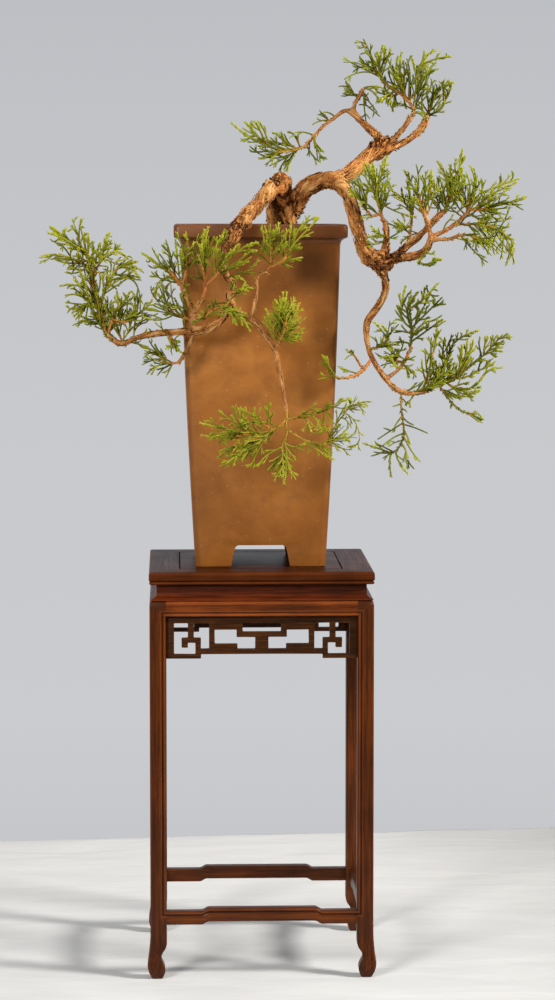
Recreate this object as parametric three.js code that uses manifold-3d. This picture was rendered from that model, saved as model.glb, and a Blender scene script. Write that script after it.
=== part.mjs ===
// Juniper bonsai in a tall square clay pot on a four-legged wooden stand.
// Millimetres, +Z up, front towards -Y. The stand is centred on the origin with its feet on z = 0
// while it is drawn, and the whole group is then moved to the middle of its own outline.
import * as THREE from 'three';
import { mergeVertices } from 'three/addons/utils/BufferGeometryUtils.js';
import Module from 'manifold-3d';

const wasm = await Module();
wasm.setup();
const { Manifold, Mesh } = wasm;

// Driving sizes of the stand
const STAND_TOP = 302;
const TOP_HALF = 82.7;
const TOP_THICK = 9.4;
const FRAME_WIDTH = 22.5;
const LEDGE_THICK = 3;
const LEDGE_WIDTH = 4;
const PANEL_GROOVE = 0.6;
const WAIST_HALF = 77.1;
const WAIST_HEIGHT = 11.5;
const BODY_HALF = 82.3;
const LEG = 12.1;
const APRON_HEIGHT = 11.9;
const APRON_DEPTH = 9;
const LATTICE_RECESS = 4;
const LATTICE_DEPTH = 4.5;
const STRETCHER_LOW = 40.5;
const STRETCHER_HIGH = 50.4;
const STRETCHER_RISE = 2.3;
const STRETCHER_DEPTH = 8;

// Driving sizes of the pot
const POT_HEIGHT = 253.3;
const RIM_HALF = 63.7;
const RIM_HEIGHT = 10;
const BODY_TOP_HALF = 58.6;
const BODY_LOW_HALF = 48.3;
const POT_WALL = 6.5;
const FOOT_OPENING = 42.8;
const FOOT_OPENING_TOP = 36;
const FOOT_HEIGHT = 16.4;
const POT_FLOOR = 9;
const DRAIN_RADIUS = 9;
const SOIL_BELOW_RIM = 11;

// Clearance left between pieces that grow close together
const GAP = 0.3;

// The viewpoint that turns a place in the 555 x 1000 picture and a depth into millimetres
const EYE = new THREE.Vector3(-66.5, -2429, 564.3);
const AIM = new THREE.Vector3(14.1, 0, 347.6);
const FOCAL = 3231.5;
const MIDDLE = [277.5, 500];
const FORWARD = AIM.clone().sub(EYE).normalize();
const RIGHT = FORWARD.clone().cross(new THREE.Vector3(0, 0, 1)).normalize();
const UP = RIGHT.clone().cross(FORWARD);

function place([px, py, depth]) {
  const ray = FORWARD.clone()
    .addScaledVector(RIGHT, (px - MIDDLE[0]) / FOCAL)
    .addScaledVector(UP, (MIDDLE[1] - py) / FOCAL);
  return EYE.clone().addScaledVector(ray, (depth - EYE.y) / ray.y);
}

// Seeded random numbers
let seed = 1;
function reseed(value) {
  seed = value;
}
function random() {
  seed = (seed * 1664525 + 1013904223) % 4294967296;
  return seed / 4294967296;
}
function between(low, high) {
  return low + (high - low) * random();
}

// Turning three.js geometry into joinable solids and back
function solid(geometry) {
  const plain = geometry.index ? geometry.clone() : geometry;
  plain.deleteAttribute('normal');
  plain.deleteAttribute('uv');
  const welded = mergeVertices(plain, 1e-4);
  return new Manifold(new Mesh({
    numProp: 3,
    vertProperties: new Float32Array(welded.attributes.position.array),
    triVerts: new Uint32Array(welded.index.array),
  }));
}

function shape(body) {
  const mesh = body.getMesh();
  const geometry = new THREE.BufferGeometry();
  geometry.setAttribute('position', new THREE.BufferAttribute(new Float32Array(mesh.vertProperties), 3));
  geometry.setIndex(new THREE.BufferAttribute(new Uint32Array(mesh.triVerts), 1));
  geometry.computeVertexNormals();
  return geometry;
}

function largest(body) {
  const pieces = body.decompose();
  return pieces.reduce((best, piece) => (piece.volume() > best.volume() ? piece : best), pieces[0]);
}

function block(x0, x1, y0, y1, z0, z1) {
  const box = new THREE.BoxGeometry(x1 - x0, y1 - y0, z1 - z0);
  box.translate((x0 + x1) / 2, (y0 + y1) / 2, (z0 + z1) / 2);
  return solid(box);
}

// A closed surface through rings of equal point count, with a middle point closing each end
function loft(rings, startTip, endTip) {
  const count = rings[0].length;
  const points = rings.flat();
  const start = points.length;
  points.push(startTip ?? middle(rings[0]));
  const end = points.length;
  points.push(endTip ?? middle(rings[rings.length - 1]));
  const index = [];
  for (let r = 0; r < rings.length - 1; r += 1) {
    for (let i = 0; i < count; i += 1) {
      const a = r * count + i;
      const b = r * count + (i + 1) % count;
      index.push(a, b, b + count, a, b + count, a + count);
    }
  }
  const last = (rings.length - 1) * count;
  for (let i = 0; i < count; i += 1) {
    index.push(start, (i + 1) % count, i);
    index.push(end, last + i, last + (i + 1) % count);
  }
  const body = new Manifold(new Mesh({
    numProp: 3,
    vertProperties: new Float32Array(points.flatMap((p) => [p.x, p.y, p.z])),
    triVerts: new Uint32Array(index),
  }));
  return body;
}

function middle(ring) {
  return ring.reduce((sum, p) => sum.add(p), new THREE.Vector3()).divideScalar(ring.length);
}

// Stand: level rings of a square with rounded corners
function squareRing(half, corner, z, steps) {
  const ring = [];
  for (let quarter = 0; quarter < 4; quarter += 1) {
    const turn = quarter * Math.PI / 2;
    const cx = (half - corner) * Math.SQRT2 * Math.cos(turn + Math.PI / 4);
    const cy = (half - corner) * Math.SQRT2 * Math.sin(turn + Math.PI / 4);
    for (let i = 0; i <= steps; i += 1) {
      const angle = turn + i / steps * Math.PI / 2;
      ring.push(new THREE.Vector3(cx + corner * Math.cos(angle), cy + corner * Math.sin(angle), z));
    }
  }
  return ring;
}

function squareLoft(levels, steps = 2) {
  return loft(levels.map(([z, half, corner]) => squareRing(half, corner, z, steps)));
}

const SIDES = ['front', 'right', 'back', 'left'];
const CORNERS = ['front_left', 'front_right', 'back_right', 'back_left'];
function quarterTurns(names, body) {
  return names.map((side, i) => [side, body.rotate([0, 0, 90 * i])]);
}

const topUnder = STAND_TOP - TOP_THICK;
const bodyTop = topUnder - WAIST_HEIGHT;
const apronLow = bodyTop - APRON_HEIGHT;

function topFrame() {
  const outer = squareLoft([
    [topUnder, TOP_HALF - 1.6, 0.6],
    [topUnder + 2.2, TOP_HALF - 1.2, 0.6],
    [topUnder + 2.8, TOP_HALF, 0.8],
    [STAND_TOP - 2, TOP_HALF, 0.8],
    [STAND_TOP - 0.6, TOP_HALF - 0.6, 0.8],
    [STAND_TOP, TOP_HALF - 2, 0.8],
  ], 1);
  const inner = TOP_HALF - FRAME_WIDTH;
  const well = block(-inner, inner, -inner, inner, topUnder + LEDGE_THICK, STAND_TOP + 5);
  const ledge = inner - LEDGE_WIDTH;
  const through = block(-ledge, ledge, -ledge, ledge, topUnder - 5, STAND_TOP + 5);
  return outer.subtract(well).subtract(through);
}

function topPanel() {
  const half = TOP_HALF - FRAME_WIDTH - PANEL_GROOVE;
  return block(-half, half, -half, half, topUnder + LEDGE_THICK, STAND_TOP);
}

function waist() {
  const outer = squareLoft([
    [bodyTop, BODY_HALF - 0.4, 1.5],
    [bodyTop + 1, BODY_HALF - 1.2, 1.5],
    [bodyTop + 2.6, WAIST_HALF + 0.6, 1.5],
    [bodyTop + 4.4, WAIST_HALF, 1.5],
    [topUnder, WAIST_HALF, 1.5],
  ], 2);
  const inner = BODY_HALF - APRON_DEPTH;
  return outer.subtract(block(-inner, inner, -inner, inner, bodyTop - 5, topUnder + 5));
}

// Legs: the foot scroll is drawn once as a side outline and cut from both directions
const FOOT_OUTLINE = [
  [1.0, 0], [-0.6, 3.5], [-1.9, 7.5], [-2.2, 11], [-1.6, 16], [-0.8, 22], [-0.2, 30], [0, 42],
];
const FOOT_INSIDE = [
  [8.7, 0], [10.4, 4.2], [10.8, 8], [9.6, 12], [8, 15.8], [8.9, 19.5], [11, 22.6], [LEG, 26],
];

function legOutline() {
  const outline = new THREE.Shape();
  outline.moveTo(...FOOT_OUTLINE[0]);
  FOOT_OUTLINE.slice(1).forEach((p) => outline.lineTo(...p));
  outline.lineTo(0, bodyTop - 3);
  outline.lineTo(1.2, bodyTop - 0.8);
  outline.lineTo(3, bodyTop);
  outline.lineTo(LEG, bodyTop);
  [...FOOT_INSIDE].reverse().forEach((p) => outline.lineTo(...p));
  outline.closePath();
  return outline;
}

function leg() {
  const wide = 40;
  const flat = new THREE.ExtrudeGeometry(legOutline(), { depth: wide, bevelEnabled: false });
  const alongX = flat.clone();
  alongX.rotateX(Math.PI / 2);
  alongX.translate(-BODY_HALF, -BODY_HALF + wide - 10, 0);
  const alongY = flat.clone();
  alongY.rotateX(Math.PI / 2);
  alongY.rotateZ(Math.PI / 2);
  alongY.translate(-BODY_HALF - 10, -BODY_HALF, 0);
  return solid(alongX).intersect(solid(alongY));
}

function apron() {
  const half = BODY_HALF - LEG;
  const outline = new THREE.Shape();
  outline.moveTo(-BODY_HALF, apronLow + 3.2);
  outline.lineTo(-BODY_HALF, bodyTop - 3);
  outline.lineTo(-BODY_HALF + 1.2, bodyTop - 0.8);
  outline.lineTo(-BODY_HALF + 3, bodyTop);
  outline.lineTo(-BODY_HALF + APRON_DEPTH, bodyTop);
  outline.lineTo(-BODY_HALF + APRON_DEPTH, apronLow);
  outline.lineTo(-BODY_HALF + 0.6, apronLow);
  outline.lineTo(-BODY_HALF + 0.2, apronLow + 2.4);
  outline.lineTo(-BODY_HALF + 0.9, apronLow + 2.8);
  outline.closePath();
  const rail = new THREE.ExtrudeGeometry(outline, { depth: 2 * half, bevelEnabled: false });
  rail.rotateX(Math.PI / 2);
  rail.rotateZ(Math.PI / 2);
  rail.translate(-half, 0, 0);
  return solid(rail);
}

// Lattice bars in picture places of the front panel: left, right, top, bottom. The right half mirrors them.
const LATTICE_CENTRE = 262.4;
const LATTICE_TOP = 617;
const LATTICE_SCALE = 0.7275;
const LATTICE_BARS = [
  [165, 263, 617, 624], [165, 174, 617, 660], [165, 201, 655.6, 660], [188, 194, 624, 644],
  [181.4, 188, 639, 649], [188, 201, 639, 644], [195.5, 201, 639, 655.6],
  [209.3, 215, 624, 655.6], [215, 243, 624, 631], [237, 243, 631, 638.4],
  [215, 238, 645, 650.2], [243, 263, 633, 638.4], [255.8, 263, 638.4, 655.6],
  [201, 263, 650.2, 655.6],
];

function lattice() {
  const end = BODY_HALF - LEG;
  const front = -BODY_HALF + LATTICE_RECESS;
  const bars = [];
  for (const [left, right, top, bottom] of LATTICE_BARS) {
    const x0 = left === 165 ? -end : (left - LATTICE_CENTRE) * LATTICE_SCALE;
    const x1 = (right - LATTICE_CENTRE) * LATTICE_SCALE;
    const z1 = apronLow - (top - LATTICE_TOP) * LATTICE_SCALE;
    const z0 = apronLow - (bottom - LATTICE_TOP) * LATTICE_SCALE;
    bars.push(block(x0, x1, front, front + LATTICE_DEPTH, z0, z1));
    bars.push(block(-x1, -x0, front, front + LATTICE_DEPTH, z0, z1));
  }
  return Manifold.union(bars);
}

function stretcher() {
  const end = BODY_HALF - LEG;
  const riseStart = 39;
  const riseEnd = 44.5;
  const outline = new THREE.Shape();
  outline.moveTo(-end, STRETCHER_LOW);
  outline.lineTo(-riseEnd, STRETCHER_LOW);
  outline.lineTo(-riseStart, STRETCHER_LOW + STRETCHER_RISE);
  outline.lineTo(riseStart, STRETCHER_LOW + STRETCHER_RISE);
  outline.lineTo(riseEnd, STRETCHER_LOW);
  outline.lineTo(end, STRETCHER_LOW);
  outline.lineTo(end, STRETCHER_HIGH);
  outline.lineTo(riseEnd + 1, STRETCHER_HIGH);
  outline.lineTo(riseStart + 1, STRETCHER_HIGH + STRETCHER_RISE);
  outline.lineTo(-riseStart - 1, STRETCHER_HIGH + STRETCHER_RISE);
  outline.lineTo(-riseEnd - 1, STRETCHER_HIGH);
  outline.lineTo(-end, STRETCHER_HIGH);
  outline.closePath();
  const rail = new THREE.ExtrudeGeometry(outline, { depth: STRETCHER_DEPTH, bevelEnabled: false });
  rail.rotateX(Math.PI / 2);
  rail.translate(0, -BODY_HALF + 1.5 + STRETCHER_DEPTH, 0);
  return solid(rail);
}

// Pot: tapering square with softly rounded upright edges, a band rim and a foot opening in each side
const potTop = STAND_TOP + POT_HEIGHT;

function potHalf(z) {
  const rise = (z - STAND_TOP) / (POT_HEIGHT - RIM_HEIGHT);
  const bulge = 1.1 * Math.sin(Math.PI * Math.min(1, Math.max(0, rise)));
  return BODY_LOW_HALF + (BODY_TOP_HALF - BODY_LOW_HALF) * rise + bulge;
}

function pot() {
  const rimLow = potTop - RIM_HEIGHT;
  const outer = squareLoft([
    [STAND_TOP, BODY_LOW_HALF, 5],
    [STAND_TOP + 80, potHalf(STAND_TOP + 80), 5],
    [STAND_TOP + 160, potHalf(STAND_TOP + 160), 5],
    [rimLow - 12, potHalf(rimLow - 12), 5],
    [rimLow - 4, BODY_TOP_HALF + 0.6, 5],
    [rimLow - 1, RIM_HALF - 2.6, 5],
    [rimLow, RIM_HALF - 0.8, 4],
    [rimLow + 1.2, RIM_HALF, 4],
    [potTop - 1.6, RIM_HALF, 4],
    [potTop, RIM_HALF - 1.8, 4],
  ]);
  const floorTop = STAND_TOP + FOOT_HEIGHT + POT_FLOOR;
  const cavity = squareLoft([
    [floorTop, potHalf(floorTop) - POT_WALL, 6],
    [STAND_TOP + 120, potHalf(STAND_TOP + 120) - POT_WALL, 6],
    [potTop - 16, potHalf(potTop - 16) - POT_WALL, 6],
    [potTop + 4, BODY_TOP_HALF - POT_WALL + 0.6, 6],
  ]);
  const under = squareLoft([
    [STAND_TOP - 4, BODY_LOW_HALF - 8, 6],
    [STAND_TOP + FOOT_HEIGHT, BODY_LOW_HALF - 8, 6],
  ]);
  const opening = new THREE.Shape();
  opening.moveTo(-FOOT_OPENING / 2 - 1, STAND_TOP - 3);
  opening.lineTo(FOOT_OPENING / 2 + 1, STAND_TOP - 3);
  opening.lineTo(FOOT_OPENING_TOP / 2 + 1.2, STAND_TOP + FOOT_HEIGHT - 2.4);
  opening.lineTo(FOOT_OPENING_TOP / 2 - 0.2, STAND_TOP + FOOT_HEIGHT - 0.5);
  opening.lineTo(FOOT_OPENING_TOP / 2 - 2, STAND_TOP + FOOT_HEIGHT);
  opening.lineTo(-FOOT_OPENING_TOP / 2 + 2, STAND_TOP + FOOT_HEIGHT);
  opening.lineTo(-FOOT_OPENING_TOP / 2 + 0.2, STAND_TOP + FOOT_HEIGHT - 0.5);
  opening.lineTo(-FOOT_OPENING_TOP / 2 - 1.2, STAND_TOP + FOOT_HEIGHT - 2.4);
  opening.closePath();
  const tunnel = new THREE.ExtrudeGeometry(opening, { depth: 160, bevelEnabled: false });
  tunnel.rotateX(Math.PI / 2);
  tunnel.translate(0, 80, 0);
  const cut = solid(tunnel);
  const drain = new THREE.CylinderGeometry(DRAIN_RADIUS, DRAIN_RADIUS, 40, 16);
  drain.rotateX(Math.PI / 2);
  drain.translate(0, 0, STAND_TOP + FOOT_HEIGHT);
  return outer.subtract(cavity).subtract(under).subtract(cut).subtract(cut.rotate([0, 0, 90]))
    .subtract(solid(drain));
}

function soilBlock() {
  const floorTop = STAND_TOP + FOOT_HEIGHT + POT_FLOOR;
  const surface = potTop - SOIL_BELOW_RIM;
  return squareLoft([
    [floorTop, potHalf(floorTop) - POT_WALL - GAP, 6],
    [STAND_TOP + 120, potHalf(STAND_TOP + 120) - POT_WALL - GAP, 6],
    [surface - 3, potHalf(potTop - 16) - POT_WALL - GAP - 0.2, 6],
    [surface + 1, 40, 8],
    [surface + 3, 20, 8],
  ]);
}

// Wood: each limb is a run of [px, py, depth, radius]; sides and step set how finely it is drawn
const LIMBS = [
  [8, 9, [[280, 246, 0, 11], [280, 226, 0, 10.6], [281, 210, -1, 9.4], [281, 196, -3, 7],
    [282, 184, -4, 6.6],
    [283, 176, -5, 5]]],
  [7, 9, [[283, 184, -4, 5.6], [274.5, 186.5, -12, 5.9], [264.5, 196.5, -34, 5.6], [252.5, 210.5, -58, 5.4],
    [245.5, 217.5, -70, 5.3], [238, 226.5, -77, 5.2], [231.5, 239, -84, 4.6], [227, 246, -86, 3.2]]],
  [5, 7, [[229, 238, -85, 3.2], [223, 257, -86, 2.9], [226, 276, -88, 2.8], [233.5, 284, -88, 2.9],
    [229, 295.5, -87, 2.8], [232.5, 305, -86, 2.8], [229, 310, -85, 2.9]]],
  [5, 10, [[236, 308, -86, 2.6], [229, 309, -85, 2.9], [220, 321, -84, 3.2], [208, 329, -82, 3.2],
    [194.5, 331.5, -78, 3], [173.5, 332, -72, 2.7], [152.4, 334, -64, 2.4], [137, 338, -58, 2.2],
    [124, 343.5, -54, 2.2], [118, 343, -53, 2]]],
  [4, 10, [[120, 345, -53, 2.1], [107, 333, -51, 2], [102.7, 315, -49, 1.9], [96, 296, -47, 1.7],
    [91.5, 277, -45, 1.5], [89.5, 262, -44, 1.3]]],
  [5, 10, [[227, 309, -85, 2.4], [240.4, 313.5, -88, 2.3], [255.8, 322.4, -91, 2.3], [265.3, 334, -92, 2.2],
    [274.9, 351, -91, 2.1], [278.7, 366.4, -90, 2], [282.5, 387.5, -88, 1.8], [286.4, 412, -86, 1.6]]],
  [4, 10, [[250, 319, -90, 1.7], [254, 306, -91, 1.5], [256.7, 290, -91, 1.4], [258, 275, -91, 1.3],
    [268, 272, -92, 1.2]]],
  [4, 10, [[193, 333, -78, 1.9], [191.5, 318, -80, 1.8], [190.5, 306, -82, 1.7], [184, 292, -83, 1.4]]],
  [4, 10, [[192, 326, -79, 1.6], [196.5, 308, -84, 1.5], [204, 298, -87, 1.3]]],
  [4, 10, [[193, 333, -78, 1.7], [187, 350, -76, 1.5], [178, 363.5, -74, 1.4]]],
  [8, 9, [[277, 236, 0, 9], [284, 220, -2, 8.6], [293, 208, -7, 7.2], [303, 192, -14, 6.6],
    [318, 182, -26, 6.5],
    [332, 180.5, -38, 6], [345, 190, -55, 5.1], [353.5, 211, -72, 4.9], [359.2, 234, -77, 4.9],
    [364.5, 250, -77, 5.3], [373, 259, -76, 6.2], [382, 261.5, -75, 5.6]]],
  [7, 9, [[322, 181.5, -30, 5.2], [338, 178.5, -34, 5.8], [356, 168, -24, 5.6], [369.6, 155, -14, 5.2],
    [381, 144, -7, 5.2], [389, 141, -5, 3.6]]],
  [5, 9, [[383, 146, -7, 3.4], [378.5, 138, -5, 3.1], [364.5, 124.4, 0, 2.7], [352.5, 112, 5, 2.5],
    [348, 110, 6, 2]]],
  [4, 10, [[354, 113, 5, 1.7], [346, 110.5, 6, 1.6], [334, 118, 4, 1.4], [321, 128.5, 0, 1.3],
    [311, 139.5, -4, 1.2], [304, 147.5, -6, 1.1]]],
  [4, 10, [[353, 113, 5, 1.8], [355, 104, 6, 1.7], [360, 95, 8, 1.6], [363.5, 88, 9, 1.3]]],
  [5, 9, [[384, 147.5, -8, 3.2], [394, 146.5, -3, 3], [405, 141.5, 2, 2.7], [418, 132, 8, 2.6],
    [425, 122, 10, 2.5],
    [427, 115, 10, 2]]],
  [4, 10, [[388, 145, -6, 2.3], [400, 132, -9, 2], [409, 120, -12, 1.8], [414.5, 111, -13, 1.6]]],
  [5, 9, [[384, 262, -75, 2.6], [385.5, 250, -77, 2.4], [386.5, 236, -79, 2.3], [385, 223, -80, 2],
    [382, 218, -80, 1.6]]],
  [5, 9, [[380, 262, -75, 4], [389, 259.5, -73, 3], [398, 254.5, -70, 2.7], [407, 246.3, -66, 2.7],
    [416.3, 238.7, -61, 2.6], [427, 228, -56, 2.5], [438, 216.5, -50, 2.2], [447, 209.5, -47, 1.7]]],
  [5, 9, [[383, 261, -76, 3.6], [395, 258.5, -77, 3], [407, 257, -79, 2.9], [419.4, 254, -81, 2.7],
    [427, 248, -83, 2.5], [430.5, 239, -85, 2.4], [432, 232.5, -86, 1.8]]],
  [4, 10, [[431, 239, -85, 1.8], [428, 223.4, -88, 1.6], [423, 209.6, -91, 1.3]]],
  [4, 10, [[431, 237, -85, 1.8], [438, 234, -84, 1.7], [447, 229.5, -81, 1.6], [457, 222.5, -78, 1.4],
    [464, 216, -76, 1.2]]],
  [4, 10, [[430.5, 241, -85, 1.6], [438, 239.5, -88, 1.5], [451, 238.5, -92, 1.3], [460, 234.5, -95, 1.1]]],
  [5, 9, [[379, 262, -75, 3.8], [380.5, 270, -75, 3.1], [385, 278, -74, 2.8], [385.5, 289, -72, 2.8],
    [381, 301, -70, 2.7], [373.5, 312, -68, 2.6], [367.6, 321.5, -68, 2.5], [366.6, 334, -68, 2.2],
    [369, 350, -66, 2], [376, 365, -64, 2], [386, 379.4, -62, 2], [396, 389, -60, 1.9],
     [408, 393, -58, 1.8],
    [421, 392.5, -55, 1.5], [430, 389.5, -53, 1.3]]],
  [4, 10, [[387, 378, -62, 1.6], [398, 370, -66, 1.4], [405, 360.5, -69, 1.3], [410, 349.5, -71, 1.2],
    [411, 343.5, -71, 1]]],
];

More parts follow.
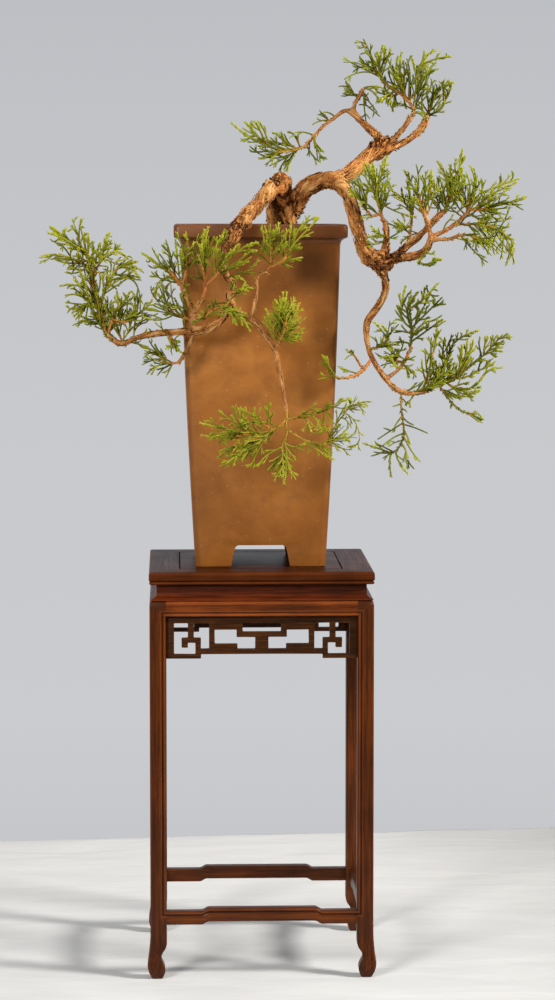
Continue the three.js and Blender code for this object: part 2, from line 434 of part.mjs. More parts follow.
// Foliage: each bunch is a list of fans, each fan [stem run, radius at root, radius at end, shoot tips].
// Runs and tips are [px, py, depth].
const BUNCHES = [
  ['apex_crown', 11, [
    [[[413.8, 109.5, -13], [409, 102, -14], [400, 93.5, -12], [391, 88, -10], [383, 81, -8], [377, 72, -6],
      [372, 64, -5]], 1.3, 0.9,
    [[363, 39, -2], [343.5, 61.5, 4], [352, 72, -18], [343.5, 79, -12], [383, 46, 6], [394, 54, -16]]],
    [[[406, 98.5, -13.4], [403.5, 86, -16], [402, 74, -20]], 1, 0.8,
      [[389, 67, -30], [396, 60, -16], [402.5, 53, -24], [412, 59, -34], [393, 79, -28], [414, 70, -12],
        [398, 70, -4]]],
    [[[411.5, 106, -13.6], [417, 92, -6], [418.5, 76, 0]], 1.1, 0.8,
      [[434, 48.5, 8], [446, 54, -4], [450.5, 57.5, 14], [434.5, 69.5, 24], [409, 72, 8], [430, 84, -10],
        [424, 62, -14]]],
    [[[400, 93.5, -12], [392, 96, -4], [384, 95, 4]], 0.9, 0.8,
      [[366.5, 88, 8], [380, 101.5, 14], [388, 104.5, -2], [398, 108, 8], [374, 93, -2]]]]],
  ['apex_right', 12, [
    [[[427.3, 117, 10], [430, 107, 12], [434.5, 96, 12]], 1.4, 0.9,
      [[447.5, 79.5, 20], [454, 82.5, 4], [451, 97, 26], [431, 80, 30], [440.5, 82, 8], [422.5, 88, 22],
        [437, 111, -2]]]]],
  ['fork_sprig', 13, [
    [[[363, 90.5, 8.7], [364.5, 97, 7], [365, 105, 4]], 0.9, 0.8,
      [[381, 116, -6], [366.5, 123.5, 10], [369.5, 99, -10]]],
    [[[363.8, 95, 7.4], [355, 95, 13], [349, 89, 16]], 0.9, 0.8,
      [[338.5, 86.5, 20], [345.5, 81.5, 10], [342, 93.5, 26]]]]],
  ['pad_outer', 14, [
    [[[306, 145, -5.4], [296, 150, -8], [283, 151, -8], [270, 147, -6], [258, 139, -4]], 1, 0.8,
      [[232, 123.5, 4], [235.5, 132.5, -10], [246.5, 124.5, -14], [256, 121.5, 8], [243, 140, -22]]],
    [[[290, 151, -8], [278, 152, -14], [268, 151, -18]], 0.85, 0.8,
      [[252, 146.5, -24], [260, 159, -10], [273.5, 163, -26]]],
    [[[300, 148.5, -7], [292, 156, -2], [288, 162, 2]], 0.85, 0.8, [[271, 164.5, 8], [280, 171.5, 0],
      [286, 171.5, 10]]],
    [[[301, 147.8, -7], [290, 145, 2], [279, 144, 8]], 0.85, 0.8,
      [[274.5, 131, 14], [288, 132, 4], [265, 137, 18]]]]],
  ['pad_hanging', 15, [
    [[[315, 135, -2.4], [314.5, 143, -8], [318, 151, -12]], 0.9, 0.8,
      [[328.5, 157.5, -18], [314.5, 164.5, -8], [308, 157.5, -20], [323, 161, -4]]]]],
  ['twig_sprig', 16, [
    [[[329, 121.7, 2.7], [325, 116, 8], [321, 113, 10]], 0.85, 0.8, [[313, 112, 14], [318, 106, 6],
      [311, 123.5, 16]]]]],
  ['arch_up', 17, [
    [[[383.5, 220.3, -80], [380, 210, -82], [378, 198, -84], [377, 186, -86]], 1.2, 0.8,
      [[365, 162.5, -94], [372, 163.5, -78], [386.5, 156, -92], [388.5, 172, -74], [389, 181, -100],
        [391, 203, -92]]],
    [[[381.6, 214.5, -81], [373, 216, -80], [366, 210, -78], [361, 201, -78]], 1, 0.8,
      [[357, 172, -82], [350.5, 180, -70], [351, 189, -92], [363, 218, -90], [369, 180, -68]]]]],
  ['arch_sprig', 18, [
    [[[386.3, 236, -79], [380, 237, -87], [376, 238, -90]], 0.85, 0.8, [[370, 223.5, -92], [369, 240, -94],
      [375, 246, -86]]]]],
  ['fan_left', 19, [
    [[[409, 244.6, -65], [410.5, 232, -58], [412, 218, -54], [411.5, 203, -52]], 1, 0.8,
      [[406, 170, -56], [418, 164.5, -46], [403, 187, -36], [382.5, 179, -60], [388.5, 207, -64],
        [391, 222, -40], [389, 238, -52], [417, 186, -38]]]]],
  ['fan_mid', 20, [
    [[[425.5, 216.5, -89.5], [421, 205, -92], [419, 194, -94]], 1, 0.8,
      [[408, 176, -104], [419, 177, -84], [427, 171, -98], [412, 200, -110], [432, 188, -106]]],
    [[[420.5, 203, -92.4], [427, 198, -85], [431, 190, -80]], 0.9, 0.8, [[434.5, 174, -76], [430, 173, -88],
      [441, 184, -70]]]]],
  ['crown', 21, [
    [[[446, 210.3, -47.4], [448.5, 199, -46], [451, 186, -46]], 1.1, 0.8,
      [[439, 161.5, -36], [446.5, 163.5, -52], [452.5, 163, -34], [464.5, 150, -50], [468.5, 157.5, -38],
        [463.5, 180, -26], [458, 168, -60]]],
    [[[448, 203, -46.6], [443, 195, -34], [439, 189, -28]], 0.85, 0.8, [[437, 173, -22], [446, 178, -16],
      [431, 184, -34]]],
    [[[449, 197, -46], [458, 193, -54], [462, 189, -58]], 0.85, 0.8, [[470, 178, -64], [461, 172, -70]]]]],
  ['crown_right', 22, [
    [[[462.5, 217.3, -76.4], [468.5, 209, -76], [472, 196, -78]], 1.1, 0.8,
      [[473, 165, -84], [482.5, 179, -72], [469.5, 186, -94], [486, 190, -90], [458, 196, -86],
        [479, 172, -94]]],
    [[[466, 213, -76.2], [478, 206, -72], [490, 194, -68]], 0.95, 0.8,
      [[503, 174.5, -58], [511, 174, -72], [516.5, 174, -60], [523.5, 178.5, -70], [519.5, 187, -52]]],
    [[[468, 210, -76], [482, 209, -80], [496, 205, -84]], 0.95, 0.8,
      [[509.5, 190, -78], [528, 197, -88], [515, 201, -102], [525, 210, -76], [508, 219, -92],
       [488, 220, -74],
        [490, 196, -98], [500, 214, -70]]]]],
  ['far_low', 23, [
    [[[453.5, 225.2, -79], [466, 224, -70], [480, 225, -64], [494, 228, -60], [504, 235, -58]], 1.05, 0.8,
      [[511.5, 226.5, -48], [515, 249, -60], [515.5, 263, -50], [508.5, 263.5, -68], [502.5, 260, -46],
        [499, 257, -74], [487, 213, -52], [478, 240, -56], [494, 243, -50], [500, 218, -68]]]]],
  ['far_under', 24, [
    [[[457.5, 236, -94.2], [468, 235, -98], [480, 240, -102], [488, 243, -104]], 0.95, 0.8,
      [[477, 230, -108], [490.5, 262, -96], [478, 248, -112], [481, 253, -90], [496, 250, -112],
       [500, 243, -98]]]]],
  ['under_sprig', 25, [
    [[[429.5, 244, -84], [424, 256, -90], [419, 262, -92], [427, 265, -94], [433, 263, -95]], 0.9, 0.8,
      [[435.5, 251, -96], [441, 257.5, -100], [433, 266.5, -88]]]]],
  ['rise', 26, [
    [[[410.8, 345.5, -71], [411.3, 332, -73], [410.5, 318, -75], [409, 304, -77]], 1, 0.8,
      [[405, 286.5, -82], [412, 292, -70], [418, 292, -86], [396.5, 305.5, -66], [379.5, 308.5, -82],
        [394, 318, -84], [400, 298, -90]]],
    [[[411.2, 334, -72.8], [417, 320, -70], [424, 307, -68]], 0.9, 0.8,
      [[424, 286.5, -62], [438.5, 283, -74], [442.5, 296.5, -60], [446, 304, -72], [442, 314.5, -56],
        [432, 288, -52]]],
    [[[411.2, 337, -72.6], [421, 330, -80], [429, 325, -84]], 0.85, 0.8, [[442.5, 320, -90],
      [434, 310, -92]]]]],
  ['inner', 27, [
    [[[369.2, 349, -66], [378, 347, -74], [386, 342, -80], [390, 333, -82]], 0.95, 0.8,
      [[390, 320.5, -86], [382, 325.5, -78], [374, 322, -90], [375, 337, -92], [399, 324, -90],
       [400, 343, -74], [392, 346, -94], [384, 335, -66]]]]],
  ['inner_low', 28, [
    [[[397.5, 370.5, -66], [397, 360, -62], [399, 350, -58]], 0.9, 0.8,
      [[391, 352, -52], [380.5, 366, -56], [378, 356, -46], [404, 340, -52], [386, 341, -44]]],
    [[[397, 361, -62.4], [400, 362, -72], [406, 367, -76],
      [412, 372, -77]], 0.85, 0.8, [[415.5, 374, -82], [409, 378, -68],
      [416, 356, -80]]]]],
  ['over_pot', 29, [
    [[[371, 360, -65], [361, 372, -68], [349.5, 377.3, -72], [337, 377.3, -76], [327, 370, -80]], 1.3, 0.8,
      [[318, 347.5, -84], [316.5, 385, -86], [325, 352, -92], [330, 388, -74], [344, 365, -84]]],
    [[[364, 369.3, -67], [357, 360, -74], [351, 350, -78]], 0.85, 0.8, [[346.5, 338, -82], [341, 352, -86],
      [358, 345, -70]]]]],
  ['hanging', 30, [
    [[[401.5, 391.5, -59], [401.3, 408, -60], [402.5, 419, -61], [404, 430, -62], [401, 444, -63],
      [396, 450.5, -64], [388, 453, -65]], 1, 0.8,
    [[363.5, 444, -68], [371, 456, -58], [391, 477.5, -74], [408, 473.5, -54], [414.5, 469.5, -72],
      [421, 461.5, -60], [410.5, 445, -78], [428, 433.5, -54], [414, 425, -72], [377.5, 439.5, -76],
      [383.5, 428.5, -50], [392.5, 406, -70], [408, 413, -50]]]]],
  ['low_left', 31, [
    [[[421, 392, -55], [427, 379, -60], [430, 368, -64], [432, 356, -66]], 0.95, 0.8,
      [[423, 360, -72], [426, 348, -60], [431.5, 337, -74], [436.5, 320, -68], [443, 320, -58],
       [444, 337, -78],
        [418, 372, -64]]]]],
  ['low_mid', 32, [
    [[[427, 391, -54], [437, 378, -47], [444, 366, -42], [451, 354, -38]], 0.95, 0.8,
      [[453.5, 335, -30], [478.5, 330.5, -34], [459, 346, -50], [456, 366, -28], [445, 343, -24],
        [468, 334, -24]]]]],
  ['low_right', 33, [
    [[[428, 390, -53.4], [441, 385, -53], [454, 377, -54], [464, 370, -54]], 1.1, 0.9,
      [[462, 346, -62], [467, 342.5, -46], [472.5, 340.5, -66], [479.5, 340, -50]]],
    [[[454, 377, -54], [468, 368, -60], [482, 357, -64]], 0.9, 0.8,
      [[490, 337, -60], [497, 335, -74], [504, 333, -58], [510, 337, -70], [502, 347.5, -80],
       [500.5, 353, -60]]],
    [[[452, 378.3, -54], [466, 377, -46], [479, 370, -42]], 0.85, 0.8, [[496, 361, -34],
      [501.5, 367.5, -46],
      [485, 352, -30], [476, 360, -24]]],
    [[[446, 382.2, -53.4], [457, 388, -58], [466, 389, -60]], 0.85, 0.8, [[474, 384, -66],
      [479.5, 391, -54], [470, 396, -64]]],
    [[[440, 385.4, -53], [449, 399, -48], [459, 409, -46], [470, 414.5, -44]], 0.85, 0.8,
      [[484, 419.5, -42], [478.5, 422, -52], [480, 413.5, -34]]]]],
  ['left_top', 34, [
    [[[90.2, 268, -44.4], [87, 255, -44], [81, 246, -44], [77, 238, -44]], 1.05, 0.8,
      [[48, 233, -36], [53, 228.5, -52], [72, 219, -36], [82, 219.5, -50], [89, 234, -30], [59, 245, -62]]],
    [[[88.5, 261, -44], [80, 261, -50], [71, 258, -54]], 0.85, 0.8, [[42, 257, -58], [53, 261, -44],
      [65, 272, -64], [62, 250, -34], [70, 277, -40]]]]],
  ['left_inner', 35, [
    [[[92.3, 281, -45.4], [96, 270, -50], [101, 258, -54], [104, 250, -56]], 0.95, 0.8,
      [[109.5, 234, -60], [121, 245, -50], [97, 243, -68], [114, 254, -70], [88, 262, -62],
       [112, 240, -44]]]]],
  ['left_mid', 36, [
    [[[99.5, 305, -48], [104, 292, -42], [109, 280, -37], [116, 271, -34]], 1, 0.8,
      [[127.5, 256, -28], [142.5, 271, -36], [134, 260.5, -44], [135, 279, -22], [107, 266, -24],
       [122, 262, -16],
        [112, 258, -36], [124, 286, -30]]]]],
  ['left_out', 37, [
    [[[97, 299, -47.2], [90, 296, -54], [82, 294, -58]], 0.95, 0.8,
      [[61.5, 287, -62], [66.5, 296, -50], [66, 303.5, -70], [78, 283, -48], [75, 276, -60],
       [70, 285, -38]]],
    [[[93, 297.4, -51], [87, 305, -46], [82, 312, -42]], 0.85, 0.8, [[73, 327, -36], [75, 316, -50],
      [70, 309, -34], [84, 327, -52]]]]],
  ['left_low', 38, [
    [[[108.5, 334, -51.2], [112, 322, -58], [117, 310, -62], [124, 303, -64]], 1, 0.8,
      [[117, 291, -66], [131, 292, -74], [139, 297, -58], [108, 300, -72], [104, 312, -66],
       [124, 289, -52]]],
    [[[113, 319, -59], [124, 322, -66], [135, 318, -68]], 0.85, 0.8, [[149, 300, -64], [146, 322, -74],
      [138, 305, -78], [128, 308, -56]]]]],
  ['rim_left', 39, [
    [[[185.5, 295, -82.8], [180, 284, -85], [175, 277, -87], [169, 270, -88]], 1.1, 0.8,
      [[142.5, 253, -84], [149.5, 252.5, -94], [154.5, 247, -80], [166, 239, -92], [160.5, 245, -100],
        [176, 234.5, -86], [160, 262, -78], [171, 251, -76]]],
    [[[182, 288, -84], [185, 276, -90], [187, 264, -94]], 0.9, 0.8,
      [[185.5, 230.5, -98], [192, 247, -88], [181, 250, -104], [197, 256, -100], [190, 237, -108],
        [178, 262, -98]]]]],
  ['rim_right', 40, [
    [[[202, 300, -86], [205, 290, -90], [204, 278, -94], [203, 266, -96]], 1, 0.8,
      [[198, 237.5, -100], [203, 234, -90], [208.5, 226.5, -102], [214, 243, -96], [195, 265, -106],
        [207, 250, -108]]],
    [[[204.6, 286, -92], [213, 279, -98], [221, 270, -104]], 0.9, 0.8,
      [[217, 236, -108], [223, 243, -114], [239, 244, -108], [257, 243, -100], [257, 251.5, -112],
        [258, 261, -102], [232, 252, -96], [228, 262, -112]]]]],
  ['wiggle_sprig', 41, [
    [[[229, 290, -88], [234, 292, -96], [239, 291, -99]], 0.85, 0.8, [[252, 288.5, -102], [245, 280.5, -96],
      [248, 298, -104], [239, 272, -100]]]]],
  ['bough_left', 42, [
    [[[191.7, 320, -79.8], [182, 317, -76], [173, 313, -73], [163, 306, -70]], 1, 0.8,
      [[153, 272, -64], [162.5, 270.5, -76], [151, 287, -58], [168, 292, -84], [146, 304, -80],
       [145.5, 311, -62],
        [174, 301, -62], [170, 280, -58], [180, 296, -66], [158, 292, -84]]]]],
  ['bough_low', 43, [
    [[[167, 332.3, -69.5], [171, 338, -76], [174, 344, -79]], 0.9, 0.8, [[181, 352.5, -82], [168, 350, -88],
      [180, 341, -88]]]]],
  ['bough_top', 44, [
    [[[205, 330, -81.4], [206, 317, -88], [215, 309, -92], [226, 306, -96]], 0.9, 0.8,
      [[249.5, 328.5, -100], [240, 309, -104], [198, 315, -94], [190, 325, -92], [216, 297, -98]]]]],
  ['drop_left', 45, [
    [[[179, 362.3, -74.2], [170, 363.5, -72], [162, 359, -70], [156, 353, -68]], 0.95, 0.8,
      [[141, 345, -64], [142, 365.5, -74], [147, 376, -60], [165, 347.5, -80], [165.5, 378, -78],
       [149, 336.5, -84],
        [172, 372, -64], [152, 346, -78], [148, 356, -84]]]]],
  ['front_top', 46, [
    [[[266.5, 272.6, -91.8], [271, 265, -96], [271, 254, -99], [270, 244, -101]], 0.95, 0.8,
      [[264.5, 225, -104], [279, 223, -96], [274, 232, -110], [261, 248, -96], [283, 240, -106]]],
    [[[270, 267, -95], [281, 262, -101], [290, 250, -104]], 0.9, 0.8,
      [[291, 224, -104], [304, 220, -96], [319, 218, -108], [301, 243, -114], [301, 257.5, -98],
        [297, 232, -90]]]]],
  ['front_mid', 47, [
    [[[274.5, 350, -91], [281, 340, -98], [285, 329, -102], [286, 317, -104]], 0.95, 0.8,
      [[285.4, 292, -106], [299.5, 304, -98], [302.5, 331, -108], [266, 309, -104], [276, 299, -112],
        [296, 319, -114]]]]],
  ['front_low', 48, [
    [[[285.8, 408, -86.4], [286.5, 418, -87], [280, 426, -89], [270, 431, -92], [256, 433, -94],
      [243, 431, -95]],
      1.3, 0.8,
    [[199.5, 423, -92], [201, 436, -102], [218, 410, -88], [226, 412, -100], [217, 441, -86],
     [235.5, 404, -94],
      [210, 428, -82], [228, 422, -108]]],
    [[[272, 430.2, -91.6], [262, 424, -98], [250, 423, -102]], 0.9, 0.8,
      [[242, 407, -106], [250.5, 409.5, -94], [259, 412, -108], [268.5, 404, -98], [240, 416, -110]]],
    [[[271, 430.6, -91.8], [261, 441, -88], [249, 447, -86]], 0.9, 0.8,
      [[213, 453.5, -84], [220.5, 464, -94], [242.5, 462, -80], [253, 464, -92], [227, 447, -100],
        [235, 456, -98]]],
    [[[285, 420, -87.4], [287, 434, -88], [282, 447, -92], [283, 458, -94]], 1, 0.8,
      [[274.5, 477, -98], [279.5, 480, -86], [286, 482.5, -96], [294, 479, -104], [268, 466, -88]]],
    [[[286.3, 415, -86.8], [297, 417, -88], [310, 415, -90], [322, 410, -92], [334, 406, -93]], 1, 0.8,
      [[349.5, 399, -96], [361, 398.5, -86], [372.5, 401, -98], [366, 411, -88]]],
    [[[286.5, 429, -87.8], [297, 436, -90], [309, 442, -93], [321, 444, -94], [331, 437, -94],
      [339, 424, -94]],
      1, 0.8,
    [[359, 439, -90], [362, 424, -102], [351, 447.5, -98], [332.5, 459.5, -90], [345, 457, -104],
      [321, 458, -100]]]]],
];

// A round-ish run of rings along a smooth path; swell gives the uneven bark outline
const RING_SPACING = 1.3;
function run(points, radii, sides, step, swell = 0, tipLength = 0) {
  const path = new THREE.CatmullRomCurve3(points, false, 'centripetal');
  const length = path.getLength();
  const count = Math.max(2, Math.round(length / (step * RING_SPACING)));
  const rings = [];
  let normal = null;
  for (let i = 0; i <= count; i += 1) {
    const t = i / count;
    const centre = path.getPointAt(t);
    const along = path.getTangentAt(t);
    if (!normal) {
      normal = new THREE.Vector3(0, 1, 0.3).cross(along).normalize();
    }
    normal.addScaledVector(along, -normal.dot(along)).normalize();
    const other = along.clone().cross(normal);
    const radius = radiusAt(points, radii, path, t);
    const ring = [];
    for (let k = 0; k < sides; k += 1) {
      const angle = k / sides * 2 * Math.PI;
      const waves = Math.sin(3 * angle + length * t / 9) + 0.8 * Math.sin(length * t / 4.3 + 2 * angle);
      const lump = 1 + swell * waves;
      ring.push(centre.clone()
        .addScaledVector(normal, radius * lump * Math.cos(angle))
        .addScaledVector(other, radius * lump * Math.sin(angle)));
    }
    rings.push(ring);
  }
  const end = path.getPointAt(1).addScaledVector(path.getTangentAt(1), tipLength);
  return loft(rings, null, end);
}

function radiusAt(points, radii, path, t) {
  const u = path.getUtoTmapping(t, 0) * (points.length - 1);
  const low = Math.min(points.length - 2, Math.floor(u));
  const part = u - low;
  return radii[low] * (1 - part) + radii[low + 1] * part;
}

function limbs(extra) {
  return Manifold.union(LIMBS.map(([sides, step, stops]) => {
    const radii = stops.map((stop) => stop[3] + extra);
    return run(stops.map(place), radii, sides, step, 0.07, extra);
  }));
}

// Foliage: a three-sided stem with three-sided shoots raised from its faces, and short side shoots raised
// from theirs. Everything in a fan shares one skin, so nothing has to be cut where a shoot leaves its stem.
const SHOOT = 1.05;
const SHOOT_END = 0.85;
const BUD = 1.7;
const SLOT = 2.6;
const SIDE_SPACING = 14.8;
const VIEW = new THREE.Vector3(0, 1, 0.2).normalize();

function bezier(root, control, tip, t) {
  return root.clone().multiplyScalar((1 - t) * (1 - t))
    .addScaledVector(control, 2 * t * (1 - t))
    .addScaledVector(tip, t * t);
}

function crossAxes(along) {
  const across = along.clone().cross(VIEW).normalize();
  return [across, along.clone().cross(across)];
}

function outward(along, angle) {
  const [across, deep] = crossAxes(along);
  return across.multiplyScalar(Math.cos(angle)).addScaledVector(deep, Math.sin(angle));
}

function cornerAngle(roll, k) {
  return roll + Math.PI / 2 + k * 2 * Math.PI / 3;
}

function faceAngle(roll, k) {
  return cornerAngle(roll, k + 0.5);
}

// Stations are { centre, along, radius, buds }. A bud is { face, end } for a side shoot or { face, shoot }.
function skin(surface, base, stations, roll, tip) {
  const { points, index } = surface;
  const rings = stations.map(({ centre, along, radius }) => [0, 1, 2].map((k) => {
    points.push(centre.clone().addScaledVector(outward(along, cornerAngle(roll, k)), radius));
    return points.length - 1;
  }));
  if (base) {
    const gaps = [0, 1, 2].map((m) => base.reduce(
      (sum, point, j) => sum + points[point].distanceTo(points[rings[0][(j + m) % 3]]),
      0,
    ));
    const turn = gaps.indexOf(Math.min(...gaps));
    for (let j = 0; j < 3; j += 1) {
      const low = rings[0][(j + turn) % 3];
      const next = rings[0][(j + turn + 1) % 3];
      index.push(base[j], base[(j + 1) % 3], next, base[j], next, low);
    }
  } else {
    index.push(rings[0][2], rings[0][1], rings[0][0]);
  }
  points.push(tip);
  const last = points.length - 1;
  stations.forEach(({ buds }, i) => {
    for (let k = 0; k < 3; k += 1) {
      const low = rings[i][k];
      const next = rings[i][(k + 1) % 3];
      const high = i + 1 < rings.length ? rings[i + 1][k] : last;
      const over = i + 1 < rings.length ? rings[i + 1][(k + 1) % 3] : last;
      const bud = buds.find(({ face }) => face === k);
      if (bud) {
        const near = points[low].clone().lerp(points[next], 0.5);
        const far = points[high].clone().lerp(points[over], 0.5);
        const peak = points.push(near.clone().addScaledVector(far.sub(near).normalize(), BUD)) - 1;
        index.push(low, peak, high, peak, next, over);
        if (high !== over) {
          index.push(peak, over, high);
        }
        if (bud.end) {
          const end = points.push(bud.end) - 1;
          index.push(low, next, end, next, peak, end, peak, low, end);
        } else {
          skin(surface, [low, next, peak], bud.shoot.stations, bud.shoot.roll, bud.shoot.tip);
        }
      } else {
        index.push(low, next, over);
        if (high !== over) {
          index.push(low, over, high);
        }
      }
    }
  });
}

function closed(surface) {
  return new Manifold(new Mesh({
    numProp: 3,
    vertProperties: new Float32Array(surface.points.flatMap((p) => [p.x, p.y, p.z])),
    triVerts: new Uint32Array(surface.index),
  }));
}

function shootAlong(root, leaving, tip, roll, sides) {
  const reach = root.distanceTo(tip);
  const control = root.clone().addScaledVector(leaving, reach * 0.42);
  const rings = Math.max(1, Math.round(reach / SIDE_SPACING));
  let hand = random() < 0.5 ? 0 : 2;
  const stations = [];
  for (let i = 0; i < rings; i += 1) {
    const t = rings === 1 ? 0.5 : 0.3 + 0.48 * i / (rings - 1);
    const centre = bezier(root, control, tip, t);
    const along = bezier(root, control, tip, t + 0.05).sub(centre).normalize();
    const buds = [];
    if (sides) {
      const faces = i === rings - 1 ? [0, 2] : [hand];
      for (const face of faces) {
        const out = outward(along, faceAngle(roll, face)).multiplyScalar(0.6).addScaledVector(along, 0.8);
        const length = Math.min(12.5, between(5, 7.5) + (rings - 1 - i) * between(2, 4));
        buds.push({ face, end: centre.clone().addScaledVector(along, BUD / 2).addScaledVector(out, length) });
      }
      hand = 2 - hand;
    }
    stations.push({ centre, along, radius: SHOOT + (SHOOT_END - SHOOT) * t, buds });
  }
  return { stations, roll, tip };
}

function boxesTouch(a, b, margin) {
  return [0, 1, 2].every((k) => a.min[k] - margin < b.max[k] && b.min[k] - margin < a.max[k]);
}

// Everything already placed, so that a later shoot can be bent clear of it
const placed = [];
function remember(owner, body) {
  placed.push({ owner, body, box: body.boundingBox() });
}

function clears(owner, body) {
  const box = body.boundingBox();
  return placed.every((other) => !boxesTouch(box, other.box, GAP)
    || body.minGap(other.body, 1) >= (other.owner === owner ? 0.05 : GAP));
}

// A shoot leaves its stem where it can run on forwards, from the face that looks its way
function departures(stem, tip) {
  const options = [];
  for (let slot = stem.first; slot < stem.slots.length - 1; slot += 1) {
    const { centre, along, radius, faces } = stem.slots[slot];
    const towards = tip.clone().sub(centre);
    const reach = towards.length();
    towards.divideScalar(reach);
    const angle = Math.acos(Math.min(1, Math.max(-1, along.dot(towards))));
    const sideways = towards.clone().addScaledVector(along, -along.dot(towards)).normalize();
    for (let face = 0; face < 3; face += 1) {
      const normal = outward(along, faceAngle(stem.roll, face));
      if (!faces.includes(face)) {
        options.push({
          slot,
          face,
          root: centre.clone().addScaledVector(normal, radius * 0.5).addScaledVector(along, BUD / 2),
          leaving: along.clone().multiplyScalar(0.85).addScaledVector(normal, 0.5).normalize(),
          score: Math.abs(angle - 0.55) * 30 + reach * 0.35 + (1 - sideways.dot(normal)) * 9
            + faces.length * 0.5,
        });
      }
    }
  }
  return options.sort((a, b) => a.score - b.score).slice(0, 4);
}

const SHIFTS = [0, -4, 4, -8, 8, -12, 12, -17, 17];

function growShoot(owner, stem, tipPlace) {
  const roll = between(-0.6, 0.6) + (random() < 0.4 ? Math.PI : 0);
  for (const sides of [true, false]) {
    for (const shift of SHIFTS) {
      const tip = place([tipPlace[0], tipPlace[1], tipPlace[2] + shift]);
      for (const { slot, face, root, leaving } of departures(stem, tip)) {
        const shoot = shootAlong(root, leaving, tip, roll, sides);
        const probe = { points: [], index: [] };
        skin(probe, null, shoot.stations, roll, tip);
        const body = closed(probe);
        if (clears(owner, body)) {
          remember(owner, body);
          stem.slots[slot].faces.push(face);
          stem.slots[slot].buds.push({ face, shoot });
          return true;
        }
      }
    }
  }
  return false;
}

function stemAlong(points, r0, r1) {
  const path = new THREE.CatmullRomCurve3(points, false, 'centripetal');
  const count = Math.max(3, Math.floor(path.getLength() / SLOT));
  const slots = [];
  for (let i = 0; i <= count; i += 1) {
    const t = i / count;
    slots.push({
      centre: path.getPointAt(t),
      along: path.getTangentAt(t).normalize(),
      radius: r0 + (r1 - r0) * t,
      faces: [],
      buds: [],
    });
  }
  return { slots, first: Math.max(1, Math.ceil(count * 0.3)), roll: between(-0.5, 0.5) };
}

// The point of the fans grown before, outside the wood, that lies nearest to where the next one starts
function nearestOn(lines, point) {
  const spots = lines.flatMap((line) => line.getSpacedPoints(60).slice(12));
  return spots.reduce((best, spot) => (spot.distanceTo(point) < best.distanceTo(point) ? spot : best));
}

function growFan(owner, [stops, r0, r1, tips], lines) {
  const points = stops.map(place);
  if (lines.length) {
    points[0] = nearestOn(lines, points[0]);
  }
  const stem = stemAlong(points, r0, r1);
  const core = { points: [], index: [] };
  skin(core, null, stem.slots.slice(stem.first), stem.roll, points[points.length - 1]);
  for (const tip of tips) {
    if (!growShoot(owner, stem, tip)) {
      missed.push(`${owner} ${tip}`);
    }
  }
  remember(owner, closed(core));
  const last = stem.slots.length - 1;
  const kept = stem.slots.filter((slot, i) => i < last && (i === 0 || slot.buds.length || i % 8 === 0));
  const line = new THREE.CurvePath();
  kept.slice(1).forEach((slot, i) => line.add(new THREE.LineCurve3(kept[i].centre, slot.centre)));
  lines.push(line);
  const whole = { points: [], index: [] };
  const end = points[points.length - 1].clone().addScaledVector(stem.slots[last].along, 2);
  skin(whole, null, kept, stem.roll, end);
  return closed(whole);
}

function growBunch([name, start, fans], woodWide) {
  reseed(start * 7919);
  const lines = [];
  const fansGrown = fans.map((fan) => growFan(name, fan, lines));
  return largest(Manifold.union(fansGrown).subtract(woodWide));
}

const missed = [];

// Colours of the plain parts
const LACQUER = 0x5a2a17;
const LACQUER_DARK = 0x3f1d12;
const CLAY = 0x9a6233;
const EARTH = 0x4b3a2a;
const BARK = 0xb98255;
const LEAF = 0x6f9236;

const group = new THREE.Group();
group.name = 'juniper_bonsai';

function addNode(name, body, colour, roughness) {
  const material = new THREE.MeshStandardMaterial({ color: colour, roughness, metalness: 0 });
  material.name = name;
  const mesh = new THREE.Mesh(shape(body), material);
  mesh.name = name;
  group.add(mesh);
}

// Stand nodes
addNode('stand_top_frame', topFrame(), LACQUER, 0.35);
addNode('stand_top_panel', topPanel(), LACQUER, 0.35);
addNode('stand_waist', waist(), LACQUER, 0.35);
quarterTurns(CORNERS, leg()).forEach(([side, body]) => addNode(`stand_leg_${side}`, body, LACQUER, 0.35));
quarterTurns(SIDES, apron()).forEach(([side, body]) => addNode(`stand_apron_${side}`, body, LACQUER, 0.35));
quarterTurns(SIDES, lattice()).forEach(([side, body]) => {
  addNode(`stand_lattice_${side}`, body, LACQUER_DARK, 0.4);
});
quarterTurns(SIDES, stretcher()).forEach(([side, body]) => {
  addNode(`stand_stretcher_${side}`, body, LACQUER, 0.35);
});

// Pot, soil and wood
const potBody = pot();
const wood = limbs(0);
const woodWide = limbs(GAP);
addNode('pot', potBody, CLAY, 0.6);
addNode('soil', largest(soilBlock().subtract(woodWide)), EARTH, 0.95);
addNode('wood', wood, BARK, 0.85);
remember('pot', potBody);
LIMBS.forEach(([sides, step, stops]) => {
  for (let i = 0; i < stops.length - 1; i += 1) {
    const piece = stops.slice(i, i + 2);
    remember('wood', run(piece.map(place), piece.map((stop) => stop[3] * 1.08), sides, step));
  }
});

// Foliage nodes
BUNCHES.forEach((bunch) => addNode(`foliage_${bunch[0]}`, growBunch(bunch, woodWide), LEAF, 0.6));

// Middle of the outline onto the vertical axis
const outline = new THREE.Box3().setFromObject(group);
const shiftX = -(outline.min.x + outline.max.x) / 2;
const shiftY = -(outline.min.y + outline.max.y) / 2;
group.children.forEach((mesh) => mesh.geometry.translate(shiftX, shiftY, -outline.min.z));

export default group;
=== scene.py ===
import math
import random
from collections import namedtuple

import bmesh
import bpy
import numpy as np
from mathutils import Matrix, Vector, kdtree, noise


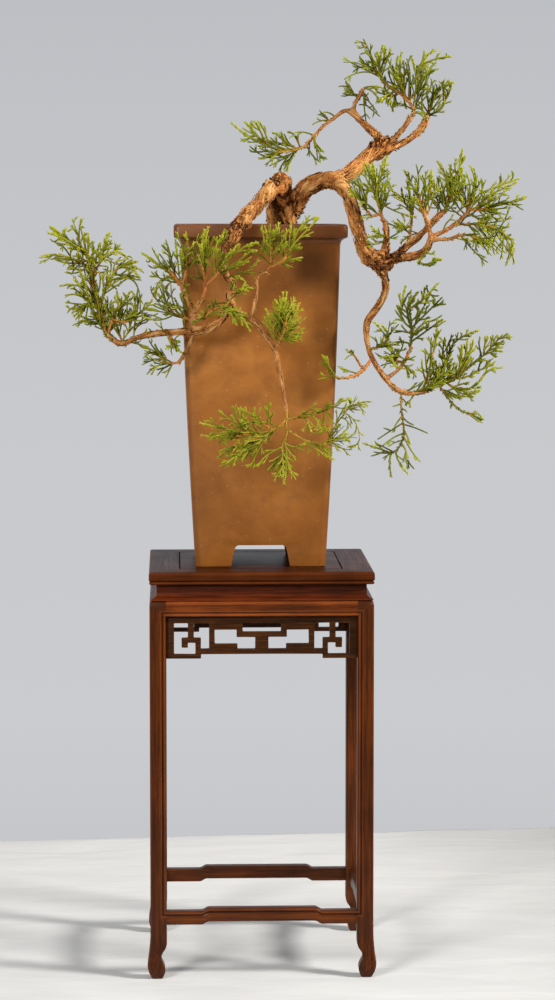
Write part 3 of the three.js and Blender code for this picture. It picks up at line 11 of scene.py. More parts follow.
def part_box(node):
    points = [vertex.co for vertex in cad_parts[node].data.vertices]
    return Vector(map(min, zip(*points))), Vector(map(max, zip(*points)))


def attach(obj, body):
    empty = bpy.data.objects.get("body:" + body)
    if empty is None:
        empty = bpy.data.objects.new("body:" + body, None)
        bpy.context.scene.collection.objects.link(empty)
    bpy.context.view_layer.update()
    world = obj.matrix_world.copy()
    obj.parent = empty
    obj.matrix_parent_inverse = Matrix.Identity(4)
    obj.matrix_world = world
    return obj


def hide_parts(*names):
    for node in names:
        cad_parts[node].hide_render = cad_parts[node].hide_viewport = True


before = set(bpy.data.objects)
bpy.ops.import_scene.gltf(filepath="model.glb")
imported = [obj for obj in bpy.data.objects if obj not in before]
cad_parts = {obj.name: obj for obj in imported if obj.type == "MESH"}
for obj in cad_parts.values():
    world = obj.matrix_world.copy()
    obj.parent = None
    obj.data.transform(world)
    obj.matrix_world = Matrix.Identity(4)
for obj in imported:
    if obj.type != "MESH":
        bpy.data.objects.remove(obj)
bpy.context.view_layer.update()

MM = 0.001

# The stand's own axis in the frame
stand_low, stand_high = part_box("stand_top_frame")
AXIS = np.array([(stand_low[0] + stand_high[0]) / 2, (stand_low[1] + stand_high[1]) / 2, 0.0])

# Sizes of the stand, in millimetres
STAND_TOP = 302.0
TOP_HALF = 82.7
TOP_UNDER = 292.6
FRAME_INNER = 60.2
LEDGE_INNER = 56.2
PANEL_HALF = 59.6
BODY_TOP = 281.1
BODY_HALF = 82.3
WAIST_HALF = 77.1
LEG = 12.1
OPENING = BODY_HALF - LEG
APRON_LOW = 269.2
APRON_DEPTH = 9.0
STRETCHER_LOW = 40.5
STRETCHER_HIGH = 50.4
STRETCHER_RISE = 2.3
STRETCHER_DEPTH = 8.6
FOOT_TOP = 42.0
FOOT_INSIDE_TOP = 26.0
SIDES = ("front", "right", "back", "left")
CORNERS = ("front_left", "front_right", "back_right", "back_left")

# Sizes of the pot, and of the soil in it
POT_TOP = 555.3
RIM_HALF = 63.7
RIM_HEIGHT = 10.0
POT_UPPER_HALF = 58.6
POT_LOWER_HALF = 48.3
POT_WALL = 6.5
POT_CORNER = 5.0
POT_BULGE = 1.1
FOOT_HEIGHT = 16.4
FOOT_WALL = 8.0
DRAIN_RADIUS = 9.0
FLOOR_TOP = STAND_TOP + FOOT_HEIGHT + 9.0
SOIL_TOP = POT_TOP - 11.0
SOIL_REACH = POT_UPPER_HALF - POT_WALL - 0.2
SOIL_CROWN = 2.6

# The cloth on the floor, and how much further back its rear edge lies to the right
FLOOR_HALF = 480.0
REAR_SLANT = 0.093

# Fineness of the wood, and of the shoots with their scales
LIMB_STEP = 1.25
WOOD_SIDES = 22
WOOD_VOXEL = 0.72
SHOOT_RADIUS = 0.64
SCALE_PITCH = 1.2
SIDE_PITCH = 4.3

# The viewpoint, which also turns a place in the photograph and a depth into millimetres
EYE = np.array([-66.5, -2429.0, 564.3])
AIM = np.array([14.1, 0.0, 347.6])
FOCAL = 3231.5
PICTURE_MIDDLE = (277.5, 500.0)
PICTURE_LONG_SIDE = 1000.0
SENSOR = 36.0


# Directions and places
def unit(vector):
    return vector / np.linalg.norm(vector)


FORWARD = unit(AIM - EYE)
RIGHT = unit(np.cross(FORWARD, (0.0, 0.0, 1.0)))
UP = np.cross(RIGHT, FORWARD)
TOWARDS_VIEW = unit(np.array([0.0, -1.0, -0.2]))


def place(px, py, depth):
    """Millimetres of a place in the photograph, in its pixels, at a depth behind the stand's axis"""
    ray = FORWARD + RIGHT * ((px - PICTURE_MIDDLE[0]) / FOCAL) + UP * ((PICTURE_MIDDLE[1] - py) / FOCAL)
    return EYE + ray * ((depth - EYE[1]) / ray[1])


def screen(points):
    """Where points in millimetres stand in the photograph, in its pixels"""
    away = points - EYE
    depth = away @ FORWARD
    return np.column_stack([PICTURE_MIDDLE[0] + FOCAL * (away @ RIGHT) / depth,
                            PICTURE_MIDDLE[1] - FOCAL * (away @ UP) / depth])


def turn_about(vector, axis, angle):
    return (vector * math.cos(angle) + np.cross(axis, vector) * math.sin(angle)
            + axis * axis.dot(vector) * (1 - math.cos(angle)))


def turned(points, quarter):
    """Points turned about the stand's axis by quarter turns"""
    x, y, z = points.T
    for _ in range(quarter):
        x, y = -y, x
    return np.column_stack([x, y, z])


def scatter(rng, *reaches):
    """A random shift, up to its own reach along each axis"""
    return np.array([rng.uniform(-reach, reach) for reach in reaches])


# Shading
def srgb(red, green, blue):
    """Linear colour from the 0-255 values that a picture shows"""
    def linear(value):
        value /= 255.0
        return value / 12.92 if value <= 0.04045 else ((value + 0.055) / 1.055) ** 2.4
    return (linear(red), linear(green), linear(blue), 1.0)


class Nodes:
    """Adds nodes to a tree and joins them; a colour ramp takes 0-255 colours"""
    def __init__(self, tree):
        self.tree = tree

    def join(self, value, socket):
        if isinstance(value, bpy.types.NodeSocket):
            self.tree.links.new(value, socket)
        else:
            socket.default_value = value

    def add(self, kind, inputs=None, **settings):
        node = self.tree.nodes.new(kind)
        for key, value in settings.items():
            setattr(node, key, value)
        for key, value in (inputs or {}).items():
            self.join(value, node.inputs[key])
        return node

    def attribute(self, name, output="Vector"):
        return self.add("ShaderNodeAttribute", attribute_name=name).outputs[output]

    def position(self):
        return self.add("ShaderNodeTexCoord").outputs["Object"]

    def separate(self, vector):
        return self.add("ShaderNodeSeparateXYZ", {"Vector": vector}).outputs

    def stretch(self, vector, scale):
        return self.add("ShaderNodeMapping", {"Vector": vector, "Scale": scale}).outputs["Vector"]

    def noise(self, vector, scale, detail=3.0, roughness=0.5, distortion=0.0):
        return self.add("ShaderNodeTexNoise", {
            "Vector": vector, "Scale": scale, "Detail": detail, "Roughness": roughness,
            "Distortion": distortion,
        }).outputs["Fac"]

    def ramp(self, factor, stops):
        node = self.add("ShaderNodeValToRGB", {"Fac": factor})
        elements = node.color_ramp.elements
        while len(elements) < len(stops):
            elements.new(0.5)
        for element, (where, colour) in zip(elements, stops):
            element.position = where
            element.color = srgb(*colour)
        return node.outputs["Color"]

    def level(self, factor, low, high, out_low=0.0, out_high=1.0):
        return self.add("ShaderNodeMapRange", {
            "Value": factor, "From Min": low, "From Max": high, "To Min": out_low, "To Max": out_high,
        }).outputs["Result"]

    def mix(self, factor, first, second):
        node = self.add("ShaderNodeMix", {"Factor": factor}, data_type="RGBA")
        self.join(first, node.inputs[6])
        self.join(second, node.inputs[7])
        return node.outputs[2]

    def maths(self, operation, first, second):
        node = self.add("ShaderNodeMath", operation=operation)
        self.join(first, node.inputs[0])
        self.join(second, node.inputs[1])
        return node.outputs[0]


class Shader(Nodes):
    """A material with one principled surface"""
    def __init__(self, name, **constants):
        self.material = bpy.data.materials.new(name)
        self.material.use_nodes = True
        super().__init__(self.material.node_tree)
        self.surface = self.tree.nodes["Principled BSDF"]
        for key, value in constants.items():
            self.surface.inputs[key.replace("_", " ")].default_value = value

    def bump(self, height, distance, strength=1.0):
        node = self.add("ShaderNodeBump", {"Height": height, "Distance": distance, "Strength": strength})
        self.join(node.outputs["Normal"], self.surface.inputs["Normal"])

    def finish(self, colour, roughness=None):
        self.join(colour, self.surface.inputs["Base Color"])
        if roughness is not None:
            self.join(roughness, self.surface.inputs["Roughness"])
        return self.material


# Meshes
def add_layer(mesh, name, values):
    """A number or a vector for each point of the mesh, which its material reads"""
    values = np.asarray(values, dtype=np.float32)
    single = values.ndim == 1
    layer = mesh.attributes.new(name, "FLOAT" if single else "FLOAT_VECTOR", "POINT")
    layer.data.foreach_set("value" if single else "vector", values.ravel())


def add_object(name, vertices, faces):
    """An object from points in millimetres off the stand's axis"""
    mesh = bpy.data.meshes.new(name)
    mesh.from_pydata((np.asarray(vertices, dtype=float) * MM + AXIS).tolist(), [], faces)
    piece = bpy.data.objects.new(name, mesh)
    bpy.context.scene.collection.objects.link(piece)
    return piece


def add_piece(name, vertices, faces, material, slot=None, nodes=(), smooth=True, layers=None):
    """One piece of the visual; a piece without a slot is part of the stage"""
    piece = add_object(name, vertices, faces)
    mesh = piece.data
    for key, values in (layers or {}).items():
        add_layer(mesh, key, values)
    mesh.materials.append(material)
    mesh.validate()
    if smooth:
        mesh.shade_smooth()
    else:
        mesh.shade_flat()
    if slot is None:
        return piece
    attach(piece, "root")
    if nodes:
        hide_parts(*nodes)
    return piece


def modify(piece, kind, **settings):
    """Adds a modifier, which bake applies"""
    modifier = piece.modifiers.new(kind.lower(), kind)
    for key, value in settings.items():
        setattr(modifier, key, value)


def bake(piece):
    """Applies the piece's modifiers to its mesh"""
    evaluated = piece.evaluated_get(bpy.context.evaluated_depsgraph_get())
    mesh = bpy.data.meshes.new_from_object(evaluated)
    piece.modifiers.clear()
    piece.data = mesh


def face_outwards(mesh):
    work = bmesh.new()
    work.from_mesh(mesh)
    bmesh.ops.recalc_face_normals(work, faces=work.faces)
    work.to_mesh(mesh)
    work.free()


def smooth_angle(piece, degrees):
    """Smooth shading that keeps edges sharper than this angle"""
    work = bmesh.new()
    work.from_mesh(piece.data)
    for edge in work.edges:
        edge.smooth = not (edge.is_manifold and edge.calc_face_angle(0.0) > math.radians(degrees))
    work.to_mesh(piece.data)
    work.free()


def loft_faces(rings, count, caps=True, offset=0):
    """Quads between rings of equal point count, with a face on each end"""
    faces = []
    for r in range(rings - 1):
        start = offset + r * count
        for i in range(count):
            j = (i + 1) % count
            faces.append((start + i, start + j, start + count + j, start + count + i))
    if caps:
        faces.append(tuple(offset + i for i in reversed(range(count))))
        faces.append(tuple(offset + (rings - 1) * count + i for i in range(count)))
    return faces


def sheet_places(size, reach):
    """Even places over a square, row by row"""
    steps = [(k / (size - 1) * 2 - 1) * reach for k in range(size)]
    return [(x, y) for y in steps for x in steps]


def sheet_faces(size):
    return [(r * size + c, r * size + c + 1, (r + 1) * size + c + 1, (r + 1) * size + c)
            for r in range(size - 1) for c in range(size - 1)]


def ball(radius, subdivisions):
    """Points and faces of a faceted ball"""
    work = bmesh.new()
    bmesh.ops.create_icosphere(work, subdivisions=subdivisions, radius=radius)
    points = [np.array(vertex.co) for vertex in work.verts]
    faces = [tuple(vertex.index for vertex in face.verts) for face in work.faces]
    work.free()
    return points, faces


def shifted(faces, offset):
    return [tuple(offset + i for i in face) for face in faces]


# Curves
def smooth_run(points, radii, step):
    """Even points, tangents, radii and lengths along a centripetal curve through the stops"""
    points = np.asarray(points, dtype=float)
    padded = np.vstack([2 * points[0] - points[1], points, 2 * points[-1] - points[-2]])
    u = np.linspace(0, 1, 25)[:, None]
    dense, dense_radii = [], []
    for i in range(len(points) - 1):
        p0, p1, p2, p3 = padded[i:i + 4]
        d0, d1, d2 = (max(1e-6, np.linalg.norm(b - a) ** 0.5) for a, b in ((p0, p1), (p1, p2), (p2, p3)))
        t1 = ((p1 - p0) / d0 - (p2 - p0) / (d0 + d1) + (p2 - p1) / d1) * d1
        t2 = ((p2 - p1) / d1 - (p3 - p1) / (d1 + d2) + (p3 - p2) / d2) * d1
        part = (p1 + t1 * u + (-3 * p1 + 3 * p2 - 2 * t1 - t2) * u ** 2
                + (2 * p1 - 2 * p2 + t1 + t2) * u ** 3)
        share = radii[i] + (radii[i + 1] - radii[i]) * u[:, 0]
        fresh = 0 if i == 0 else 1
        dense.append(part[fresh:])
        dense_radii.append(share[fresh:])
    dense = np.vstack(dense)
    lengths = np.concatenate([[0.0], np.cumsum(np.linalg.norm(np.diff(dense, axis=0), axis=1))])
    count = max(2, int(round(lengths[-1] / step)))
    along = np.linspace(0, lengths[-1], count + 1)
    line = np.column_stack([np.interp(along, lengths, dense[:, k]) for k in range(3)])
    tangents = np.gradient(line, axis=0)
    tangents /= np.linalg.norm(tangents, axis=1)[:, None]
    return line, tangents, np.interp(along, lengths, np.concatenate(dense_radii)), along


def carried_normals(tangents, start):
    """Normals that follow the curve without twisting"""
    normals = np.empty_like(tangents)
    normal = np.array(start, dtype=float)
    for i, tangent in enumerate(tangents):
        normal = normal - tangent * normal.dot(tangent)
        normal /= np.linalg.norm(normal)
        normals[i] = normal
    return normals


def bent(root, control, tip, t):
    """The point at share t of a curve that bends towards its control point"""
    return root * (1 - t) ** 2 + control * 2 * t * (1 - t) + tip * t ** 2


def rings_about(line, first, second, reach, angles):
    """Rings of points around a line, from two directions across it and the reach at each angle"""
    over = (reach * np.cos(angles))[:, :, None]
    aside = (reach * np.sin(angles))[:, :, None]
    return (line[:, None, :] + first[:, None, :] * over + second[:, None, :] * aside).reshape(-1, 3)


# Wood
# Limbs, as runs of (px, py, depth, radius), at the same places as in the solids
LIMBS = {
    "knob": [(280, 246, 0, 11), (280, 226, 0, 10.6), (281, 210, -1, 9.4), (281, 196, -3, 7),
             (282, 184, -4, 6.6), (283, 176, -5, 5)],
    "left_arm": [(283, 184, -4, 5.6), (274.5, 186.5, -12, 5.9), (264.5, 196.5, -34, 5.6),
                 (252.5, 210.5, -58, 5.4), (245.5, 217.5, -70, 5.3), (238, 226.5, -77, 5.2),
                 (231.5, 239, -84, 4.6), (227, 246, -86, 3.2)],
    "left_wiggle": [(229, 238, -85, 3.2), (223, 257, -86, 2.9), (226, 276, -88, 2.8),
                    (233.5, 284, -88, 2.9), (229, 295.5, -87, 2.8), (232.5, 305, -86, 2.8),
                    (229, 310, -85, 2.9)],
    "left_bough": [(236, 308, -86, 2.6), (229, 309, -85, 2.9), (220, 321, -84, 3.2), (208, 329, -82, 3.2),
                   (194.5, 331.5, -78, 3), (173.5, 332, -72, 2.7), (152.4, 334, -64, 2.4),
                   (137, 338, -58, 2.2), (124, 343.5, -54, 2.2), (118, 343, -53, 2)],
    "left_rise": [(120, 345, -53, 2.1), (107, 333, -51, 2), (102.7, 315, -49, 1.9), (96, 296, -47, 1.7),
                  (91.5, 277, -45, 1.5), (89.5, 262, -44, 1.3)],
    "front_drop": [(227, 309, -85, 2.4), (240.4, 313.5, -88, 2.3), (255.8, 322.4, -91, 2.3),
                   (265.3, 334, -92, 2.2), (274.9, 351, -91, 2.1), (278.7, 366.4, -90, 2),
                   (282.5, 387.5, -88, 1.8), (286.4, 412, -86, 1.6)],
    "front_riser": [(250, 319, -90, 1.7), (254, 306, -91, 1.5), (256.7, 290, -91, 1.4),
                    (258, 275, -91, 1.3), (268, 272, -92, 1.2)],
    "bough_riser": [(193, 333, -78, 1.9), (191.5, 318, -80, 1.8), (190.5, 306, -82, 1.7),
                    (184, 292, -83, 1.4)],
    "bough_fork": [(192, 326, -79, 1.6), (196.5, 308, -84, 1.5), (204, 298, -87, 1.3)],
    "bough_hanger": [(193, 333, -78, 1.7), (187, 350, -76, 1.5), (178, 363.5, -74, 1.4)],
    "right_arch": [(277, 236, 0, 9), (284, 220, -2, 8.6), (293, 208, -7, 7.2), (303, 192, -14, 6.6),
                   (318, 182, -26, 6.5), (332, 180.5, -38, 6), (345, 190, -55, 5.1),
                   (353.5, 211, -72, 4.9), (359.2, 234, -77, 4.9), (364.5, 250, -77, 5.3),
                   (373, 259, -76, 6.2), (382, 261.5, -75, 5.6)],
    "upper_trunk": [(322, 181.5, -30, 5.2), (338, 178.5, -34, 5.8), (356, 168, -24, 5.6),
                    (369.6, 155, -14, 5.2), (381, 144, -7, 5.2), (389, 141, -5, 3.6)],
    "upper_left": [(383, 146, -7, 3.4), (378.5, 138, -5, 3.1), (364.5, 124.4, 0, 2.7),
                   (352.5, 112, 5, 2.5), (348, 110, 6, 2)],
    "pad_twig": [(354, 113, 5, 1.7), (346, 110.5, 6, 1.6), (334, 118, 4, 1.4), (321, 128.5, 0, 1.3),
                 (311, 139.5, -4, 1.2), (304, 147.5, -6, 1.1)],
    "apex_left_twig": [(353, 113, 5, 1.8), (355, 104, 6, 1.7), (360, 95, 8, 1.6), (363.5, 88, 9, 1.3)],
    "upper_right": [(384, 147.5, -8, 3.2), (394, 146.5, -3, 3), (405, 141.5, 2, 2.7), (418, 132, 8, 2.6),
                    (425, 122, 10, 2.5), (427, 115, 10, 2)],
    "apex_twig": [(388, 145, -6, 2.3), (400, 132, -9, 2), (409, 120, -12, 1.8), (414.5, 111, -13, 1.6)],
    "arch_riser": [(384, 262, -75, 2.6), (385.5, 250, -77, 2.4), (386.5, 236, -79, 2.3),
                   (385, 223, -80, 2), (382, 218, -80, 1.6)],
    "mass_bough": [(380, 262, -75, 4), (389, 259.5, -73, 3), (398, 254.5, -70, 2.7),
                   (407, 246.3, -66, 2.7), (416.3, 238.7, -61, 2.6), (427, 228, -56, 2.5),
                   (438, 216.5, -50, 2.2), (447, 209.5, -47, 1.7)],
    "low_bough": [(383, 261, -76, 3.6), (395, 258.5, -77, 3), (407, 257, -79, 2.9),
                  (419.4, 254, -81, 2.7), (427, 248, -83, 2.5), (430.5, 239, -85, 2.4),
                  (432, 232.5, -86, 1.8)],
    "fan_twig": [(431, 239, -85, 1.8), (428, 223.4, -88, 1.6), (423, 209.6, -91, 1.3)],
    "crown_twig": [(431, 237, -85, 1.8), (438, 234, -84, 1.7), (447, 229.5, -81, 1.6),
                   (457, 222.5, -78, 1.4), (464, 216, -76, 1.2)],
    "far_twig": [(430.5, 241, -85, 1.6), (438, 239.5, -88, 1.5), (451, 238.5, -92, 1.3),
                 (460, 234.5, -95, 1.1)],
    "cascade": [(379, 262, -75, 3.8), (380.5, 270, -75, 3.1), (385, 278, -74, 2.8),
                (385.5, 289, -72, 2.8), (381, 301, -70, 2.7), (373.5, 312, -68, 2.6),
                (367.6, 321.5, -68, 2.5), (366.6, 334, -68, 2.2), (369, 350, -66, 2), (376, 365, -64, 2),
                (386, 379.4, -62, 2), (396, 389, -60, 1.9), (408, 393, -58, 1.8), (421, 392.5, -55, 1.5),
                (430, 389.5, -53, 1.3)],
    "cascade_riser": [(387, 378, -62, 1.6), (398, 370, -66, 1.4), (405, 360.5, -69, 1.3),
                      (410, 349.5, -71, 1.2), (411, 343.5, -71, 1)],
}

# Swellings where limbs meet and where the trunk was cut: (px, py, depth, radius)
KNOTS = [
    (281, 184, -6, 8.4), (277, 190, -5, 7.4), (280, 192, -15, 7.8), (281, 201, -16, 7.6),
    (282.5, 210, -14, 7.8), (284, 219, -11, 8.6), (384, 147, -8, 6.6), (378, 152, -9, 6.0),
    (379, 261, -75, 7.6), (369, 257, -76, 6.4), (388, 262, -75, 5.2), (244, 221, -72, 6.2),
    (352.5, 112, 5, 3.0),
]

# Places of rougher bark, which are also darkened with painted shade: (px, py, depth, reach, extra relief)
ROUGH_PLACES = [
    (384, 146, -8, 10, 1.3), (376, 152, -9, 8, 0.7), (379, 261, -75, 11, 1.4), (398, 259, -74, 10, 1.0),
    (279, 186, -10, 13, 0.95), (281, 201, -20, 9, 0.4), (284, 218, -8, 12, 0.8), (238, 226, -77, 9, 0.6),
    (186, 328, -77, 7, 0.4), (233, 309, -86, 6, 0.5), (298, 210, -2, 9, 0.6), (340, 176, -20, 8, 0.4),
]

Limb = namedtuple("Limb", "line tangents normals radii along")


class Wood:
    """Every limb's centre line, with what is needed to find a place on its surface"""
    def __init__(self):
        self.limbs = []
        for stops in LIMBS.values():
            points = [place(*stop[:3]) for stop in stops]
            line, tangents, radii, along = smooth_run(points, [stop[3] for stop in stops], LIMB_STEP)
            normals = carried_normals(tangents, unit(np.cross((0.0, 1.0, 0.3), tangents[0])))
            self.limbs.append(Limb(line, tangents, normals, radii, along))
        self.points = np.vstack([limb.line for limb in self.limbs])
        self.owner = [(number, i) for number, limb in enumerate(self.limbs) for i in range(len(limb.line))]
        self.tree = kdtree.KDTree(len(self.points))
        for i, point in enumerate(self.points):
            self.tree.insert(point, i)
        self.tree.balance()

    def nearest(self, point):
        """The number of the limb whose surface is nearest, and the step along it"""
        def gap(found):
            number, i = self.owner[found[1]]
            return found[2] - self.limbs[number].radii[i]
        return self.owner[min(self.tree.find_n(point, 7), key=gap)[1]]

    def around(self, point, number, i):
        """The angle around a limb and the length along it at which a point lies"""
        limb = self.limbs[number]
        away = np.asarray(point) - limb.line[i]
        sideways = np.cross(limb.tangents[i], limb.normals[i])
        angle = math.atan2(away.dot(sideways), away.dot(limb.normals[i]))
        return angle, limb.along[i] + away.dot(limb.tangents[i])


def bark_material():
    """Colour and relief follow each limb's own length and girth"""
    bark = Shader("bark", Roughness=0.85, Specular_IOR_Level=0.25)
    fibre = bark.attribute("fibre")
    along_fibre = bark.stretch(fibre, (1.0, 1.0, 0.3))
    streaks = bark.noise(along_fibre, 2.2, 6.0, 0.66, 0.4)
    fine = bark.noise(along_fibre, 3.2, 3.0, 0.6)
    depth = bark.maths("ADD", bark.attribute("relief", "Fac"), bark.level(streaks, 0.3, 0.7, -0.28, 0.28))
    depth = bark.maths("ADD", depth, bark.level(fine, 0.3, 0.7, -0.2, 0.2))
    # Deeper bark is darker: partly the bark's own colour, partly painted shade in the fissures
    old = bark.ramp(depth, [(0.1, (50, 26, 9)), (0.27, (118, 70, 28)), (0.42, (164, 109, 52)),
                            (0.62, (192, 138, 76)), (0.88, (214, 168, 108))])
    ruddy = bark.ramp(depth, [(0.1, (62, 30, 10)), (0.3, (134, 76, 30)), (0.52, (176, 109, 50)),
                              (0.88, (206, 147, 84))])
    young = bark.ramp(depth, [(0.15, (108, 62, 26)), (0.45, (178, 120, 66)), (0.8, (206, 156, 102))])
    blotches = bark.noise(fibre, 0.09, 3.0, 0.6)
    colour = bark.mix(bark.level(blotches, 0.42, 0.62), old, ruddy)
    colour = bark.mix(bark.level(bark.attribute("girth", "Fac"), 1.6, 2.6), young, colour)
    bark.bump(bark.maths("ADD", streaks, bark.maths("MULTIPLY", fine, 0.5)), 0.0008)
    return bark.finish(colour)


def bark_relief(around, along, girth, limb):
    """Fissures and plates, from 0 deep to 1 proud, for a point on a limb's side"""
    twist = along * 0.045
    x = girth * math.cos(around + twist)
    y = girth * math.sin(around + twist)
    wander = noise.noise((x * 0.16, y * 0.16, along * 0.05 + limb * 9.0)) * 1.6
    ridge = 1.0 - abs(noise.noise((x * 0.42 + wander, y * 0.42 - wander, along * 0.05 + limb * 13.0))) * 2.4
    strings = 1.0 - abs(noise.noise((x * 0.95, y * 0.95, along * 0.12 + limb * 5.0 + 40.0))) * 2.0
    lumps = noise.noise((x * 0.12, y * 0.12, along * 0.07 + limb * 3.0 + 80.0))
    return 0.5 - 0.34 * (ridge - 0.35) + 0.2 * (strings - 0.5) + 0.3 * lumps


def raw_wood(wood):
    """Overlapping tubes of all limbs, and the swellings"""
    rng = random.Random(11)
    parts, faces, total = [], [], 0
    angles = np.arange(WOOD_SIDES) / WOOD_SIDES * 2 * math.pi
    for limb in wood.limbs:
        phase = rng.uniform(0, 6.28)
        swell = 1.0 + 0.06 * np.sin(limb.along / 6.1 + phase) + 0.05 * np.sin(limb.along / 2.9 + 2 * phase)
        lobes = 1.0 + 0.07 * np.sin(3 * angles[None, :] + limb.along[:, None] / 9.0 + phase)
        sideways = np.cross(limb.tangents, limb.normals)
        reach = (limb.radii * swell)[:, None] * lobes
        parts.append(rings_about(limb.line, limb.normals, sideways, reach, angles))
        faces += loft_faces(len(limb.line), WOOD_SIDES, offset=total)
        total += len(parts[-1])
    for px, py, depth, radius in KNOTS:
        centre = place(px, py, depth)
        points, sides = ball(radius, 3)
        parts.append(np.array([centre + away * (1.0 + 0.2 * noise.noise(away * 0.35 + centre))
                               for away in points]))
        faces += shifted(sides, total)
        total += len(points)
    return np.vstack(parts), faces


def mesh_points(values, key, count):
    flat = np.empty(count * 3)
    values.foreach_get(key, flat)
    return flat.reshape(-1, 3)


def carve_bark(mesh, wood):
    """Moves each point by the relief of its limb, and keeps what the material needs to know there"""
    count = len(mesh.vertices)
    places = (mesh_points(mesh.vertices, "co", count) - AXIS) / MM
    directions = mesh_points(mesh.vertex_normals, "vector", count)
    relief = np.empty(count)
    girths = np.empty(count)
    fibre = np.empty((count, 3))
    for v, point in enumerate(places):
        number, i = wood.nearest(point)
        angle, along = wood.around(point, number, i)
        girth = wood.limbs[number].radii[i]
        relief[v] = bark_relief(angle, along, max(girth, 1.6), number)
        girths[v] = girth
        fibre[v] = (girth * math.cos(angle), girth * math.sin(angle), along + 40.0 * number)
    rough = np.clip(girths * 0.14 + 0.1, 0.25, 1.4)
    # Near the rough places, in the junctions and on the knots, the bark is darkened as well: painted shade
    shade = np.zeros(count)
    for px, py, depth, reach, extra in ROUGH_PLACES:
        near = np.exp(-(np.linalg.norm(places - place(px, py, depth), axis=1) / reach) ** 2)
        rough += extra * near
        shade += 0.26 * extra * near
    gnarls = np.array([noise.noise(point * 0.36) + 0.45 * noise.noise(point * 0.8) for point in places])
    places += directions * ((relief - 0.5) * 2.0 * rough + gnarls * shade * 4.5)[:, None]
    relief += gnarls * np.minimum(shade, 0.4) * 0.6 - np.minimum(shade, 0.3)
    mesh.vertices.foreach_set("co", (places * MM + AXIS).ravel())
    add_layer(mesh, "relief", relief)
    add_layer(mesh, "girth", girths)
    add_layer(mesh, "fibre", fibre)
    mesh.update()
    mesh.shade_smooth()


def build_wood(wood, material):
    piece = add_piece("wood_bark", *raw_wood(wood), material, "bark", ("wood",))
    modify(piece, "REMESH", mode="VOXEL", voxel_size=WOOD_VOXEL * MM)
    modify(piece, "SMOOTH", iterations=2, factor=0.5)
    bake(piece)
    carve_bark(piece.data, wood)


class Strips:
    """The growing mesh of the strips of bark that lift off the wood"""
    STEPS = 6
    THICK = 0.35
    EDGES = ((-1, 0.0), (1, 0.0), (1, -THICK), (-1, -THICK))

    def __init__(self, rng):
        self.rng = rng
        self.vertices, self.faces, self.relief, self.girths, self.fibre = [], [], [], [], []

    def add(self, limb, i, angle, length, width, lift, tone):
        rng = self.rng
        self.faces += loft_faces(self.STEPS + 1, len(self.EDGES), offset=len(self.vertices))
        lean = rng.uniform(-0.25, 0.25)
        curl = rng.uniform(0.3, 1.0)
        for k in range(self.STEPS + 1):
            t = k / self.STEPS
            ahead = (t - 0.3) * length
            at = min(len(limb.line) - 1, max(0, i + int(round(ahead / LIMB_STEP))))
            girth = limb.radii[at]
            turn = angle + lean * (t - 0.5) * length / max(girth, 2.0) * 0.35
            narrowing = 0.42 * abs(t - 0.4) ** 1.3 / 0.6 ** 1.3
            half = width * (0.5 - narrowing) * rng.uniform(0.75, 1.2) / max(girth, 1.2)
            rise = girth * 1.02 + 0.15 + lift * max(0.0, (t - 0.35) / 0.65) ** (1.0 + curl)
            sideways = np.cross(limb.tangents[at], limb.normals[at])
            base = limb.line[at] + limb.tangents[at] * (ahead - (at - i) * LIMB_STEP)
            for edge, thick in self.EDGES:
                spot = turn + edge * half
                radial = limb.normals[at] * math.cos(spot) + sideways * math.sin(spot)
                self.vertices.append(base + radial * (rise + thick))
                self.relief.append(tone - 0.25 * (thick < 0) + rng.uniform(-0.06, 0.06))
                self.girths.append(max(girth, 2.7))
                self.fibre.append((girth * math.cos(spot) * 1.7, girth * math.sin(spot) * 1.7,
                                   limb.along[at] + 7.0 * tone))


def raggedness(spot):
    """How ragged the bark is near the junctions"""
    return sum(math.exp(-(np.linalg.norm(spot - place(px, py, depth)) / reach) ** 2) * extra
               for px, py, depth, reach, extra in ROUGH_PLACES)


def build_flakes(wood, material):
    """Lifting strips of bark, thick on the old wood and ragged at the junctions"""
    rng = random.Random(5)
    strips = Strips(rng)
    for limb in wood.limbs:
        for i in range(2, len(limb.line) - 2):
            girth = limb.radii[i]
            if girth < 1.9:
                continue
            crowd = 1.0 if girth > 4.5 else 0.7 if girth > 2.8 else 0.26
            ragged = raggedness(limb.line[i])
            number = crowd * girth / 2.2 + ragged * 4.6
            size = min(1.0, girth / 6.0)
            torn = min(1.0, ragged)
            # Torn strips at the junctions get a darker tone: painted shade
            for _ in range(int(number) + (rng.random() < number % 1.0)):
                strips.add(
                    limb, i,
                    angle=rng.uniform(0, 6.283),
                    length=rng.uniform(1.6, 6.2) * (0.45 + 0.55 * size) * (1 - 0.25 * torn),
                    width=rng.uniform(0.5, 1.8) * (0.5 + 0.5 * size) * (1 + 1.1 * torn),
                    lift=rng.uniform(0.1, 0.8) * size + torn * rng.uniform(0.2, 1.7),
                    tone=rng.choice((0.12, 0.3, 0.5, 0.62, 0.74, 0.84)) - 0.26 * torn)
    add_piece("bark_flakes", strips.vertices, strips.faces, material, "bark", smooth=False, layers={
        "relief": strips.relief, "girth": strips.girths, "fibre": strips.fibre,
    })


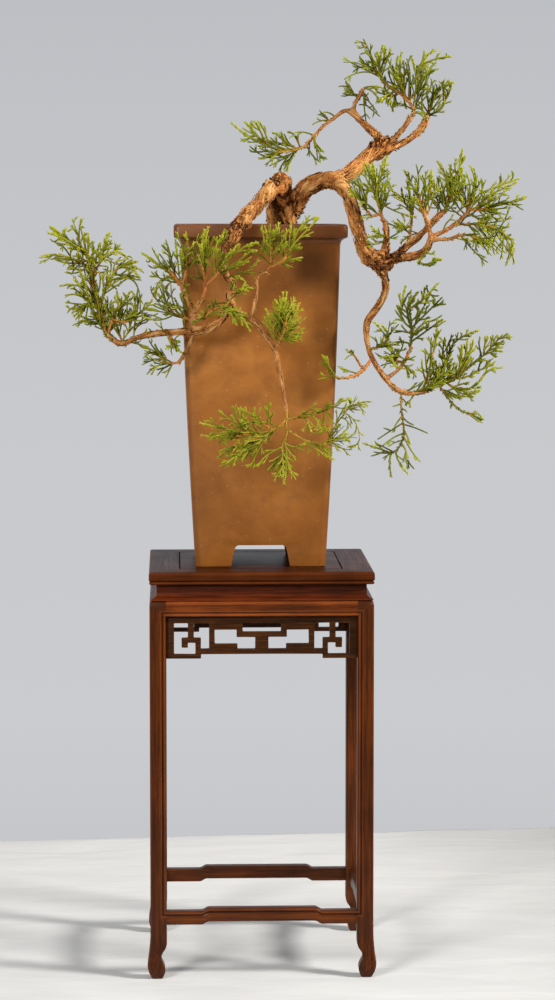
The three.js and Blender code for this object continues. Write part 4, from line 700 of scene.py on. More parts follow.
# Foliage
# Bunches of fans: the two radii of a fan's stem, the stops of the stem, and the tips of its own shoots, as
# places in the photograph with a depth. A fan without tips has only the shoots in TRACES
BUNCHES = {
    "apex_crown": [
        (1.3, 0.9, [(413.8, 109.5, -13), (409, 102, -14), (400, 93.5, -12), (391, 88, -10), (383, 81, -8),
                    (377, 72, -6), (372, 64, -5)],
         [(363, 39, -2), (343.5, 61.5, 4), (352, 72, -18), (343.5, 79, -12), (383, 46, 6), (394, 54, -16)]),
        (1, 0.8, [(406, 98.5, -13.4), (403.5, 86, -16), (402, 74, -20)],
         [(389, 67, -30), (396, 60, -16), (402.5, 53, -24), (412, 59, -34), (393, 79, -28),
          (414, 70, -12), (398, 70, -4)]),
        (1.1, 0.8, [(411.5, 106, -13.6), (417, 92, -6), (418.5, 76, 0)],
         [(434, 48.5, 8), (446, 54, -4), (450.5, 57.5, 14), (434.5, 69.5, 24), (409, 72, 8),
          (430, 84, -10), (424, 62, -14)]),
        (0.9, 0.8, [(400, 93.5, -12), (392, 96, -4), (384, 95, 4)],
         [(366.5, 88, 8), (380, 101.5, 14), (388, 104.5, -2), (398, 108, 8), (374, 93, -2)]),
    ],
    "apex_right": [
        (1.4, 0.9, [(427.3, 117, 10), (430, 107, 12), (434.5, 96, 12)],
         [(447.5, 79.5, 20), (454, 82.5, 4), (451, 97, 26), (431, 80, 30), (440.5, 82, 8),
          (422.5, 88, 22), (437, 111, -2)]),
    ],
    "fork_sprig": [
        (0.9, 0.8, [(363, 90.5, 8.7), (364.5, 97, 7), (365, 105, 4)],
         [(381, 116, -6), (366.5, 123.5, 10), (369.5, 99, -10)]),
        (0.9, 0.8, [(363.8, 95, 7.4), (355, 95, 13), (349, 89, 16)],
         [(338.5, 86.5, 20), (345.5, 81.5, 10), (342, 93.5, 26)]),
    ],
    "pad_outer": [
        (1, 0.8, [(306, 145, -5.4), (296, 150, -8), (283, 151, -8), (270, 147, -6), (258, 139, -4)],
         [(232, 123.5, 4), (235.5, 132.5, -10), (246.5, 124.5, -14), (256, 121.5, 8), (243, 140, -22)]),
        (0.85, 0.8, [(290, 151, -8), (278, 152, -14), (268, 151, -18)],
         [(252, 146.5, -24), (260, 159, -10), (273.5, 163, -26)]),
        (0.85, 0.8, [(300, 148.5, -7), (292, 156, -2), (288, 162, 2)],
         [(271, 164.5, 8), (280, 171.5, 0), (286, 171.5, 10)]),
        (0.85, 0.8, [(301, 147.8, -7), (290, 145, 2), (279, 144, 8)],
         [(274.5, 131, 14), (288, 132, 4), (265, 137, 18)]),
    ],
    "pad_hanging": [
        (0.9, 0.8, [(315, 135, -2.4), (314.5, 143, -8), (318, 151, -12)],
         [(328.5, 157.5, -18), (314.5, 164.5, -8), (308, 157.5, -20), (323, 161, -4)]),
    ],
    "twig_sprig": [
        (0.85, 0.8, [(329, 121.7, 2.7), (325, 116, 8), (321, 113, 10)],
         [(313, 112, 14), (318, 106, 6), (311, 123.5, 16)]),
    ],
    "arch_up": [
        (1.2, 0.8, [(383.5, 220.3, -80), (380, 210, -82), (378, 198, -84), (377, 186, -86)],
         [(365, 162.5, -94), (372, 163.5, -78), (386.5, 156, -92), (388.5, 172, -74), (389, 181, -100),
          (391, 203, -92)]),
        (1, 0.8, [(381.6, 214.5, -81), (373, 216, -80), (366, 210, -78), (361, 201, -78)],
         [(357, 172, -82), (350.5, 180, -70), (351, 189, -92), (363, 218, -90), (369, 180, -68)]),
    ],
    "arch_sprig": [
        (0.85, 0.8, [(386.3, 236, -79), (380, 237, -87), (376, 238, -90)],
         [(370, 223.5, -92), (369, 240, -94), (375, 246, -86)]),
    ],
    "fan_left": [
        (1, 0.8, [(409, 244.6, -65), (410.5, 232, -58), (412, 218, -54), (411.5, 203, -52)],
         [(406, 170, -56), (418, 164.5, -46), (403, 187, -36), (382.5, 179, -60), (388.5, 207, -64),
          (391, 222, -40), (389, 238, -52), (417, 186, -38)]),
    ],
    "fan_mid": [
        (1, 0.8, [(425.5, 216.5, -89.5), (421, 205, -92), (419, 194, -94)],
         [(408, 176, -104), (419, 177, -84), (427, 171, -98), (412, 200, -110), (432, 188, -106)]),
        (0.9, 0.8, [(420.5, 203, -92.4), (427, 198, -85), (431, 190, -80)],
         [(434.5, 174, -76), (430, 173, -88), (441, 184, -70)]),
    ],
    "crown": [
        (1.1, 0.8, [(446, 210.3, -47.4), (448.5, 199, -46), (451, 186, -46)],
         [(439, 161.5, -36), (446.5, 163.5, -52), (452.5, 163, -34), (464.5, 150, -50),
          (468.5, 157.5, -38), (463.5, 180, -26), (458, 168, -60)]),
        (0.85, 0.8, [(448, 203, -46.6), (443, 195, -34), (439, 189, -28)],
         [(437, 173, -22), (446, 178, -16), (431, 184, -34)]),
        (0.85, 0.8, [(449, 197, -46), (458, 193, -54), (462, 189, -58)],
         [(470, 178, -64), (461, 172, -70)]),
    ],
    "crown_right": [
        (1.1, 0.8, [(462.5, 217.3, -76.4), (468.5, 209, -76), (472, 196, -78)],
         [(473, 165, -84), (482.5, 179, -72), (469.5, 186, -94), (486, 190, -90), (458, 196, -86),
          (479, 172, -94)]),
        (0.95, 0.8, [(466, 213, -76.2), (478, 206, -72), (490, 194, -68)],
         [(503, 174.5, -58), (511, 174, -72), (516.5, 174, -60), (523.5, 178.5, -70), (519.5, 187, -52)]),
        (0.95, 0.8, [(468, 210, -76), (482, 209, -80), (496, 205, -84)],
         [(509.5, 190, -78), (528, 197, -88), (515, 201, -102), (525, 210, -76), (508, 219, -92),
          (488, 220, -74), (490, 196, -98), (500, 214, -70)]),
    ],
    "far_low": [
        (1.05, 0.8, [(453.5, 225.2, -79), (466, 224, -70), (480, 225, -64), (494, 228, -60),
                     (504, 235, -58)],
         [(511.5, 226.5, -48), (515, 249, -60), (515.5, 263, -50), (508.5, 263.5, -68), (502.5, 260, -46),
          (499, 257, -74), (487, 213, -52), (478, 240, -56), (494, 243, -50), (500, 218, -68)]),
    ],
    "far_under": [
        (0.95, 0.8, [(457.5, 236, -94.2), (468, 235, -98), (480, 240, -102), (488, 243, -104)],
         [(477, 230, -108), (490.5, 262, -96), (478, 248, -112), (481, 253, -90), (496, 250, -112),
          (500, 243, -98)]),
    ],
    "under_sprig": [
        (0.9, 0.8, [(429.5, 244, -84), (424, 256, -90), (419, 262, -92), (427, 265, -94), (433, 263, -95)],
         [(435.5, 251, -96), (441, 257.5, -100), (433, 266.5, -88)]),
    ],
    "rise": [
        (1, 0.8, [(410.8, 345.5, -71), (411.3, 332, -73), (410.5, 318, -75), (409, 304, -77)], []),
        (0.9, 0.8, [(411.2, 334, -72.8), (417, 320, -70), (424, 307, -68)], []),
        (0.85, 0.8, [(411.2, 337, -72.6), (421, 330, -80), (429, 325, -84)], []),
    ],
    "inner": [
        (0.95, 0.8, [(369.2, 349, -66), (378, 347, -74), (386, 342, -80), (390, 333, -82)],
         [(390, 320.5, -86), (382, 325.5, -78), (374, 322, -90), (375, 337, -92), (399, 324, -90),
          (400, 343, -74), (392, 346, -94), (384, 335, -66)]),
    ],
    "inner_low": [
        (0.9, 0.8, [(397.5, 370.5, -66), (397, 360, -62), (399, 350, -58)],
         [(391, 352, -52), (380.5, 366, -56), (378, 356, -46), (404, 340, -52), (386, 341, -44)]),
        (0.85, 0.8, [(397, 361, -62.4), (400, 362, -72), (406, 367, -76), (412, 372, -77)],
         [(415.5, 374, -82), (409, 378, -68), (416, 356, -80)]),
    ],
    "over_pot": [
        (1.3, 0.8, [(371, 360, -65), (361, 372, -68), (349.5, 377.3, -72), (337, 377.3, -76),
                    (327, 370, -80)],
         [(318, 347.5, -84), (316.5, 385, -86), (325, 352, -92), (330, 388, -74), (344, 365, -84)]),
        (0.85, 0.8, [(364, 369.3, -67), (357, 360, -74), (351, 350, -78)],
         [(346.5, 338, -82), (341, 352, -86), (358, 345, -70)]),
    ],
    "hanging": [
        (1, 0.8, [(401.5, 391.5, -59), (401.3, 408, -60), (402.5, 419, -61), (404, 430, -62),
                  (401, 444, -63), (396, 450.5, -64), (388, 453, -65)], []),
    ],
    "low_left": [
        (0.95, 0.8, [(421, 392, -55), (427, 379, -60), (430, 368, -64), (432, 356, -66)], []),
    ],
    "low_mid": [
        (0.95, 0.8, [(427, 391, -54), (437, 378, -47), (444, 366, -42), (451, 354, -38)], []),
    ],
    "low_right": [
        (1.1, 0.9, [(428, 390, -53.4), (441, 385, -53), (454, 377, -54), (464, 370, -54)], []),
        (0.9, 0.8, [(454, 377, -54), (468, 368, -60), (482, 357, -64)], []),
        (0.85, 0.8, [(452, 378.3, -54), (466, 377, -46), (479, 370, -42)], []),
        (0.85, 0.8, [(446, 382.2, -53.4), (457, 388, -58), (466, 389, -60)], []),
        (0.85, 0.8, [(440, 385.4, -53), (449, 399, -48), (459, 409, -46), (470, 414.5, -44)], []),
    ],
    "left_top": [
        (1.05, 0.8, [(90.2, 268, -44.4), (87, 255, -44), (81, 246, -44), (77, 238, -44)],
         [(48, 233, -36), (53, 228.5, -52), (72, 219, -36), (82, 219.5, -50), (89, 234, -30),
          (59, 245, -62)]),
        (0.85, 0.8, [(88.5, 261, -44), (80, 261, -50), (71, 258, -54)],
         [(42, 257, -58), (53, 261, -44), (65, 272, -64), (62, 250, -34), (70, 277, -40)]),
    ],
    "left_inner": [
        (0.95, 0.8, [(92.3, 281, -45.4), (96, 270, -50), (101, 258, -54), (104, 250, -56)],
         [(109.5, 234, -60), (121, 245, -50), (97, 243, -68), (114, 254, -70), (88, 262, -62),
          (112, 240, -44)]),
    ],
    "left_mid": [
        (1, 0.8, [(99.5, 305, -48), (104, 292, -42), (109, 280, -37), (116, 271, -34)],
         [(127.5, 256, -28), (142.5, 271, -36), (134, 260.5, -44), (135, 279, -22), (107, 266, -24),
          (122, 262, -16), (112, 258, -36), (124, 286, -30)]),
    ],
    "left_out": [
        (0.95, 0.8, [(97, 299, -47.2), (90, 296, -54), (82, 294, -58)],
         [(61.5, 287, -62), (66.5, 296, -50), (66, 303.5, -70), (78, 283, -48), (75, 276, -60),
          (70, 285, -38)]),
        (0.85, 0.8, [(93, 297.4, -51), (87, 305, -46), (82, 312, -42)],
         [(73, 327, -36), (75, 316, -50), (70, 309, -34), (84, 327, -52)]),
    ],
    "left_low": [
        (1, 0.8, [(108.5, 334, -51.2), (112, 322, -58), (117, 310, -62), (124, 303, -64)],
         [(117, 291, -66), (131, 292, -74), (139, 297, -58), (108, 300, -72), (104, 312, -66),
          (124, 289, -52)]),
        (0.85, 0.8, [(113, 319, -59), (124, 322, -66), (135, 318, -68)],
         [(149, 300, -64), (146, 322, -74), (138, 305, -78), (128, 308, -56)]),
    ],
    "rim_left": [
        (1.1, 0.8, [(185.5, 295, -82.8), (180, 284, -85), (175, 277, -87), (169, 270, -88)],
         [(142.5, 253, -84), (149.5, 252.5, -94), (154.5, 247, -80), (166, 239, -92), (160.5, 245, -100),
          (176, 234.5, -86), (160, 262, -78), (171, 251, -76)]),
        (0.9, 0.8, [(182, 288, -84), (185, 276, -90), (187, 264, -94)],
         [(185.5, 230.5, -98), (192, 247, -88), (181, 250, -104), (197, 256, -100), (190, 237, -108),
          (178, 262, -98)]),
    ],
    "rim_right": [
        (1, 0.8, [(202, 300, -86), (205, 290, -90), (204, 278, -94), (203, 266, -96)],
         [(198, 237.5, -100), (203, 234, -90), (208.5, 226.5, -102), (214, 243, -96), (195, 265, -106),
          (207, 250, -108)]),
        (0.9, 0.8, [(204.6, 286, -92), (213, 279, -98), (221, 270, -104)],
         [(217, 236, -108), (223, 243, -114), (239, 244, -108), (257, 243, -100), (257, 251.5, -112),
          (258, 261, -102), (232, 252, -96), (228, 262, -112)]),
    ],
    "wiggle_sprig": [
        (0.85, 0.8, [(229, 290, -88), (234, 292, -96), (239, 291, -99)],
         [(252, 288.5, -102), (245, 280.5, -96), (248, 298, -104), (239, 272, -100)]),
    ],
    "bough_left": [
        (1, 0.8, [(191.7, 320, -79.8), (182, 317, -76), (173, 313, -73), (163, 306, -70)],
         [(153, 272, -64), (162.5, 270.5, -76), (151, 287, -58), (168, 292, -84), (146, 304, -80),
          (145.5, 311, -62), (174, 301, -62), (170, 280, -58), (180, 296, -66), (158, 292, -84)]),
    ],
    "bough_low": [
        (0.9, 0.8, [(167, 332.3, -69.5), (171, 338, -76), (174, 344, -79)],
         [(181, 352.5, -82), (168, 350, -88), (180, 341, -88)]),
    ],
    "bough_top": [
        (0.9, 0.8, [(205, 330, -81.4), (206, 317, -88), (215, 309, -92), (226, 306, -96)],
         [(249.5, 328.5, -100), (240, 309, -104), (198, 315, -94), (190, 325, -92), (216, 297, -98)]),
    ],
    "drop_left": [
        (0.95, 0.8, [(179, 362.3, -74.2), (170, 363.5, -72), (162, 359, -70), (156, 353, -68)],
         [(141, 345, -64), (142, 365.5, -74), (147, 376, -60), (165, 347.5, -80), (165.5, 378, -78),
          (149, 336.5, -84), (172, 372, -64), (152, 346, -78), (148, 356, -84)]),
    ],
    "front_top": [
        (0.95, 0.8, [(266.5, 272.6, -91.8), (271, 265, -96), (271, 254, -99), (270, 244, -101)],
         [(264.5, 225, -104), (279, 223, -96), (274, 232, -110), (261, 248, -96), (283, 240, -106)]),
        (0.9, 0.8, [(270, 267, -95), (281, 262, -101), (290, 250, -104)],
         [(291, 224, -104), (304, 220, -96), (319, 218, -108), (301, 243, -114), (301, 257.5, -98),
          (297, 232, -90)]),
    ],
    "front_mid": [
        (0.95, 0.8, [(274.5, 350, -91), (281, 340, -98), (285, 329, -102), (286, 317, -104)],
         [(285.4, 292, -106), (299.5, 304, -98), (302.5, 331, -108), (266, 309, -104), (276, 299, -112),
          (296, 319, -114)]),
    ],
    "front_low": [
        (1.3, 0.8, [(285.8, 408, -86.4), (286.5, 418, -87), (280, 426, -89), (270, 431, -92),
                    (256, 433, -94), (243, 431, -95)],
         [(199.5, 423, -92), (201, 436, -102), (218, 410, -88), (226, 412, -100), (217, 441, -86),
          (235.5, 404, -94), (210, 428, -82), (228, 422, -108)]),
        (0.9, 0.8, [(272, 430.2, -91.6), (262, 424, -98), (250, 423, -102)],
         [(242, 407, -106), (250.5, 409.5, -94), (259, 412, -108), (268.5, 404, -98), (240, 416, -110)]),
        (0.9, 0.8, [(271, 430.6, -91.8), (261, 441, -88), (249, 447, -86)],
         [(213, 453.5, -84), (220.5, 464, -94), (242.5, 462, -80), (253, 464, -92), (227, 447, -100),
          (235, 456, -98)]),
        (1, 0.8, [(285, 420, -87.4), (287, 434, -88), (282, 447, -92), (283, 458, -94)],
         [(274.5, 477, -98), (279.5, 480, -86), (286, 482.5, -96), (294, 479, -104), (268, 466, -88)]),
        (1, 0.8, [(286.3, 415, -86.8), (297, 417, -88), (310, 415, -90), (322, 410, -92), (334, 406, -93)],
         [(349.5, 399, -96), (361, 398.5, -86), (372.5, 401, -98), (366, 411, -88)]),
        (1, 0.8, [(286.5, 429, -87.8), (297, 436, -90), (309, 442, -93), (321, 444, -94), (331, 437, -94),
                  (339, 424, -94)],
         [(359, 439, -90), (362, 424, -102), (351, 447.5, -98), (332.5, 459.5, -90), (345, 457, -104),
          (321, 458, -100)]),
    ],
}

# How a bunch grows. For its own shoots: fullness of side shoots, extra shoots beside each one, inner shoots
# for each tip, and how far the tips are pulled in. Traced is the fullness of the shoots in TRACES, plumed the
# share of shoots with a young plume, and tone how light they are, partly their own colour and partly painted
# light and shade on each part of the mass. Stem is the age of the stems, from brown to
# green, girth their thickness, and bulk that of every shoot
USUAL_HABIT = dict(fullness=0.3, extra=0.0, inner=0.0, pull=0.3, traced=0.5, plumed=0.25, tone=0.0,
                   stem=0.06, girth=0.9, bulk=1.0)
HABITS = {
    "apex_crown": dict(fullness=0.4, extra=0.2, plumed=0.1, tone=-0.2, stem=0.16, bulk=1.08),
    "apex_right": dict(fullness=0.45, extra=0.3, traced=0.6, plumed=0.15, tone=-0.14, stem=0.18, bulk=1.08),
    "fork_sprig": dict(traced=0.3, plumed=0.0, tone=-0.25, stem=0.28),
    "pad_outer": dict(traced=0.4, plumed=0.1, tone=-0.12, stem=0.2, bulk=1.1),
    "pad_hanging": dict(traced=0.35, plumed=0.1, tone=-0.1, stem=0.26),
    "twig_sprig": dict(traced=0.3, stem=0.26),
    "arch_up": dict(fullness=0.45, extra=0.6, pull=0.0, tone=0.03),
    "arch_sprig": dict(fullness=1.0, stem=0.28),
    "fan_left": dict(fullness=0.4, extra=0.2, inner=0.1, traced=0.55),
    "fan_mid": dict(fullness=0.5, extra=0.3, inner=0.1, traced=0.65),
    "crown": dict(fullness=0.5, extra=0.4, inner=0.2, traced=0.65),
    "crown_right": dict(fullness=0.5, extra=0.3, traced=0.7),
    "far_low": dict(fullness=0.5, extra=0.3, traced=0.65, stem=0.14),
    "far_under": dict(fullness=0.5, extra=0.2, traced=0.6, stem=0.2),
    "under_sprig": dict(fullness=0.2, traced=0.3, stem=0.3, bulk=1.25),
    "rise": dict(traced=0.6, plumed=0.0, tone=-0.4, stem=0.32, bulk=1.25),
    "inner": dict(fullness=0.7, extra=0.2, inner=0.3, pull=0.0, tone=-0.15, stem=0.2),
    "inner_low": dict(fullness=0.7, extra=0.2, inner=0.2, pull=0.0, tone=-0.15, stem=0.2),
    "over_pot": dict(fullness=0.2, traced=0.35, tone=0.04, stem=0.12),
    "hanging": dict(traced=0.22, plumed=0.0, tone=-0.18, stem=0.22, girth=0.75, bulk=1.05),
    "low_left": dict(traced=0.8, tone=-0.1, stem=0.24, bulk=1.15),
    "low_mid": dict(traced=1.1, tone=-0.04, stem=0.26, bulk=1.12),
    "low_right": dict(traced=0.8, stem=0.24, girth=0.8, bulk=1.15),
    "left_top": dict(fullness=0.25, traced=0.6, tone=0.28, stem=0.18, bulk=1.08),
    "left_inner": dict(fullness=0.45, extra=0.3, traced=0.65, tone=0.26, stem=0.12, bulk=1.08),
    "left_mid": dict(fullness=0.25, traced=0.6, tone=0.28, stem=0.28, bulk=1.08),
    "left_out": dict(fullness=0.25, traced=0.6, tone=0.3, stem=0.28, bulk=1.08),
    "left_low": dict(fullness=0.45, extra=0.3, traced=0.65, tone=0.24, stem=0.12, bulk=1.08),
    "rim_left": dict(pull=0.2, traced=0.45, stem=0.02, girth=1.3),
    "rim_right": dict(pull=0.25, traced=0.4, stem=0.02, girth=1.2),
    "wiggle_sprig": dict(fullness=0.2, traced=0.3),
    "bough_left": dict(fullness=0.25, traced=0.4, tone=-0.06),
    "bough_low": dict(fullness=1.0, pull=0.0),
    "bough_top": dict(fullness=1.0, pull=0.0),
    "drop_left": dict(fullness=0.25, traced=0.4, stem=0.12),
    "front_top": dict(fullness=0.5, extra=0.2, inner=0.1, pull=0.0, tone=0.2, bulk=0.9),
    "front_mid": dict(fullness=0.9, extra=0.5, pull=0.1, traced=1.0, plumed=0.35, tone=0.24, bulk=0.86),
    "front_low": dict(fullness=0.6, extra=0.2, pull=0.2, traced=0.85, tone=0.24, stem=0.19, girth=0.68,
                      bulk=0.84),
}

